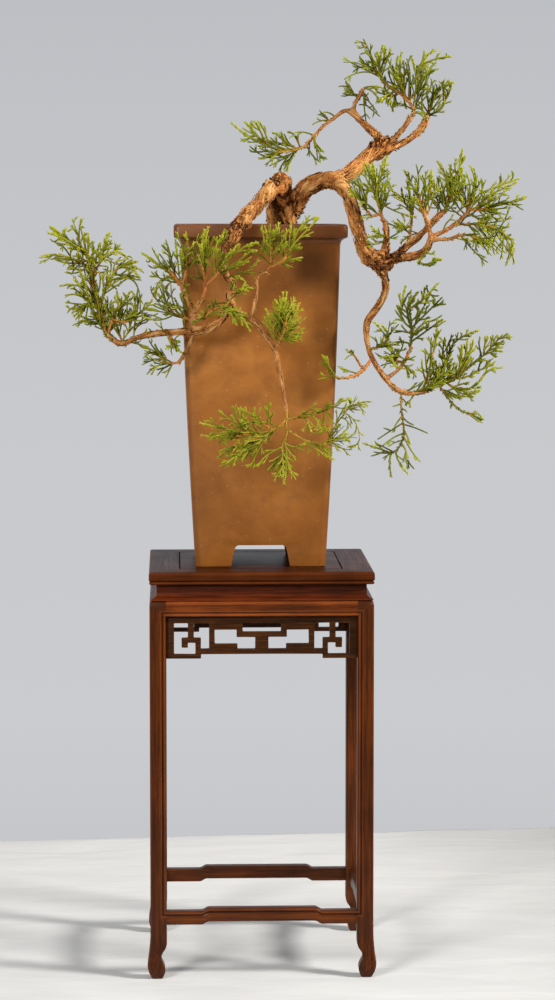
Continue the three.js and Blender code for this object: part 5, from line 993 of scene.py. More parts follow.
# Shoots that the photograph shows, by bunch: start, middle and end, in its pixels
TRACES = {
    "apex_crown": [
        (378, 73, 371, 55, 363.3, 38.8), (365, 45, 361, 42, 356.8, 42.3), (364, 47, 361, 48, 357.5, 47.3),
        (376, 70, 370, 55, 360, 54.5), (375, 69, 363, 63, 359.8, 55.5), (378, 73, 360, 64, 343.4, 62),
        (375, 71, 366, 66, 360, 61.5), (377, 74, 364, 67, 352.8, 72.5), (379, 76, 362, 72, 344, 79.5),
        (380, 76, 380, 60, 382.5, 46), (381, 74, 384, 58, 385, 47), (380, 75, 378, 63, 375.8, 54),
        (383, 68, 387, 57, 394, 54), (388, 58, 390, 55, 390.5, 51.5), (382, 77, 385, 66, 388, 58),
        (378, 73, 374, 66, 371, 61), (381, 90, 385, 94, 386.5, 98), (376, 89, 383, 91, 389, 93),
        (390, 87, 386, 98, 392, 103), (394, 90, 391, 97, 389, 104), (386, 99, 392, 105, 401, 103),
        (399, 95, 394, 99, 397, 105), (404, 99, 404.5, 105, 407, 109), (396, 92, 387, 95, 381, 101),
        (386, 83, 384, 90, 385, 96), (405, 98, 397, 76, 398, 56.5), (398, 80, 394, 72, 389, 66.5),
        (406, 99, 400, 74, 401.7, 53), (409, 101, 409, 78, 405, 62), (411, 103, 410, 75, 406.7, 58.5),
        (414, 107, 416, 80, 411.5, 58.5), (418, 109, 418, 86, 414.2, 66), (397, 93, 391, 80, 388, 71),
        (392, 88, 386, 83, 385, 75), (400, 94, 395, 84, 393, 72), (403, 97, 402, 84, 400, 72),
        (390, 86, 383, 78, 380, 72), (418, 106, 422, 83, 433.5, 69.7), (419, 104, 426, 82, 425, 68),
        (421, 109, 429, 92, 431, 78), (415, 79, 422, 62, 434, 50.5), (430, 55, 431.5, 52, 433, 48.7),
        (431, 53, 434, 51, 436.5, 51), (421, 66, 436, 59, 450, 56.7), (440, 60, 445, 58, 446.5, 54.5),
        (416, 112, 408, 107, 401, 104), (413.5, 113, 420, 114, 425, 119),
    ],
    "apex_right": [
        (428, 115, 433, 101, 434, 88), (428, 116, 442, 106, 447.5, 92), (445, 98, 450, 89, 447.8, 80),
        (441, 101, 445, 88, 454, 82.5), (431, 109, 435, 96, 439, 87), (427, 112, 422, 101, 425, 90),
        (429, 114, 439, 111, 445, 102), (437, 100, 437, 92, 441, 86), (441, 96, 443, 88, 442, 81),
        (428, 117, 421, 108, 416, 103), (427, 120, 424, 114, 419, 112), (424, 113, 419, 108, 413, 110),
        (430, 118, 434, 112, 433, 106),
    ],
    "fork_sprig": [
        (363.5, 88, 374, 86.5, 384, 88.5), (364, 88.5, 373, 92, 380, 102), (372, 91, 377, 97, 378, 101),
        (357, 98, 350, 90, 346, 82), (348, 87.5, 343, 86, 338.5, 86.5), (354, 97, 348, 95, 342.5, 93.5),
        (364, 93, 364.5, 109, 366.5, 123.5), (364.5, 104, 371, 109, 380, 116.5),
        (364.5, 105, 361.5, 104.5, 358.7, 105), (364.8, 114, 363.5, 116, 361.5, 117),
        (365, 97, 367, 95, 368.5, 92.5),
    ],
    "pad_outer": [
        (300, 150, 273, 158, 249.7, 146), (302, 147, 268, 146, 231.3, 122.8),
        (262, 141, 252, 129, 245.8, 122.8), (266, 142.5, 260, 130, 254.5, 121.8),
        (270, 143.5, 264, 130, 258.5, 122), (254, 135.5, 248, 139, 242, 140),
        (286, 146, 279, 136, 272, 132), (280, 147, 274, 141, 270, 137.5),
        (281, 153, 271, 156, 259.3, 158.5), (292, 152, 281, 160, 269, 166),
        (291, 154, 284, 162, 278.8, 171), (296, 152.5, 290, 162, 284.5, 172),
        (300, 144, 294, 135, 287.5, 131.5), (303, 141, 296, 136, 289, 138),
        (264, 151, 256, 152, 250, 151), (309, 147, 314, 157, 321, 162),
    ],
    "pad_hanging": [
        (311, 133.5, 303, 132, 294, 133), (311.5, 136, 318, 149, 320.5, 161),
        (310, 142, 309, 150, 306.7, 156), (316.5, 156.5, 321, 158, 326.5, 157),
        (316, 145, 320, 148, 322, 152),
    ],
    "twig_sprig": [
        (328, 121, 320, 121, 312, 125), (334, 115, 328, 112.5, 322, 113),
    ],
    "arch_up": [
        (380, 216, 366, 202, 357.7, 177.5), (377, 203, 372, 182, 369, 164.8),
        (374, 192, 366, 178, 364.8, 164.8), (381, 190, 381, 168, 387, 157.5),
        (380, 180, 383, 173, 387.7, 169), (360, 188, 354, 182, 349, 179.5),
        (366, 206, 357, 198, 349.5, 188), (372, 218, 366, 215, 361, 217.5),
        (383, 212, 388, 195, 389, 180), (384, 213, 384, 200, 386, 188), (379, 216, 370, 206, 360, 201),
        (380, 205, 373, 190, 373, 176), (376, 196, 368, 187, 361, 184), (381, 200, 379, 186, 380, 174),
        (384, 215, 378, 202, 377, 190), (390, 221, 399, 227, 408, 228), (385, 206, 400, 213, 415, 217),
    ],
    "arch_sprig": [
        (384, 235, 377, 233, 371, 226), (384, 239, 376, 244, 367, 240.5),
        (376, 241.5, 372, 238, 369, 237.5), (384, 240, 396, 234, 407, 226),
    ],
    "fan_left": [
        (402, 202, 391, 190, 379, 180), (415, 214, 405, 202, 401.5, 187.5),
        (413, 225, 411, 204, 409, 184), (418, 228, 409, 236, 401, 243), (416, 227, 404, 226, 393, 221),
    ],
    "fan_mid": [
        (428, 200, 424, 186, 428, 170), (432, 212, 440, 200, 444, 188), (427, 229, 421, 205, 415, 181),
        (417, 192, 418.5, 178, 416, 164), (419, 204, 411, 183, 404.7, 171),
        (415, 190, 410, 180, 408.5, 172), (421, 206, 425, 188, 425.5, 171),
        (428, 214, 430, 188, 431, 171.5), (430, 216, 434, 195, 433.5, 179),
        (424, 215, 413, 205, 407, 197), (423, 211, 429, 200, 427, 190),
    ],
    "crown": [
        (446, 205, 440, 190, 437, 176), (450, 200, 447, 185, 441, 163), (452, 200, 455, 186, 449, 170),
        (455, 205, 462, 190, 459, 170), (440, 210, 436, 196, 432, 180), (436, 206, 430, 192, 433, 176),
        (450, 210, 446, 200, 450, 188), (444, 214, 452, 206, 458, 196),
        (450, 197, 446, 177, 437.6, 161.8), (453, 200, 451, 178, 451, 163.8),
        (455, 204, 458, 172, 462.5, 149.5), (460, 166, 463.5, 161, 465.5, 156),
        (458, 177, 455, 168, 456, 159), (447, 209, 440, 200, 437.5, 188), (449, 206, 452, 196, 450, 184),
        (445, 212, 436, 206, 432, 200),
    ],
    "crown_right": [
        (462, 205, 458, 192, 466, 178), (468, 205, 470, 190, 466, 172), (470, 200, 476, 186, 474, 168),
        (474, 202, 482, 190, 481, 178), (458, 210, 452, 196, 456, 182), (465, 212, 474, 204, 480, 192),
        (478, 208, 484, 216, 492, 222), (480, 200, 490, 206, 500, 214), (470, 207, 475, 186, 470.5, 166),
        (474, 191, 479, 185, 481, 179), (466, 206, 463, 190, 465, 176), (480, 194, 498, 186, 519, 178.5),
        (500, 187.5, 501, 180, 501, 173), (507, 184.5, 512, 179, 513.5, 172.5),
        (490, 209, 500, 196, 508.5, 189), (497, 207.5, 512, 202, 526, 197),
        (512, 205, 518, 207, 523.5, 210), (515, 202.5, 520, 200, 523, 196),
        (484, 215, 490, 203, 492, 190), (476, 209, 486, 198, 496, 196), (468, 213, 478, 218, 487, 216),
        (466, 209, 458, 198, 452, 190), (462, 217, 453, 210, 446, 204), (470, 215, 480, 206, 484, 196),
        (474, 204, 481, 196, 482, 188), (455, 215, 462, 206, 461, 196),
    ],
    "far_low": [
        (470, 218, 480, 224, 486, 232), (462, 222, 472, 228, 476, 238), (482, 226, 496, 229, 510, 226.5),
        (500, 229, 509, 243, 514, 263), (502, 232, 503, 247, 500, 260), (508, 244, 509, 255, 506, 264),
        (505, 237, 512, 241, 513.5, 248), (498, 232, 493, 243, 495, 255), (460, 223, 470, 215, 480, 222),
        (478, 223, 488, 217, 499, 220), (486, 223, 493, 215, 501, 213), (499, 227, 506, 217, 510, 206),
        (440, 227, 450, 220, 459, 225), (489, 224, 498, 232, 501, 240), (470, 228, 478, 232, 480, 240),
    ],
    "far_under": [
        (470, 231, 483, 240, 489, 251), (462, 238, 475, 252, 488, 262.5), (456, 240, 470, 241, 484, 241),
        (480, 238, 488, 238, 495, 233), (478, 240, 476, 246, 478, 252),
    ],
    "under_sprig": [
        (418.5, 262, 430, 265.5, 438.7, 258), (427, 251, 431, 254, 434.7, 251),
        (428, 264, 432, 262, 433, 257.5), (423, 257, 420, 259, 417, 263),
    ],
    "rise": [
        (409, 328, 403.5, 321.5, 395, 310), (408, 314, 402, 309, 396.5, 305),
        (402, 320, 401.5, 306, 405.5, 286.5), (402, 306, 406, 298, 408.5, 293),
        (410.5, 326, 407.5, 312, 411, 296), (410, 308, 412, 300, 417.5, 292.5),
        (412, 308, 421, 301.5, 438, 283), (429, 293, 427, 289, 426.5, 285),
        (430, 294, 434.5, 296, 439, 295.5), (433, 289.5, 435.5, 290, 438, 291),
        (422.5, 300.5, 424, 293, 424.5, 287), (412, 328, 424, 315.5, 442.5, 297),
        (436.5, 304.5, 441, 304.5, 446, 304), (434, 307, 434, 303, 433, 299),
        (411, 322, 418, 315, 424.5, 305.5), (424, 306, 427, 300, 430, 295),
        (426, 302, 430.5, 301, 435.5, 301), (412, 337, 421, 325.5, 431.5, 320.5),
        (428, 322, 435, 319.5, 442, 315), (411.5, 342.5, 425, 332, 443, 319),
        (417.5, 316, 418, 309, 417, 305), (411, 334, 403.5, 331.5, 395, 330.5),
        (410.5, 343.5, 402, 342, 393, 342.5), (436.5, 332, 439, 325, 443, 320),
    ],
    "inner_low": [
        (404, 374, 396, 366, 392, 356), (408, 368, 414, 372, 416, 378), (409, 362, 396, 356, 380, 358),
    ],
    "hanging": [
        (404, 391, 415, 387, 425, 380), (398, 389, 395, 387, 393, 391),
        (402, 416, 397.5, 422, 394, 427.5), (402.5, 422.5, 392, 430, 377.5, 439.5),
        (391, 430, 388, 429.5, 383.5, 428), (402, 433, 393, 438, 384, 445),
        (385, 445, 379.5, 445.5, 375, 441), (401, 439.5, 395, 442.5, 388.5, 446.5),
        (393.5, 451, 384, 447, 376, 443.5), (389, 453, 379, 448.5, 363.5, 443.5),
        (385, 452.5, 378, 454, 371, 456), (388, 453, 381, 453, 373.5, 452),
        (394.5, 451, 390, 458, 391, 477), (397, 450.5, 398.5, 461, 408, 474),
        (401.5, 443.5, 406.5, 453.5, 407, 468), (406.5, 458, 410, 464, 414.5, 469),
        (403.5, 435.5, 410.5, 449.5, 420.5, 462), (404, 430, 407.5, 437, 410.5, 445),
        (402.5, 416.5, 407, 421.5, 414, 425), (404, 424, 414, 427.5, 428, 433.5),
        (402, 404, 397.5, 405, 392.5, 406.5), (402, 398, 404.5, 400.5, 406.5, 404.5),
        (403, 408.5, 405, 410, 407, 412.5),
    ],
    "low_left": [
        (412, 392, 424, 388, 436, 381), (414, 394, 410.5, 400, 406, 405), (428, 378, 426, 362, 425, 348),
        (431, 366, 431, 350, 431.5, 337), (434, 356, 436, 340, 437, 320),
        (427, 382, 423, 371, 421.5, 361), (418, 391, 434, 385, 448, 372),
    ],
    "low_mid": [
        (428, 391, 437, 380, 440, 366), (426, 391, 430, 378, 436, 362), (441.5, 371, 445, 362, 448, 354),
        (446, 362, 450, 349, 456, 341.5), (455, 343, 464, 336, 479, 330.5),
        (443.5, 366, 443, 350, 445, 337), (447.5, 357, 448, 345, 453.5, 335),
    ],
    "low_right": [
        (434, 390, 442, 377, 446, 361), (440, 387, 450, 377, 458, 363), (446, 386, 458, 377, 467, 368),
        (450, 389, 462, 391, 479, 391), (448, 390, 460, 396, 470, 396), (442, 389, 452, 393, 462, 399),
        (436, 388, 434, 374, 431, 360), (444, 384, 444, 368, 442, 352), (452, 382, 462, 366, 466, 350),
        (432, 391, 440, 384, 452, 376), (458.5, 375, 461, 358, 462, 345),
        (460, 373, 465.5, 355, 467, 342), (462, 372, 470, 353, 473, 341),
        (462.5, 371, 474, 362, 485, 354.5), (484, 355, 493, 351.5, 501.5, 351.5),
        (483, 355, 485, 344, 488, 337), (481, 357, 479.5, 347, 479, 340),
        (484.5, 354, 493, 345, 503, 334.5), (499, 338.5, 505, 337.5, 510.5, 337),
        (493, 345.5, 494.5, 340, 497, 335), (491, 347.5, 498, 343.5, 505, 342),
        (488, 351.5, 495, 348, 502.5, 347.5), (490, 352.5, 493, 355.5, 495.5, 357.5),
        (462, 377.5, 472, 374.5, 479, 370), (478, 370.5, 480, 364, 481.5, 359),
        (478.5, 370, 487, 367, 496, 361), (487, 367, 487, 363.5, 487, 360),
        (462, 389, 472, 387, 483, 377), (482, 378, 489, 370.5, 501.5, 367.5),
        (448, 384, 458, 391.5, 466, 394.5), (463, 393.5, 471, 394, 479.5, 390.5),
        (455, 387, 462, 384, 470, 382), (440, 387, 450, 395.5, 460, 395.5),
        (455, 377, 449, 370, 446, 360), (469, 414, 477, 417, 484, 419.5),
        (468, 413.5, 475, 418.5, 478.5, 422), (466, 412.5, 474, 414, 480, 413.5),
        (451, 401, 452, 405, 450, 408), (446, 382, 438, 372, 436, 360), (452, 379, 450, 368, 452, 358),
    ],
    "left_top": [
        (90, 270, 88, 258, 84, 247), (89, 268, 81, 262, 76, 253), (90, 266, 93, 254, 91, 246),
        (88, 262, 80, 256, 77, 247), (86, 258, 80, 250, 74, 246), (89, 264, 82, 270, 74, 268),
        (82, 253, 66, 240, 48.5, 233), (63, 238, 57, 231, 51, 227.5), (60, 238, 55, 241.5, 50, 239),
        (69, 242, 62, 244, 57, 243), (75, 245, 66, 236, 63, 230), (79, 242, 75.5, 228, 72, 218.5),
        (79, 240, 79.5, 229, 82, 219), (77, 234, 73, 229, 70, 231), (80, 246, 82, 238, 87, 234),
        (68, 258.5, 55, 255, 41, 257.5), (53, 256, 48, 259, 44, 262.5), (80, 262, 68, 263, 55, 259.5),
        (73, 262, 66, 250, 59, 244), (83, 264, 75, 264, 67, 268.5), (84, 270, 75, 273, 66, 272.5),
        (82, 268, 74, 268, 68, 264), (84, 256, 77, 250, 68, 248), (86, 262, 78, 257, 72, 256),
        (87, 254, 88, 243, 88, 237), (92, 256, 93, 248, 93, 242),
    ],
    "left_inner": [
        (93, 288, 91, 274, 88, 258), (91, 280, 84, 266, 80, 254), (92, 276, 96, 262, 96, 250),
        (91, 274, 84, 276, 78, 270), (99, 258, 104, 244, 109, 233.5), (106, 240, 109, 236, 112, 237),
        (97, 258, 105, 248, 113, 243), (101, 257, 112, 254, 120.5, 244),
        (112, 253.5, 116, 249, 118, 244.5), (101, 259, 113, 252, 127, 256.5),
        (116, 256, 124, 255.5, 128.5, 260), (97, 273, 106, 274, 110.5, 282),
        (100, 260, 110, 262, 110, 275),
    ],
    "left_mid": [
        (99, 315, 90, 300, 86, 283), (98, 309, 93, 293, 92, 279), (98, 312, 103, 300, 104, 288),
        (96, 320, 88, 319, 80, 314.5), (95, 309, 86, 298, 78, 296), (98, 316, 90, 306, 83, 304),
        (103, 297, 109, 282, 117, 268), (115, 271, 128, 265, 143, 272), (118, 269, 129, 268.5, 140, 278),
        (121, 266.5, 130, 263, 137, 262), (114, 276, 125, 275, 138, 277),
        (117, 268, 124, 264, 133, 259.5), (113, 274, 115, 264, 121, 257), (110, 283, 118, 278, 127, 279),
        (124, 278.5, 137, 286, 140, 312), (111, 285, 116, 286, 121, 282), (105, 292, 103, 282, 104, 275),
    ],
    "left_out": [
        (95, 302, 87, 288, 81, 275), (96, 298, 100, 284, 99, 271), (92, 290, 86, 276, 84, 263),
        (85, 291, 74, 285, 60.5, 286), (92, 302, 82, 289, 73.5, 276.5), (88, 300.5, 75, 294.5, 65, 297.5),
        (84, 297, 76, 290, 70, 289), (89, 306, 77, 304, 65, 302.5), (76, 304, 72, 309, 67, 306),
        (92, 311, 82, 307, 71.5, 313.5), (90, 314, 80, 311, 73.5, 316.5),
    ],
    "left_low": [
        (106, 333, 98, 322, 92, 304), (104, 331, 94, 316, 88, 299), (102, 325, 99, 308, 95, 292),
        (105, 330, 108, 316, 104, 303), (108, 334, 114, 320, 113, 307), (101, 320, 107, 308, 107, 296),
        (113, 332, 119, 318, 120, 306), (122, 332, 127, 320, 127, 309), (130, 334, 135, 322, 136, 311),
        (134, 339, 143, 335, 150, 337), (120, 340, 128, 332, 130, 322), (99, 323, 92, 324, 84, 320),
        (104, 328, 90, 321, 72.5, 325.5), (119, 326, 118, 305, 117, 292),
        (125, 324, 122, 308, 121.5, 297), (132, 322, 135, 303, 131.5, 292),
        (135, 320, 138, 305, 137, 298), (127, 323, 127, 308, 128, 298), (140, 316, 146, 307, 152, 300),
        (139, 318, 148, 315, 157, 317.5), (140, 314, 148, 309, 158, 311), (137, 324, 144, 323, 148, 320),
        (113, 326, 108, 311, 105, 299), (116, 324, 110, 309, 112, 300), (121, 322, 115, 312, 113, 304),
        (128, 327, 134, 313, 137, 304), (124, 327, 118, 315, 109, 309), (130, 329, 140, 322, 144, 314),
        (119, 338, 112, 325, 103, 316), (122, 339, 118, 328, 116, 318), (107, 333, 101, 322, 100, 311),
        (101, 321, 97, 309, 98, 300), (128, 341, 138, 344, 149, 347),
    ],
    "rim_left": [
        (183, 287, 163, 268, 142.5, 253.5), (152, 260, 148, 262, 146, 260),
        (172, 276, 160, 262, 152, 247), (178, 273, 171, 257, 165.7, 239.5),
        (169, 254, 164, 248, 161.3, 244.6), (160, 266, 154, 268, 148, 265),
        (183, 283, 172, 268, 162, 266), (191, 265, 183, 248, 175.3, 234.3),
        (191, 282, 188, 256, 185.6, 230.8), (187, 280, 181, 262, 180, 249),
        (190, 290, 186, 270, 183, 255), (171, 291, 160, 278, 151.5, 271.5),
        (163, 281, 157, 276, 157, 270), (172, 278, 160, 281, 153.5, 297), (182, 281, 170, 283, 163, 292),
        (170, 284, 166, 290, 168, 297), (186, 306, 183, 298, 186, 290), (192, 300, 187, 290, 181, 284),
    ],
    "rim_right": [
        (199, 285, 204, 255, 208, 227.5), (200, 280, 202, 250, 204.6, 231),
        (200, 262, 197, 246, 198.7, 233.5), (196, 268, 193, 254, 194, 243),
        (205, 262, 210, 247, 214, 236), (208, 262, 216, 246, 224.5, 230.8),
        (221, 244, 225, 238, 228.5, 234.5), (219, 248, 221, 241, 219.5, 236),
        (222, 272, 240, 250, 257.5, 243.2), (240, 255, 248, 251, 256.6, 250.5),
        (221, 281, 243, 274, 258.4, 260.3), (231, 259, 234, 250, 238.4, 244.7),
        (224, 279.5, 235, 276, 244.5, 281), (213, 272, 212, 258, 213, 247),
        (221, 281, 227, 268, 229.5, 258), (196, 282, 195, 262, 197, 251), (205, 282, 206, 264, 207, 249),
    ],
    "wiggle_sprig": [
        (232, 299, 236, 300, 240, 297),
    ],
    "bough_left": [
        (183, 319, 169, 313, 157, 300), (157.5, 300.5, 152, 293, 151, 286),
        (156, 298, 157, 289, 163, 284), (158, 301, 163, 294, 168, 288), (180, 308, 163, 312, 144, 309.5),
        (172, 317, 158, 320, 143, 316.5), (188, 313, 183, 303, 180, 293), (187, 319, 181, 310, 175, 305),
        (188, 331, 184, 326, 183, 318),
    ],
    "bough_low": [
        (169, 337, 163, 330, 161, 321), (175, 347, 171, 348, 168, 345), (178, 350, 177, 344, 174, 341),
    ],
    "bough_top": [
        (228, 303, 240, 291, 252.3, 288.8), (201, 318, 207, 308, 217, 306.5),
        (213, 307.5, 222, 303, 231, 305), (216, 307, 235, 311, 250, 331),
        (223, 309, 234, 316, 241, 325.5), (206, 312, 208, 316, 213, 315),
    ],
    "drop_left": [
        (148, 338, 151, 332, 148.5, 328.5), (144, 339, 150, 334, 156, 332.5),
        (183, 353, 174, 347, 168.5, 337), (172, 364, 160, 359, 141.7, 365),
        (168, 362, 156, 367, 146.6, 374.6), (170, 365, 163, 369, 157.5, 375.5),
        (172, 366, 169, 371, 165.6, 378), (166, 359, 155, 353, 144, 353.8),
        (162, 357, 152, 350, 141.5, 345.5), (160, 353, 153, 347, 149, 340),
        (163, 356, 158, 350, 155, 343.5), (167, 358, 163, 353, 160.5, 348.5),
        (158, 353, 150, 353, 143, 358.5),
    ],
    "front_top": [
        (267, 262, 265, 243, 262, 224.5), (268, 258, 270, 240, 270, 224),
        (270, 256, 275, 240, 275.8, 224), (272, 258, 278, 242, 278.7, 226.5),
        (274, 258, 292, 240, 309.6, 215.5), (302, 227, 311, 219.5, 318.5, 218.5),
        (285, 255, 294, 250, 299.5, 243), (280, 261, 290, 261, 299.5, 258),
        (272, 262, 281, 264, 287, 266), (276, 251, 283, 240, 287, 231), (271, 254, 264, 246, 264, 238),
        (275, 254, 283, 248, 287, 243), (265, 263, 262, 255, 262, 248), (272, 250, 268, 240, 267, 232),
    ],
    "front_mid": [
        (277, 348, 282, 325, 283, 292), (280, 342, 290, 318, 290.5, 297), (282, 338, 293, 318, 299, 304),
        (284, 336, 294, 328, 302, 320), (284, 338, 293, 336, 302.5, 333), (278, 344, 273, 328, 266, 309),
        (278, 342, 270, 330, 264.5, 318), (282, 335, 280, 315, 277, 300), (284, 332, 287, 315, 287, 302),
        (282, 336, 276, 325, 272, 312), (285, 334, 291, 322, 295, 312), (280, 342, 288, 340, 296, 341),
        (284, 326, 281, 310, 279.5, 296), (285, 322, 289, 310, 294, 301), (283, 330, 277, 320, 270, 316),
    ],
    "front_low": [
        (279, 424.5, 271, 424, 263, 420.5), (272, 424, 269.5, 415, 268.5, 403.5),
        (275, 432, 245, 432, 200, 423), (225, 430, 215, 424, 207, 420), (262, 434, 235, 438, 201, 435),
        (226, 437, 216, 433, 208, 437), (250, 430, 233, 421, 218, 411), (245, 430, 236, 418, 236, 404),
        (243, 426, 242, 415, 241, 408), (255, 432, 247, 422, 249, 413), (258, 430, 253, 424, 254, 417),
        (264, 430, 258, 424, 258.5, 418.5), (270, 436, 258, 440, 244, 441),
        (265, 440, 240, 446, 217, 459), (240, 448, 228, 448, 218, 452), (268, 442, 243, 455, 219, 466),
        (245, 454, 234, 458, 225, 468.5), (272, 443, 256, 455, 250.5, 467),
        (276, 446, 266, 456, 258, 467), (262, 446, 250, 449, 239, 452), (240, 432, 228, 436, 217, 444),
        (281, 447, 283, 463, 284, 484), (283, 458, 279, 470, 275, 480), (283.5, 460, 290, 470, 296, 480),
        (281, 454, 275, 462, 271, 470), (285, 443, 296, 447, 306, 442), (278, 430, 268, 436, 261, 441),
        (272, 430, 264, 436, 254, 436), (328, 441, 334, 428, 346, 411), (345, 412, 350, 405, 350, 399.5),
        (344, 412.5, 356, 404, 371.5, 401.5), (356, 405.5, 361, 408, 365.5, 413),
        (351, 408, 357, 405.5, 362, 405), (340, 418, 346, 420, 352, 428.5),
        (346, 414, 355, 422, 359.5, 437), (359.5, 437, 357, 444, 349, 447.5),
        (334, 447, 343, 448.5, 352.5, 449), (333, 440, 340, 436.5, 347.5, 434),
        (303, 437, 319, 451, 333.5, 459.5), (310, 441, 322, 447, 330, 456),
        (318, 446, 325, 448, 331, 452), (292, 417, 306, 415, 333, 407),
        (300, 415.5, 310, 410, 319, 409.5), (318, 410.5, 326, 408, 331.5, 402.5),
        (306, 418, 309, 425, 312, 433), (308, 423, 304.5, 427, 303.5, 432),
        (311, 416, 318, 423, 320, 431), (323, 411, 324, 423, 319, 434), (326, 410, 332, 420, 328, 432),
        (314, 437, 321, 433, 326, 427), (336, 412, 338, 405, 343, 400), (334, 425, 341, 413, 347, 404),
    ],
}

# Tips that end in a thick young plume
PLUMES = [
    (479, 330.5), (501.5, 367.5), (479.5, 390.5), (462, 345), (467, 342), (473, 341), (488, 337),
    (510.5, 337), (437, 320), (411, 296), (417.5, 292.5), (405.5, 286.5), (363.5, 443.5), (391, 477),
    (408, 474), (407, 468), (438, 283), (52, 229), (48.5, 233), (73.5, 276.5), (140, 278), (258.5, 122),
    (454, 82.5), (384, 88.5), (380, 102), (346, 82), (470.5, 166), (519, 178.5), (506, 264),
    (309.6, 215.5), (333.5, 459.5), (201, 435), (208, 227.5), (204.6, 231), (82, 219.5), (42, 257),
    (61.5, 287), (142.5, 271), (117, 291), (131, 292), (383, 46), (402.5, 53), (434, 48.5), (450.5, 57.5),
    (447.5, 79.5), (232, 123.5), (246.5, 124.5), (256, 121.5), (464.5, 150), (528, 197), (515.5, 263),
    (372, 163.5), (386.5, 156), (319, 218), (279, 223), (285.5, 292), (299.5, 304), (372.5, 401),
    (349.5, 399), (258, 261), (257, 243), (199.5, 423),
]
PLUME_NEAR = 2.5

# Limbs clothed in scale leaves: share of the length where they start, age at the start and at the end, size,
# and number at each step
CLOTHING = [
    ("left_bough", 0.62, 0.06, 0.4, 2.2, 1.2), ("left_rise", 0.06, 0.52, 0.1, 3.0, 4.6),
    ("front_riser", 0.5, 0.04, 0.14, 1.6, 1.0), ("bough_riser", 0.2, 0.04, 0.2, 2.4, 2.6),
    ("bough_fork", 0.2, 0.04, 0.2, 2.4, 2.6), ("bough_hanger", 0.4, 0.04, 0.16, 1.8, 1.2),
    ("pad_twig", 0.3, 0.04, 0.16, 1.7, 1.0), ("apex_left_twig", 0.2, 0.04, 0.16, 1.7, 1.0),
    ("upper_right", 0.5, 0.02, 0.5, 2.5, 2.4), ("apex_twig", 0.7, 0.06, 0.4, 2.4, 2.0),
    ("arch_riser", 0.3, 0.03, 0.12, 2.0, 1.6), ("mass_bough", 0.75, 0.03, 0.1, 1.8, 1.4),
    ("fan_twig", 0.3, 0.03, 0.16, 1.8, 1.6), ("crown_twig", 0.3, 0.03, 0.14, 1.8, 1.6),
    ("far_twig", 0.2, 0.03, 0.16, 1.8, 1.6), ("cascade", 0.74, 0.04, 0.36, 2.2, 1.8),
    ("cascade_riser", 0.4, 0.06, 0.32, 2.0, 1.6),
]


def leaf_material():
    leaf = Shader("scale_leaf", Roughness=0.55, Specular_IOR_Level=0.14, Subsurface_Weight=0.2,
                  Subsurface_Scale=0.002, Subsurface_Radius=(0.7, 1.0, 0.2))
    tone = leaf.attribute("tone", "Fac")
    scales = leaf.noise(leaf.position(), 700.0, 2.0, 0.5)
    shade = leaf.maths("ADD", leaf.attribute("age", "Fac"), leaf.level(scales, 0.3, 0.7, -0.06, 0.06))
    colour = leaf.ramp(shade, [
        (0.0, (166, 106, 58)), (0.14, (194, 122, 62)), (0.24, (138, 113, 26)), (0.34, (92, 96, 13)),
        (0.55, (118, 122, 20)), (0.75, (140, 146, 28)), (0.92, (164, 168, 46)), (1.0, (184, 186, 66)),
    ])
    # Low tones darken towards a cool deep green and high tones lighten towards a warm yellow-green: partly
    # the shoots' own colour, partly painted shade and light
    cool_and_shaded = leaf.mix(0.6, colour, srgb(42, 56, 18))
    warm_and_lit = leaf.mix(0.34, colour, srgb(176, 170, 56))
    colour = leaf.mix(leaf.level(tone, 0.0, 0.45, 1.0, 0.0), colour, cool_and_shaded)
    colour = leaf.mix(leaf.level(tone, 0.6, 1.0), colour, warm_and_lit)
    leaf.bump(scales, 0.0002, 0.5)
    return leaf.finish(colour)


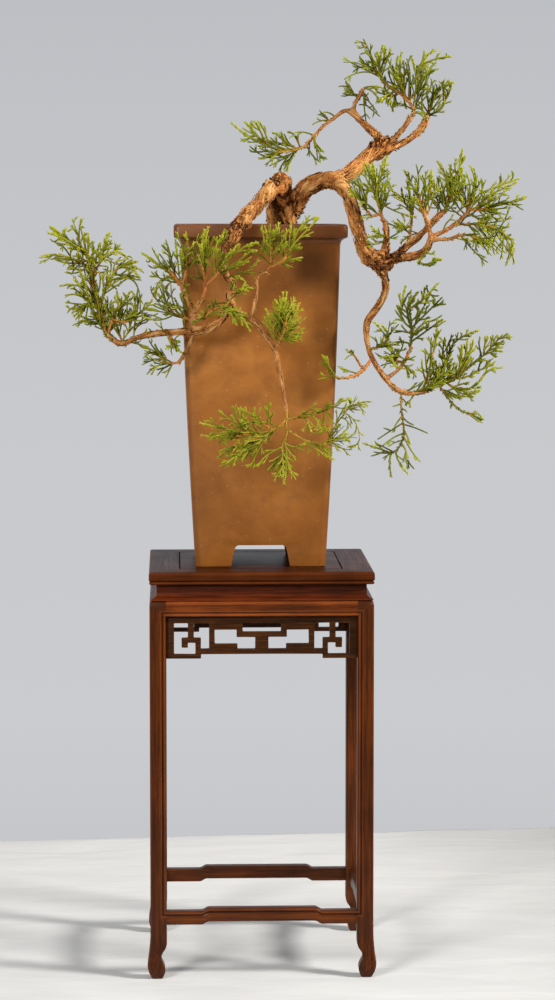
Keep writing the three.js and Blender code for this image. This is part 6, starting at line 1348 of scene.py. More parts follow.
class Spray:
    """The growing mesh of one bunch"""
    def __init__(self, rng, plumed=0.3, tone=0.0, bulk=1.0):
        self.rng = rng
        self.plumed = plumed
        self.tone = tone
        self.bulk = bulk
        self.vertices, self.faces, self.ages, self.tones = [], [], [], []
        self.total = 0

    def tube(self, line, radii, ages, facing, tone, sides):
        """A closed tube along a line, drawn in to a rounded end"""
        tangents = np.gradient(line, axis=0)
        tangents /= np.linalg.norm(tangents, axis=1)[:, None]
        first = np.cross(tangents, facing)
        first /= np.linalg.norm(first, axis=1)[:, None]
        angles = (np.arange(sides) + self.rng.random()) / sides * 2 * math.pi
        tip = line[-1] + tangents[-1] * radii[-1] * 0.9
        rows = len(line)
        end = self.total + rows * sides
        last = end - sides
        self.vertices.append(rings_about(line, first, np.cross(tangents, first), radii[:, None], angles))
        self.vertices.append(tip[None, :])
        self.faces += loft_faces(rows, sides, caps=False, offset=self.total)
        self.faces += [(last + i, last + (i + 1) % sides, end) for i in range(sides)]
        self.faces.append(tuple(self.total + i for i in reversed(range(sides))))
        self.ages += [np.repeat(ages, sides), ages[-1:]]
        self.tones.append(np.full(rows * sides + 1, tone))
        self.total = end + 1

    def whip(self, root, control, tip, radius, age_from, age_to, facing, tone, sides=5, least=4):
        """A shoot of overlapping scale leaves, blunt at its end"""
        rows = max(least, int(round(np.linalg.norm(tip - root) / SCALE_PITCH)))
        share = np.linspace(0, 1, rows + 1)
        line = bent(root, control, tip, share[:, None])
        scales = 1.0 + 0.07 * np.where(np.arange(rows + 1) % 2, 1.0, -1.0)
        radii = radius * self.bulk * (1.0 - 0.18 * share) * scales
        radii[-1] *= 0.6
        self.tube(line, radii, age_from + (age_to - age_from) * share, facing, tone + self.tone, sides)
        return line

    def spikes(self, line, tangents, radii, ages, size, number):
        """Short scale leaves that stand off a stem"""
        rng = self.rng
        widths = np.array([0.5, 0.42, 0.16])
        for i in range(1, len(line) - 1):
            for _ in range(int(number + rng.random())):
                radial = unit(np.cross(tangents[i], scatter(rng, 1, 1, 1)))
                base = line[i] + tangents[i] * rng.uniform(0.0, 1.3) + radial * radii[i] * 0.8
                out = unit(tangents[i] * 0.85 + radial * rng.uniform(0.35, 0.75))
                reach = out * (size * rng.uniform(0.6, 1.25))
                ages_here = np.full(3, ages[i] + rng.uniform(-0.05, 0.12))
                self.tube(np.array([base, base + reach * 0.6, base + reach]), widths, ages_here,
                          np.cross(out, radial), rng.uniform(0.3, 0.8), 3)

    def mesh(self, name, material, *nodes):
        ages = np.clip(np.concatenate(self.ages), 0, 1)
        tones = np.clip(np.concatenate(self.tones), 0, 1)
        add_piece(name, np.vstack(self.vertices), self.faces, material, "leaf", nodes,
                  layers={"age": ages, "tone": tones})


def square_to(facing, along):
    """The part of a facing that stands square to a shoot"""
    return unit(facing - along * along.dot(facing))


def splayed(along, plane, hand, angle):
    """The direction of a bit that turns off a shoot to one hand"""
    return along * math.cos(angle) + np.cross(along, plane) * hand * math.sin(angle)


def grow_plume(spray, spot, reach, facing, tone):
    """Close-set young bits in crossed pairs over the last part of a shoot"""
    rng = spray.rng
    span = min(13.0, reach * 0.5)
    count = int(span / 1.7)
    for m in range(count):
        share = (m + 0.4) / count
        here, along = spot(1.0 - span / reach * (1.0 - share))
        plane = turn_about(square_to(facing, along), along, (m % 2) * 1.5 + rng.uniform(-0.3, 0.3))
        for hand in (-1, 1):
            out = splayed(along, plane, hand, rng.uniform(0.3, 0.55))
            length = rng.uniform(2.2, 3.8) * (1.0 - 0.4 * share)
            end = here + out * length + along * length * 0.15
            spray.whip(here, here + out * length * 0.6, end, SHOOT_RADIUS * 0.85, 0.66 + 0.14 * share, 0.86,
                       plane, tone + rng.uniform(-0.1, 0.16), 4, 3)


def grow_side(spray, here, along, t, reach, longest, hand, facing, tone):
    """One side shoot with a few small bits on it"""
    rng = spray.rng
    plane = turn_about(square_to(facing, along), along, rng.uniform(-0.7, 0.7))
    out = splayed(along, plane, hand, rng.uniform(0.4, 0.75))
    length = min(longest, 2.8 + reach * (1 - t) * rng.uniform(0.22, 0.55)) * rng.uniform(0.8, 1.15)
    end = here + out * length + along * length * rng.uniform(0.0, 0.16)
    age = 0.36 + 0.3 * t
    spray.whip(here, here + out * length * 0.55, end, SHOOT_RADIUS * 0.88, age, age + 0.22, plane,
               tone + rng.uniform(-0.15, 0.15))
    for _ in range(int(length / 6.0 + rng.random() * 0.6)):
        share = rng.uniform(0.3, 0.75)
        start = here + (end - here) * share
        bit = unit(out * 0.9 + np.cross(out, plane) * rng.choice((-0.5, 0.5)))
        size = rng.uniform(2.4, 4.8) * (1.15 - 0.5 * share)
        tip = start + bit * size + out * size * 0.15
        spray.whip(start, start + bit * size * 0.5, tip, SHOOT_RADIUS * 0.8, age + 0.08, age + 0.26, plane,
                   tone + rng.uniform(-0.12, 0.12), 5, 3)


def grow_shoot(spray, root, leaving, tip, facing, tone, fullness, middle=None):
    """A slim shoot with side shoots by turns; a plumed one ends in close-set young bits. It starts the way
    that it leaves its stem, or bends through its middle"""
    rng = spray.rng
    reach = np.linalg.norm(tip - root)
    if middle is None:
        sideways = unit(np.cross(unit(tip - root), facing)) * rng.uniform(-0.1, 0.1) * reach
        control = root + leaving * reach * 0.42 + sideways
    else:
        control = middle * 2 - (root + tip) / 2

    def spot(t):
        return bent(root, control, tip, t), unit((control - root) * (1 - t) + (tip - control) * t)

    px, py = screen(tip[None])[0]
    marked = min(math.hypot(px - x, py - y) for x, y in PLUMES) < PLUME_NEAR
    plumed = reach > 6.0 and (marked or rng.random() < spray.plumed)
    tone += 0.16 if plumed else -0.12
    line = spray.whip(root, control, tip, SHOOT_RADIUS * (1.15 if marked and plumed else 1.0),
                      rng.choice((0.16, 0.24, 0.32)), 0.92 if plumed else 0.7, facing, tone)
    number = int(reach * 0.8 / SIDE_PITCH * fullness + rng.random())
    longest = 12.0 if middle is None else 7.5
    last = 0.64 if plumed else 0.88
    hand = rng.choice((-1, 1))
    for k in range(number):
        t = 0.1 + (last - 0.1) * (k + rng.uniform(0.15, 0.85)) / number
        here, along = spot(t)
        grow_side(spray, here, along, t, reach, longest, hand, facing, tone)
        hand = -hand
    if plumed:
        grow_plume(spray, spot, reach, facing, tone)
    return line


def departure(line, tangents, first, tip, rng):
    """Where on its stem a shoot leaves, and which way it starts: near, and close to the usual angle"""
    usual_angle = 0.55
    best = None
    for i in range(first, len(line) - 1, 2):
        towards = tip - line[i]
        reach = np.linalg.norm(towards)
        towards = towards / reach
        angle = math.acos(max(-1.0, min(1.0, tangents[i].dot(towards))))
        score = abs(angle - usual_angle) * 30 + reach * 0.35 + rng.uniform(0, 3)
        if best is None or score < best[0]:
            sideways = towards - tangents[i] * tangents[i].dot(towards)
            best = (score, i, unit(tangents[i] * 0.85 + unit(sideways) * 0.5))
    return best[1], best[2]


def seen_plane(rng, root, tip, swing):
    """A facing towards the viewpoint, turned a little about the shoot"""
    return turn_about(TOWARDS_VIEW, unit(tip - root), rng.uniform(-swing, swing))


def grow_traced(spray, stems, traces, fullness):
    """Shoots drawn after the photograph, each rooted on the nearest stem or earlier shoot"""
    rng = spray.rng
    for x0, y0, x1, y1, x2, y2 in traces:
        seen = screen(stems)
        root = stems[np.argmin(np.hypot(seen[:, 0] - x0, seen[:, 1] - y0))]
        depth = root[1]
        swing = rng.uniform(-14.0, 8.0) * min(1.0, math.hypot(x2 - x0, y2 - y0) / 18.0)
        middle = place(x1, y1, depth + swing * 0.5)
        tip = place(x2, y2, depth + swing)
        plane = seen_plane(rng, root, tip, 0.75)
        line = grow_shoot(spray, root, None, tip, plane, rng.uniform(0.2, 0.85), fullness, middle)
        stems = np.vstack([stems, line[1:]])


def grow_fan(spray, radii_ends, stops, tips, earlier, habit):
    """A stem and its own shoots; the stem starts on the nearest earlier stem of its bunch"""
    rng = spray.rng
    points = [place(*stop) for stop in stops]
    if earlier:
        spots = np.vstack([line[len(line) // 5:] for line in earlier])
        points[0] = spots[np.argmin(np.linalg.norm(spots - points[0], axis=1))]
    line, tangents, radii, _ = smooth_run(points, np.linspace(*radii_ends, len(points)), 1.3)
    radii = radii * habit["girth"]
    facing = seen_plane(rng, line[0], line[-1], 0.7)
    ages = habit["stem"] + 0.2 * np.linspace(0, 1, len(line)) ** 2
    spray.tube(line, radii, ages, facing, 0.5 + habit["tone"], 7)
    spray.spikes(line, tangents, radii, ages, 2.0, 1.3)
    own = [place(*tip) for tip in tips]
    if habit["pull"]:
        own = [tip + (line[-1] - tip) * habit["pull"] * rng.uniform(0.7, 1.3) + scatter(rng, 2, 10, 2)
               for tip in own if rng.random() < 0.75]
    ends = list(own)
    for tip in own:
        for _ in range(int(habit["extra"] + rng.random())):
            other = own[rng.randrange(len(own))]
            inwards = rng.uniform(0.06, 0.34)
            shift = scatter(rng, 3, 9, 3)
            ends.append(tip * (0.85 - inwards) + other * 0.15 + line[-1] * inwards + shift)
    first = max(1, int(len(line) * 0.28))
    for tip in ends:
        i, leaving = departure(line, tangents, first, tip, rng)
        plane = seen_plane(rng, line[i], tip, 0.75)
        grow_shoot(spray, line[i], leaving, tip, plane, rng.uniform(0.2, 0.85), habit["fullness"])
    return line, own


def grow_inner(spray, stems, tips, habit):
    """Short shoots inside the bunch, from anywhere on its stems towards places between its tips"""
    rng = spray.rng
    for _ in range(int(len(tips) * habit["inner"])):
        root = stems[rng.randrange(len(stems))]
        blend = rng.random()
        goal = tips[rng.randrange(len(tips))] * blend + tips[rng.randrange(len(tips))] * (1 - blend)
        reach = np.linalg.norm(goal - root)
        if reach < 6.0:
            continue
        towards = (goal - root) / reach
        tip = root + towards * min(reach * 0.85, rng.uniform(9.0, 19.0))
        leaving = unit(towards + scatter(rng, 0.5, 0.5, 0.5))
        plane = seen_plane(rng, root, tip, 0.9)
        grow_shoot(spray, root, leaving, tip, plane, rng.uniform(0.1, 0.8), habit["fullness"])


def grow_bunch(name, seed, wood, material):
    habit = {**USUAL_HABIT, **HABITS.get(name, {})}
    spray = Spray(random.Random(seed), habit["plumed"], habit["tone"], habit["bulk"])
    lines, tips = [], []
    for from_radius, to_radius, stops, fan_tips in BUNCHES[name]:
        line, own = grow_fan(spray, (from_radius, to_radius), stops, fan_tips, lines, habit)
        lines.append(line)
        tips += own
    stems = np.vstack(lines)
    grow_inner(spray, stems, tips, habit)
    near_wood = wood.points[np.linalg.norm(wood.points - stems.mean(axis=0), axis=1) < 75.0]
    grow_traced(spray, np.vstack([stems, near_wood]), TRACES.get(name, ()), habit["traced"])
    spray.mesh(f"spray_{name}", material, f"foliage_{name}")


def build_foliage(wood, material):
    for number, name in enumerate(BUNCHES):
        grow_bunch(name, (11 + number) * 101, wood, material)


def clothe_limbs(wood, material):
    """Scale leaves on the thin limbs, from dry and brown to green towards the end"""
    spray = Spray(random.Random(77))
    limbs = dict(zip(LIMBS, wood.limbs))
    for name, start, age_from, age_to, size, crowd in CLOTHING:
        limb = limbs[name]
        first = int(len(limb.line) * start)
        ages = np.linspace(age_from, age_to, len(limb.line) - first)
        spray.spikes(limb.line[first:], limb.tangents[first:], limb.radii[first:], ages, size, crowd)
    spray.mesh("limb_scales", material)


# Pot
def square_ring(half, corner, z, steps):
    ring = []
    for quarter in range(4):
        turn = quarter * math.pi / 2
        cx = (half - corner) * math.sqrt(2) * math.cos(turn + math.pi / 4)
        cy = (half - corner) * math.sqrt(2) * math.sin(turn + math.pi / 4)
        for i in range(steps + 1):
            angle = turn + i / steps * math.pi / 2
            ring.append((cx + corner * math.cos(angle), cy + corner * math.sin(angle), z))
    return ring


def square_loft(levels, steps=8):
    """A solid through squares with rounded corners: (height, half width, corner radius)"""
    rings = [square_ring(half, corner, z, steps) for z, half, corner in levels]
    return np.array([point for ring in rings for point in ring]), loft_faces(len(rings), len(rings[0]))


def pot_half(z):
    rise = (z - STAND_TOP) / (POT_TOP - RIM_HEIGHT - STAND_TOP)
    bulge = POT_BULGE * math.sin(math.pi * min(1.0, max(0.0, rise)))
    return POT_LOWER_HALF + (POT_UPPER_HALF - POT_LOWER_HALF) * rise + bulge


def pot_outside():
    rim_low = POT_TOP - RIM_HEIGHT
    wall_low, wall_high, steps = 1.4, 6.5, 23
    levels = [(STAND_TOP, POT_LOWER_HALF - 1.0, 4.4), (STAND_TOP + 0.5, POT_LOWER_HALF - 0.3, 4.8),
              (STAND_TOP + wall_low, POT_LOWER_HALF, POT_CORNER)]
    for k in range(1, steps + 1):
        z = STAND_TOP + wall_low + (rim_low - wall_high - STAND_TOP) * k / steps
        levels.append((z, pot_half(z), POT_CORNER))
    cove = [(-2.9, 0.4), (-1.8, 1.1), (-0.9, 2.2)]
    levels += [(rim_low + z, POT_UPPER_HALF + out, POT_CORNER) for z, out in cove]
    under_rim = [(-0.35, 1.7, 4.8), (0.0, 0.7, 4.6), (0.7, 0.1, 4.2), (1.4, 0.0, 4.0)]
    levels += [(rim_low + z, RIM_HALF - inset, corner) for z, inset, corner in under_rim]
    lip = [(2.4, 0.0), (1.2, 0.3), (0.4, 1.0), (0.0, 2.1)]
    levels += [(POT_TOP - drop, RIM_HALF - inset, 4.0) for drop, inset in lip]
    return square_loft(levels)


def pot_inside():
    corner = 6.0
    levels = [(z, pot_half(z) - POT_WALL, corner) for z in (FLOOR_TOP, STAND_TOP + 120, POT_TOP - 16)]
    flare = [(-1.6, 0.4), (-0.5, 1.0), (0.4, 2.4)]
    levels += [(POT_TOP + z, POT_UPPER_HALF - POT_WALL + out, corner) for z, out in flare]
    return square_loft(levels)


def foot_openings():
    """The space under the floor, and a tunnel with sloped sides through the feet each way"""
    well = POT_LOWER_HALF - FOOT_WALL
    cuts = [square_loft([(STAND_TOP - 4, well, 6.0), (STAND_TOP + FOOT_HEIGHT, well, 6.0)])]
    half = [(22.4, -3.0), (21.9, 0.0), (20.4, 8.0), (19.2, 13.2), (18.6, 14.9), (17.6, 16.0),
            (16.0, FOOT_HEIGHT)]
    outline = [(-x, z) for x, z in half[:1]] + half + [(-x, z) for x, z in reversed(half[1:])]
    points = np.array([(x, y, STAND_TOP + z) for y in (-80.0, 80.0) for x, z in outline])
    return cuts + [(turned(points, quarter), loft_faces(2, len(outline))) for quarter in range(2)]


def drain_hole():
    sides = 32
    points = [(DRAIN_RADIUS * math.cos(a), DRAIN_RADIUS * math.sin(a), STAND_TOP + z)
              for z in (-4.0, 40.0) for a in np.arange(sides) / sides * 2 * math.pi]
    return points, loft_faces(2, sides)


def build_pot(material):
    piece = add_piece("pot_clay", *pot_outside(), material, "clay", ("pot",))
    tools = [add_object(f"cut_{number}", *cut)
             for number, cut in enumerate([pot_inside(), *foot_openings(), drain_hole()])]
    for tool in tools:
        face_outwards(tool.data)
        modify(piece, "BOOLEAN", operation="DIFFERENCE", solver="EXACT", object=tool)
    bake(piece)
    for tool in tools:
        bpy.data.objects.remove(tool)
    modify(piece, "BEVEL", width=0.7 * MM, segments=2, limit_method="ANGLE", angle_limit=math.radians(42))
    bake(piece)
    piece.data.shade_smooth()
    smooth_angle(piece, 32)


def clay_material():
    clay = Shader("burnished_clay", Roughness=0.5, Specular_IOR_Level=0.36)
    spot = clay.position()
    cloud = clay.noise(spot, 13.0, 4.0, 0.55, 0.6)
    mottle = clay.noise(spot, 70.0, 4.0, 0.6, 0.2)
    grain = clay.noise(spot, 900.0, 3.0, 0.7)
    tooling = clay.noise(clay.stretch(spot, (1.0, 1.0, 9.0)), 34.0, 4.0, 0.6)
    specks = clay.add("ShaderNodeTexVoronoi", {"Vector": spot, "Scale": 170.0}).outputs["Distance"]
    height = clay.separate(spot)["Z"]
    # Painted shade: the clay darkens towards the top of the pot, under the rim
    under_rim_shade = clay.level(height, (POT_TOP - 75) * MM, (POT_TOP - 14) * MM, 0.0, 0.42)
    rim = clay.level(height, (POT_TOP - 17) * MM, (POT_TOP - 9) * MM)
    colour = clay.ramp(cloud, [(0.3, (122, 70, 22)), (0.45, (139, 84, 28)), (0.58, (151, 94, 34)),
                               (0.72, (163, 107, 43))])
    for strength, tint in (
            (clay.level(mottle, 0.4, 0.7, 0.0, 0.5), (112, 64, 25)),
            (clay.level(tooling, 0.5, 0.8, 0.0, 0.04), (184, 126, 66)),
            (clay.level(grain, 0.62, 0.74, 0.0, 0.5), (98, 56, 26)),
            (clay.level(specks, 0.05, 0.09, 0.5, 0.0), (206, 166, 120)),
            # Painted shade: the clay darkens towards the bottom of the pot
            (clay.level(height, (STAND_TOP + 40) * MM, (STAND_TOP + 150) * MM, 0.34, 0.0), (104, 60, 22)),
            (clay.maths("MULTIPLY", under_rim_shade, clay.level(cloud, 0.3, 0.6, 0.5, 1.2)), (92, 50, 20)),
            (clay.maths("MULTIPLY", rim, 0.6), (92, 50, 21))):
        colour = clay.mix(strength, colour, srgb(*tint))
    clay.bump(clay.maths("ADD", mottle, clay.maths("MULTIPLY", grain, 0.22)), 0.0007, 0.45)
    return clay.finish(colour, clay.level(cloud, 0.3, 0.7, 0.34, 0.48))


# Soil, its grains and moss
# Cushions of moss: place and reach
MOSS = [(-26, -24, 17), (22, -30, 15), (30, 20, 17), (-24, 26, 16), (0, 36, 11), (-38, 4, 9), (38, -8, 9),
        (6, -16, 9)]


def soil_crown(x, y):
    return SOIL_CROWN * (1 - (max(abs(x), abs(y)) / SOIL_REACH) ** 2)


def build_soil_bed():
    ground = Shader("soil", Roughness=0.95, Specular_IOR_Level=0.2)
    spot = ground.position()
    colour = ground.ramp(ground.noise(spot, 420.0, 4.0, 0.7), [
        (0.3, (46, 32, 22)), (0.5, (92, 66, 44)), (0.7, (132, 102, 74)),
    ])
    ground.bump(ground.noise(spot, 800.0, 3.0), 0.001, 0.8)
    size = 46
    vertices = []
    for x, y in sheet_places(size, SOIL_REACH):
        bumps = 0.9 * noise.noise((x * 0.12, y * 0.12, 3.0)) + 0.5 * noise.noise((x * 0.4, y * 0.4, 9.0))
        vertices.append((x, y, SOIL_TOP - 1.2 + soil_crown(x, y) + bumps))
    last = size - 1
    edge = ([c for c in range(size)] + [r * size + last for r in range(1, size)]
            + [last * size + c for c in range(last - 1, -1, -1)] + [r * size for r in range(last - 1, 0, -1)])
    skirt = len(vertices)
    vertices += [(vertices[i][0] * 0.995, vertices[i][1] * 0.995, SOIL_TOP - 24) for i in edge]
    faces = sheet_faces(size)
    for k, i in enumerate(edge):
        n = (k + 1) % len(edge)
        faces.append((i, skirt + k, skirt + n, edge[n]))
    faces.append(tuple(skirt + k for k in range(len(edge))))
    add_piece("soil_bed", vertices, faces, ground.finish(colour), "earth", ("soil",))


def build_grit(rng):
    grit = Shader("soil_grains", Roughness=0.9, Specular_IOR_Level=0.25)
    colour = grit.ramp(grit.attribute("tone", "Fac"), [
        (0.0, (58, 38, 26)), (0.35, (120, 76, 44)), (0.6, (150, 108, 70)), (0.85, (176, 150, 118)),
        (1.0, (74, 66, 60)),
    ])
    speckle = grit.level(grit.noise(grit.position(), 900.0, 3.0, 0.7), 0.4, 0.7, 0.0, 0.5)
    colour = grit.mix(speckle, colour, srgb(70, 48, 34))
    grit.bump(grit.noise(grit.position(), 1500.0), 0.0006, 0.7)
    vertices, faces, tones = [], [], []
    for _ in range(900):
        x, y = rng.uniform(-SOIL_REACH, SOIL_REACH), rng.uniform(-SOIL_REACH, SOIL_REACH)
        crown = soil_crown(x, y)
        radius = rng.uniform(0.8, 2.1)
        x, y = (max(-SOIL_REACH + radius, min(SOIL_REACH - radius, v)) for v in (x, y))
        centre = np.array([x, y, SOIL_TOP - 1.0 + crown + radius * 0.3])
        stretch = np.array([rng.uniform(0.7, 1.15) for _ in range(3)])
        points, sides = ball(radius, 1)
        faces += shifted(sides, len(vertices))
        vertices += [centre + away * stretch * (1 + 0.35 * noise.noise(away * 0.9 + centre))
                     for away in points]
        tones += [rng.random()] * len(points)
    add_piece("soil_grit", vertices, faces, grit.finish(colour), "earth", smooth=False,
              layers={"tone": tones})


def build_moss(rng):
    moss = Shader("moss", Roughness=0.9, Specular_IOR_Level=0.2)
    colour = moss.ramp(moss.attribute("tone", "Fac"), [
        (0.0, (46, 54, 22)), (0.5, (84, 98, 36)), (1.0, (142, 150, 62)),
    ])
    crowd = 4.2
    trunk_reach = 10.0
    blade = 0.34
    vertices, faces, tones = [], [], []
    for mx, my, spread in MOSS:
        for _ in range(int(spread * spread * crowd)):
            angle, away = rng.uniform(0, 6.283), spread * math.sqrt(rng.random())
            x, y = mx + away * math.cos(angle), my + away * math.sin(angle)
            if max(abs(x), abs(y)) > SOIL_REACH - 0.5 or math.hypot(x, y) < trunk_reach:
                continue
            dome = 1.8 * (1 - (away / spread) ** 2)
            base = np.array([x, y, SOIL_TOP - 1.4 + soil_crown(x, y) + dome * 0.7])
            start = len(vertices)
            for k in range(3):
                turn = 2.094 * k + angle
                vertices.append(base + np.array([blade * math.cos(turn), blade * math.sin(turn), 0.0]))
            lean_x, lean_y = rng.uniform(-0.7, 0.7), rng.uniform(-0.7, 0.7)
            vertices.append(base + np.array([lean_x, lean_y, rng.uniform(1.4, 2.6)]))
            faces += [(start + k, start + (k + 1) % 3, start + 3) for k in range(3)]
            tones += [0.15, 0.15, 0.15, rng.uniform(0.5, 1.0)]
    add_piece("moss_tufts", vertices, faces, moss.finish(colour), "earth", smooth=False,
              layers={"tone": tones})


def build_soil():
    rng = random.Random(21)
    build_soil_bed()
    build_grit(rng)
    build_moss(rng)


# Stand
def lacquer_material(name, shade=1.0, green=1.0, gloss=0.13):
    """Dark red-brown lacquered wood; shade makes a lighter or darker copy, which paints light and shade on a
    piece, and green turns it to olive
    """
    def tint(red, middle, blue):
        return red * shade, middle * shade * green, blue * shade

    wood = Shader(name, Roughness=0.42, Specular_IOR_Level=gloss, Coat_Weight=gloss * 0.4,
                  Coat_Roughness=0.25)
    grain = wood.attribute("grain")
    bands = wood.noise(wood.stretch(grain, (0.012, 0.5, 0.5)), 1.0, 4.0, 0.6, 0.7)
    pores = wood.noise(wood.stretch(grain, (0.06, 2.6, 2.6)), 1.0, 3.0, 0.65)
    patches = wood.noise(grain, 0.02, 3.0, 0.55)
    tone = wood.maths("ADD", bands, wood.level(pores, 0.3, 0.7, -0.18, 0.18))
    tone = wood.maths("ADD", tone, wood.level(patches, 0.35, 0.65, -0.1, 0.1))
    colour = wood.ramp(tone, [
        (0.2, tint(36, 14, 3)), (0.42, tint(60, 26, 6)), (0.58, tint(80, 36, 9)), (0.8, tint(108, 52, 15)),
    ])
    worn = wood.mix(0.6, colour, srgb(*tint(148, 74, 25)))
    wear = wood.maths("MULTIPLY", wood.attribute("crest", "Fac"), wood.level(patches, 0.3, 0.7, 0.35, 1.0))
    colour = wood.mix(wear, colour, worn)
    wood.bump(pores, 0.0003, 0.5)
    return wood.finish(colour, wood.level(tone, 0.3, 0.8, 0.4, 0.3))


# The moulding along each edge of an opening: distances out from it at which it is drawn, and where its bead,
# its groove and its eased step end
MOULDING = [0.0, 0.22, 0.6, 1.0, 1.35, 1.7, 2.1, 2.48, 2.7, 2.86, 3.24, 3.4, 3.9, 4.8, 6.4, 8.2, 9.6, 10.8]
BEAD_END = 2.7
GROOVE_END = 3.3
STEP_END = 5.0


def moulding_height(distance):
    """Bead, groove and slightly crowned face"""
    if distance <= BEAD_END:
        middle = BEAD_END / 2
        share = max(-1.0, min(1.0, (distance - middle) / middle))
        return -1.2 + 1.1 * math.sqrt(1.0 - share * share)
    if distance <= GROOVE_END:
        return -1.25
    if distance <= STEP_END:
        return -0.5 * ((STEP_END - distance) / 1.7) ** 2 - 0.05
    return 0.0


def moulding_crest(distance):
    """How worn the moulding is: most on the bead, and on the edge beyond the groove"""
    if distance <= BEAD_END:
        return max(0.0, 1.0 - abs(distance - BEAD_END / 2))
    if distance <= GROOVE_END or distance >= 6:
        return 0.0
    return 0.75 * math.exp(-((distance - 3.9) / 0.7) ** 2)


def smoothed(stops):
    """A line of (across, height) pairs through the stops, fine enough to look round"""
    line = smooth_run([(a, 0.0, z) for a, z in stops], [0.0] * len(stops), 0.6)[0]
    order = np.argsort(line[:, 2])
    return line[order, 2], line[order, 0]


FOOT_OUTSIDE = smoothed([(1.0, 0), (-0.6, 3.5), (-1.9, 7.5), (-2.2, 11), (-1.6, 16), (-0.8, 22), (-0.2, 30),
                         (0, FOOT_TOP)])
FOOT_INSIDE = smoothed([(8.7, 0), (10.4, 4.2), (10.8, 8), (9.6, 12), (8, 15.8), (8.9, 19.5), (11, 22.6),
                        (LEG, FOOT_INSIDE_TOP)])
SHOULDER = ([BODY_TOP - drop for drop in (3.0, 1.6, 0.8, 0.25, 0.0)], [0.0, 0.45, 1.2, 2.1, 3.0])


def leg_heights():
    foot = [0.0, 0.4] + [1.2 * k for k in range(1, 33)]
    lower = [round(STRETCHER_HIGH - d, 3) for d in MOULDING if d < 10]
    shaft = [60.0, 90.0, 120.0, 150.0, 180.0, 210.0, 240.0, 260.0]
    upper = [round(APRON_LOW + d, 3) for d in MOULDING if d < 9]
    return sorted(set(foot + lower + shaft + upper + SHOULDER[0][1:]))


def leg_section(z):
    """The outline of the front left leg at a height, and how worn each of its points is"""
    outside = float(np.interp(z, *(FOOT_OUTSIDE if z < FOOT_TOP else SHOULDER)))
    inside = float(np.interp(z, *FOOT_INSIDE)) if z < FOOT_INSIDE_TOP else LEG
    if z < 0.3:
        outside, inside = outside + 0.5, inside - 0.5
    corner, corner_steps = 1.3, 5
    front, crests = [], []
    for d in MOULDING:
        distance = max(d, z - APRON_LOW, STRETCHER_HIGH - z) if z > STRETCHER_LOW else 9.0
        height = -0.5 * (1.0 - d) if z < STRETCHER_LOW and d < 1.0 else moulding_height(distance)
        front.append((inside - d / (LEG - corner) * (inside - outside - corner), outside - height))
        crests.append(moulding_crest(distance) if z > STRETCHER_LOW else 0.0)
    centre = outside + corner
    angles = [k / (corner_steps + 1) * math.pi / 2 for k in range(1, corner_steps + 1)]
    arc = [(centre - corner * math.sin(angle), centre - corner * math.cos(angle)) for angle in angles]
    side = [(b, a) for a, b in reversed(front)]
    back = [(outside + 4.5, inside), (inside - 0.5, inside - 0.12), (inside - 0.12, inside - 0.5),
            (inside, outside + 4.5)]
    ring = [(-BODY_HALF + a, -BODY_HALF + b, z) for a, b in front + arc + side + back]
    return ring, crests + [0.6] * corner_steps + crests[::-1] + [0.1] * len(back)


def build_legs(material):
    rings, crests = zip(*(leg_section(z) for z in leg_heights()))
    base = np.array([point for ring in rings for point in ring])
    crest = np.array([value for row in crests for value in row])
    faces = [tuple(reversed(face)) for face in loft_faces(len(rings), len(rings[0]))]
    widest = base[:, :2].max(axis=1)
    mitred = base[:, 2] > APRON_LOW + (LEG - (widest + BODY_HALF)) * 0.98
    apron_grain = np.column_stack([widest + 590.0, base[:, 2], base[:, :2].min(axis=1)])
    for number, corner in enumerate(CORNERS):
        grain = np.column_stack([base[:, 2] + 300 * number, base[:, 0] + 17 * number, base[:, 1]])
        grain[mitred] = apron_grain[mitred]
        piece = add_piece(f"leg_{corner}", turned(base, number), faces, material, "lacquer",
                          (f"stand_leg_{corner}",), layers={"grain": grain, "crest": crest})
        smooth_angle(piece, 38)


def swept_rail(name, loops, crests, number, material, node, grain_shift):
    """A rail along x made of equal closed loops of (x, y, z), turned to its side of the stand"""
    base = np.array([point for loop in loops for point in loop])
    grain = np.column_stack([base[:, 0] + 500 * number + grain_shift, base[:, 1] + 31 * number, base[:, 2]])
    crest = np.array([value for row in crests for value in row])
    piece = add_piece(name, turned(base, number), loft_faces(len(loops), len(loops[0])), material, "lacquer",
                      (node,), layers={"grain": grain, "crest": crest})
    face_outwards(piece.data)
    smooth_angle(piece, 38)


def build_aprons(material):
    back = -BODY_HALF + APRON_DEPTH
    profile = [(back, APRON_LOW), (-BODY_HALF + 3.0, APRON_LOW)]
    crest = [0.0, 0.0]
    for d in MOULDING:
        z = APRON_LOW + d
        if z < SHOULDER[0][0]:
            profile.append((-BODY_HALF - moulding_height(d), z))
            crest.append(moulding_crest(d))
    for z, inset in zip(*SHOULDER):
        profile.append((-BODY_HALF + inset, z))
        crest.append(0.75 if 0.3 < inset < 2.5 else 0.2)
    profile.append((back, BODY_TOP))
    crest.append(0.0)
    for number, side in enumerate(SIDES):
        loops = [[(x, y, z) for y, z in profile] for x in np.linspace(-OPENING, OPENING, 5)]
        swept_rail(f"apron_{side}", loops, [crest] * 5, number, material, f"stand_apron_{side}", 90.0)


def stretcher_rise(x):
    """The step up towards the middle of a stretcher"""
    share = max(0.0, min(1.0, (44.5 - abs(x)) / 5.5))
    return STRETCHER_RISE * (3 * share ** 2 - 2 * share ** 3)


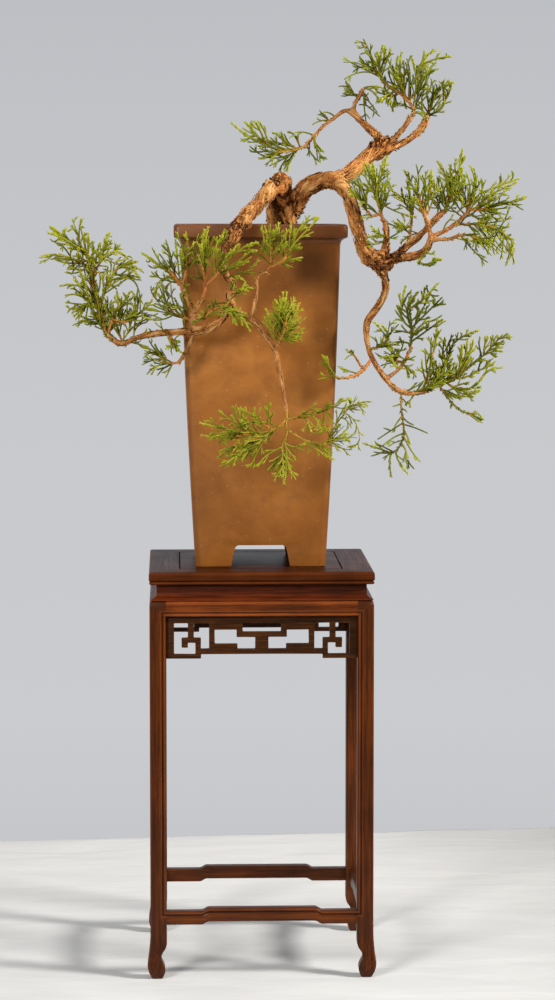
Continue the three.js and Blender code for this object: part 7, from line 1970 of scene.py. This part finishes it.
def stretcher_section(x):
    front = -BODY_HALF + 0.5
    back = front + STRETCHER_DEPTH
    high, low = STRETCHER_HIGH + stretcher_rise(x), STRETCHER_LOW + stretcher_rise(x)
    loop, crests = [(x, back, high - 0.1), (x, front + 3.0, high)], [0.0, 0.1]
    for d in [v for v in MOULDING if v <= 3.4] + [3.9, 4.8, 6.0, 7.2, 8.4, 9.2, 9.7, 9.9]:
        if d <= GROOVE_END:
            height, crest = moulding_height(min(d, 3.0)), moulding_crest(d)
        else:
            height = -0.9 + 0.9 * math.sqrt(max(0.0, 1 - ((d - 6.6) / 3.4) ** 2))
            crest = 0.5 * max(0.0, 1 - abs(d - 6.0) / 2.6)
        loop.append((x, front - height, high - d))
        crests.append(crest)
    return loop + [(x, back, low)], crests + [0.0]


def build_stretchers(material):
    steps = [np.linspace(-OPENING, OPENING, 15), np.linspace(-45, -38.5, 9), np.linspace(38.5, 45, 9)]
    loops, crests = zip(*(stretcher_section(x) for x in sorted(set(np.concatenate(steps)))))
    for number, side in enumerate(SIDES):
        swept_rail(f"stretcher_{side}", loops, crests, number, material, f"stand_stretcher_{side}", 200.0)


def mitred_ring(name, profile, crest, material, node):
    """Four rails of one profile, (distance from the axis, height), meeting on the diagonals"""
    shares = (-1.0, -0.5, 0.0, 0.5, 1.0)
    base = np.array([(share * half, -half, z) for share in shares for half, z in profile])
    vertices, faces, grains = [], [], []
    for number in range(4):
        faces += loft_faces(len(shares), len(profile), offset=number * len(base))
        grains.append(np.column_stack([base[:, 0] + 400 * number, base[:, 1] + 23 * number, base[:, 2]]))
        vertices.append(turned(base, number))
    piece = add_piece(name, np.vstack(vertices), faces, material, "lacquer", (node,), layers={
        "grain": np.vstack(grains), "crest": crest * len(shares) * 4,
    })
    face_outwards(piece.data)
    smooth_angle(piece, 38)


def build_top_frame(material):
    under = [(2.4, 0.0, 0), (1.3, 0.2, 0.3), (0.5, 0.7, 0.8), (0.25, 1.3, 1.0), (0.5, 1.9, 0.6),
             (1.1, 2.3, 0.1), (1.2, 2.6, 0), (0.5, 3.0, 0.1), (0.0, 3.6, 0.3)]
    over = [(0.0, 2.4, 0.4), (0.15, 1.2, 0.8), (0.6, 0.5, 0.7), (1.5, 0.1, 0.3), (3.0, 0.0, 0.0)]
    points = [(LEDGE_INNER, TOP_UNDER, 0)]
    points += [(TOP_HALF - inset, TOP_UNDER + rise, worn) for inset, rise, worn in under]
    points += [(TOP_HALF - inset, STAND_TOP - drop, worn) for inset, drop, worn in over]
    points += [(FRAME_INNER + 0.5, STAND_TOP, 0), (FRAME_INNER, STAND_TOP - 0.5, 0),
               (FRAME_INNER, TOP_UNDER + 3.0, 0), (LEDGE_INNER, TOP_UNDER + 3.0, 0)]
    mitred_ring("top_frame", [point[:2] for point in points], [point[2] for point in points], material,
                "stand_top_frame")


def build_top_panel(material):
    corner = 0.4
    vertices, faces = square_loft([
        (TOP_UNDER + 3.0, PANEL_HALF, corner), (STAND_TOP - 0.7, PANEL_HALF, corner),
        (STAND_TOP - 0.15, PANEL_HALF - 0.25, corner), (STAND_TOP, PANEL_HALF - 0.8, corner),
    ], 2)
    grain = np.column_stack([vertices[:, 0] + 950, vertices[:, 1], vertices[:, 2]])
    piece = add_piece("top_panel", vertices, faces, material, "lacquer", ("stand_top_panel",), layers={
        "grain": grain, "crest": np.zeros(len(vertices)),
    })
    smooth_angle(piece, 30)


def build_waist(material):
    inner = BODY_HALF - APRON_DEPTH
    profile = [
        (inner, BODY_TOP), (BODY_HALF - 0.4, BODY_TOP), (BODY_HALF - 0.7, BODY_TOP + 0.5),
        (BODY_HALF - 1.6, BODY_TOP + 1.1), (BODY_HALF - 3.0, BODY_TOP + 1.7),
        (WAIST_HALF + 1.0, BODY_TOP + 2.4), (WAIST_HALF + 0.3, BODY_TOP + 3.4),
        (WAIST_HALF, BODY_TOP + 4.4), (WAIST_HALF, TOP_UNDER), (inner, TOP_UNDER),
    ]
    mitred_ring("waist", profile, [0, 0.5, 0.4, 0.2, 0.1, 0, 0, 0, 0, 0], material, "stand_waist")


def eased_lattice(source):
    """Points in millimetres, faces and wear of a packed lattice with its edges rounded"""
    work = bmesh.new()
    work.from_mesh(source.data)
    work.transform(source.matrix_world)
    bmesh.ops.remove_doubles(work, verts=work.verts, dist=0.00002)
    bmesh.ops.dissolve_limit(work, angle_limit=math.radians(1), verts=work.verts, edges=work.edges)
    sharp = [edge for edge in work.edges if edge.is_manifold and edge.calc_face_angle(0.0) > math.radians(40)]
    bmesh.ops.bevel(work, geom=sharp, offset=0.75 * MM, segments=3, profile=0.6, affect="EDGES",
                    clamp_overlap=True)
    bmesh.ops.triangulate(work, faces=work.faces)
    points = (np.array([vertex.co for vertex in work.verts]) - AXIS) / MM
    faces = [tuple(vertex.index for vertex in face.verts) for face in work.faces]
    worn = [1.6 * (1.0 - max(abs(part) for part in vertex.normal)) for vertex in work.verts]
    work.free()
    return points, faces, worn


def build_lattices(material):
    """The openwork panels with eased, slightly uneven edges"""
    uneven = 0.28
    for number, side in enumerate(SIDES):
        node = f"stand_lattice_{side}"
        points, faces, worn = eased_lattice(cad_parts[node])
        along = number % 2
        for point in points:
            point[2] += uneven * noise.noise(point * 0.11)
            point[along] += uneven * noise.noise(point * 0.11 + np.array([50.0, 0.0, 0.0]))
        grain = np.column_stack([points[:, along] + 130 * number, points[:, 2], points[:, 1 - along]])
        piece = add_piece(f"lattice_{side}", points, faces, material, "lacquer", (node,), layers={
            "grain": grain, "crest": worn,
        })
        smooth_angle(piece, 50)


def build_stand():
    # Lighter and darker copies of one lacquer for the pieces: painted light and shade, lightest on the
    # aprons, which face a little upwards and catch the light
    lacquer = lacquer_material("lacquer", 0.86)
    build_legs(lacquer)
    build_aprons(lacquer_material("lacquer_apron_lit", 1.12))
    build_stretchers(lacquer)
    top = lacquer_material("lacquer_top", 0.76, 0.95, 0.05)
    build_top_frame(top)
    build_top_panel(top)
    build_waist(lacquer_material("lacquer_waist", 0.94, 0.86, 0.09))
    build_lattices(lacquer_material("lacquer_dark", 0.8, 1.14))


# Floor, light and camera
def cloth_material():
    cloth = Shader("pale_cloth", Roughness=0.9, Specular_IOR_Level=0.2)
    spot = cloth.position()
    weave = cloth.noise(spot, 900.0, 2.0, 0.5)
    folds = cloth.noise(cloth.stretch(spot, (1.0, 2.4, 1.0)), 9.0, 3.0, 0.5, 0.4)
    # Painted shade: the cloth is darker in the hollows of its folds
    colour = cloth.ramp(folds, [(0.3, (202, 204, 206)), (0.7, (212, 214, 216))])
    where = cloth.separate(spot)
    # Painted light and shade: the cloth is lighter towards the back and darker towards the right
    colour = cloth.mix(cloth.level(where["Y"], 0.05, 0.3, 0.0, 0.55), colour, srgb(236, 237, 238))
    colour = cloth.mix(cloth.level(where["X"], 0.08, 0.34, 0.0, 0.72), colour, srgb(176, 177, 177))
    cloth.bump(cloth.maths("ADD", folds, cloth.maths("MULTIPLY", weave, 0.02)), 0.006, 0.5)
    return cloth.finish(colour)


def build_floor():
    """A cloth that hangs over a rounded edge all round and is slightly uneven away from the stand"""
    size, overhang, edge, hang, flat = 90, 40.0, 6.0, 12.0, 120.0
    vertices = []
    for x, y in sheet_places(size, FLOOR_HALF + overhang):
        over = max(0.0, max(abs(x), abs(y)) - FLOOR_HALF)
        x, y = (max(-FLOOR_HALF - hang, min(FLOOR_HALF + hang, v)) for v in (x, y))
        z = -0.05 - min(over, edge) ** 2 * 0.09 - max(0.0, over - edge) * 2.4
        away = max(0.0, max(abs(x), abs(y)) - flat) / 200.0
        z -= min(1.0, away) * (0.9 + 0.9 * noise.noise((x * 0.012, y * 0.03, 4.0)))
        vertices.append((x, y + REAR_SLANT * x * max(0.0, y / FLOOR_HALF), z))
    add_piece("floor", vertices, sheet_faces(size), cloth_material())


def build_world():
    """A pale backdrop behind the stand, and a grey room before it"""
    world = bpy.data.worlds.new("studio")
    bpy.context.scene.world = world
    world.use_nodes = True
    nodes = Nodes(world.node_tree)
    where = nodes.separate(nodes.add("ShaderNodeTexCoord").outputs["Generated"])
    backdrop = nodes.ramp(nodes.level(where["Z"], -0.3, 0.3), [
        (0.0, (188, 189, 194)), (0.13, (193, 194, 198)), (0.24, (203, 204, 208)), (0.38, (200, 201, 205)),
        (0.5, (196, 197, 201)), (0.64, (187, 189, 194)),
    ])
    colour = nodes.mix(nodes.level(where["Y"], 0.2, 0.8), srgb(112, 110, 108), backdrop)
    nodes.join(colour, world.node_tree.nodes["Background"].inputs["Color"])


def add_light(name, at, aim, size, power, colour):
    lamp = bpy.data.lights.new(name, "AREA")
    lamp.shape = "DISK"
    lamp.size = size
    lamp.energy = power
    lamp.color = colour
    holder = bpy.data.objects.new(name, lamp)
    bpy.context.scene.collection.objects.link(holder)
    spot = np.array(at) * MM + AXIS
    holder.location = spot
    holder.rotation_euler = Vector(np.array(aim) * MM + AXIS - spot).to_track_quat("-Z", "Y").to_euler()


def build_camera():
    lens = bpy.data.cameras.new("camera")
    lens.sensor_fit = "VERTICAL"
    lens.sensor_height = SENSOR
    lens.lens = FOCAL / PICTURE_LONG_SIDE * SENSOR
    lens.clip_start = 0.05
    lens.clip_end = 50.0
    camera = bpy.data.objects.new("camera", lens)
    bpy.context.scene.collection.objects.link(camera)
    turn = Matrix((RIGHT, UP, -FORWARD)).transposed().to_4x4()
    turn.translation = EYE * MM + AXIS
    camera.matrix_world = turn
    bpy.context.scene.camera = camera


build_camera()
build_world()
add_light("key", (1520, -760, 1250), (0, 0, 400), 0.42, 52.0, (1.0, 0.95, 0.88))
add_light("fill", (-1050, -1700, 1050), (0, 0, 300), 0.6, 36.0, (1.0, 0.97, 0.92))
add_light("top", (100, -300, 1900), (0, 0, 300), 0.8, 4.0, (1.0, 0.98, 0.95))
build_floor()

wood = Wood()
bark = bark_material()
build_wood(wood, bark)
build_flakes(wood, bark)
leaf = leaf_material()
build_foliage(wood, leaf)
clothe_limbs(wood, leaf)
build_pot(clay_material())
build_soil()
build_stand()

bpy.context.scene.view_settings.view_transform = "Standard"
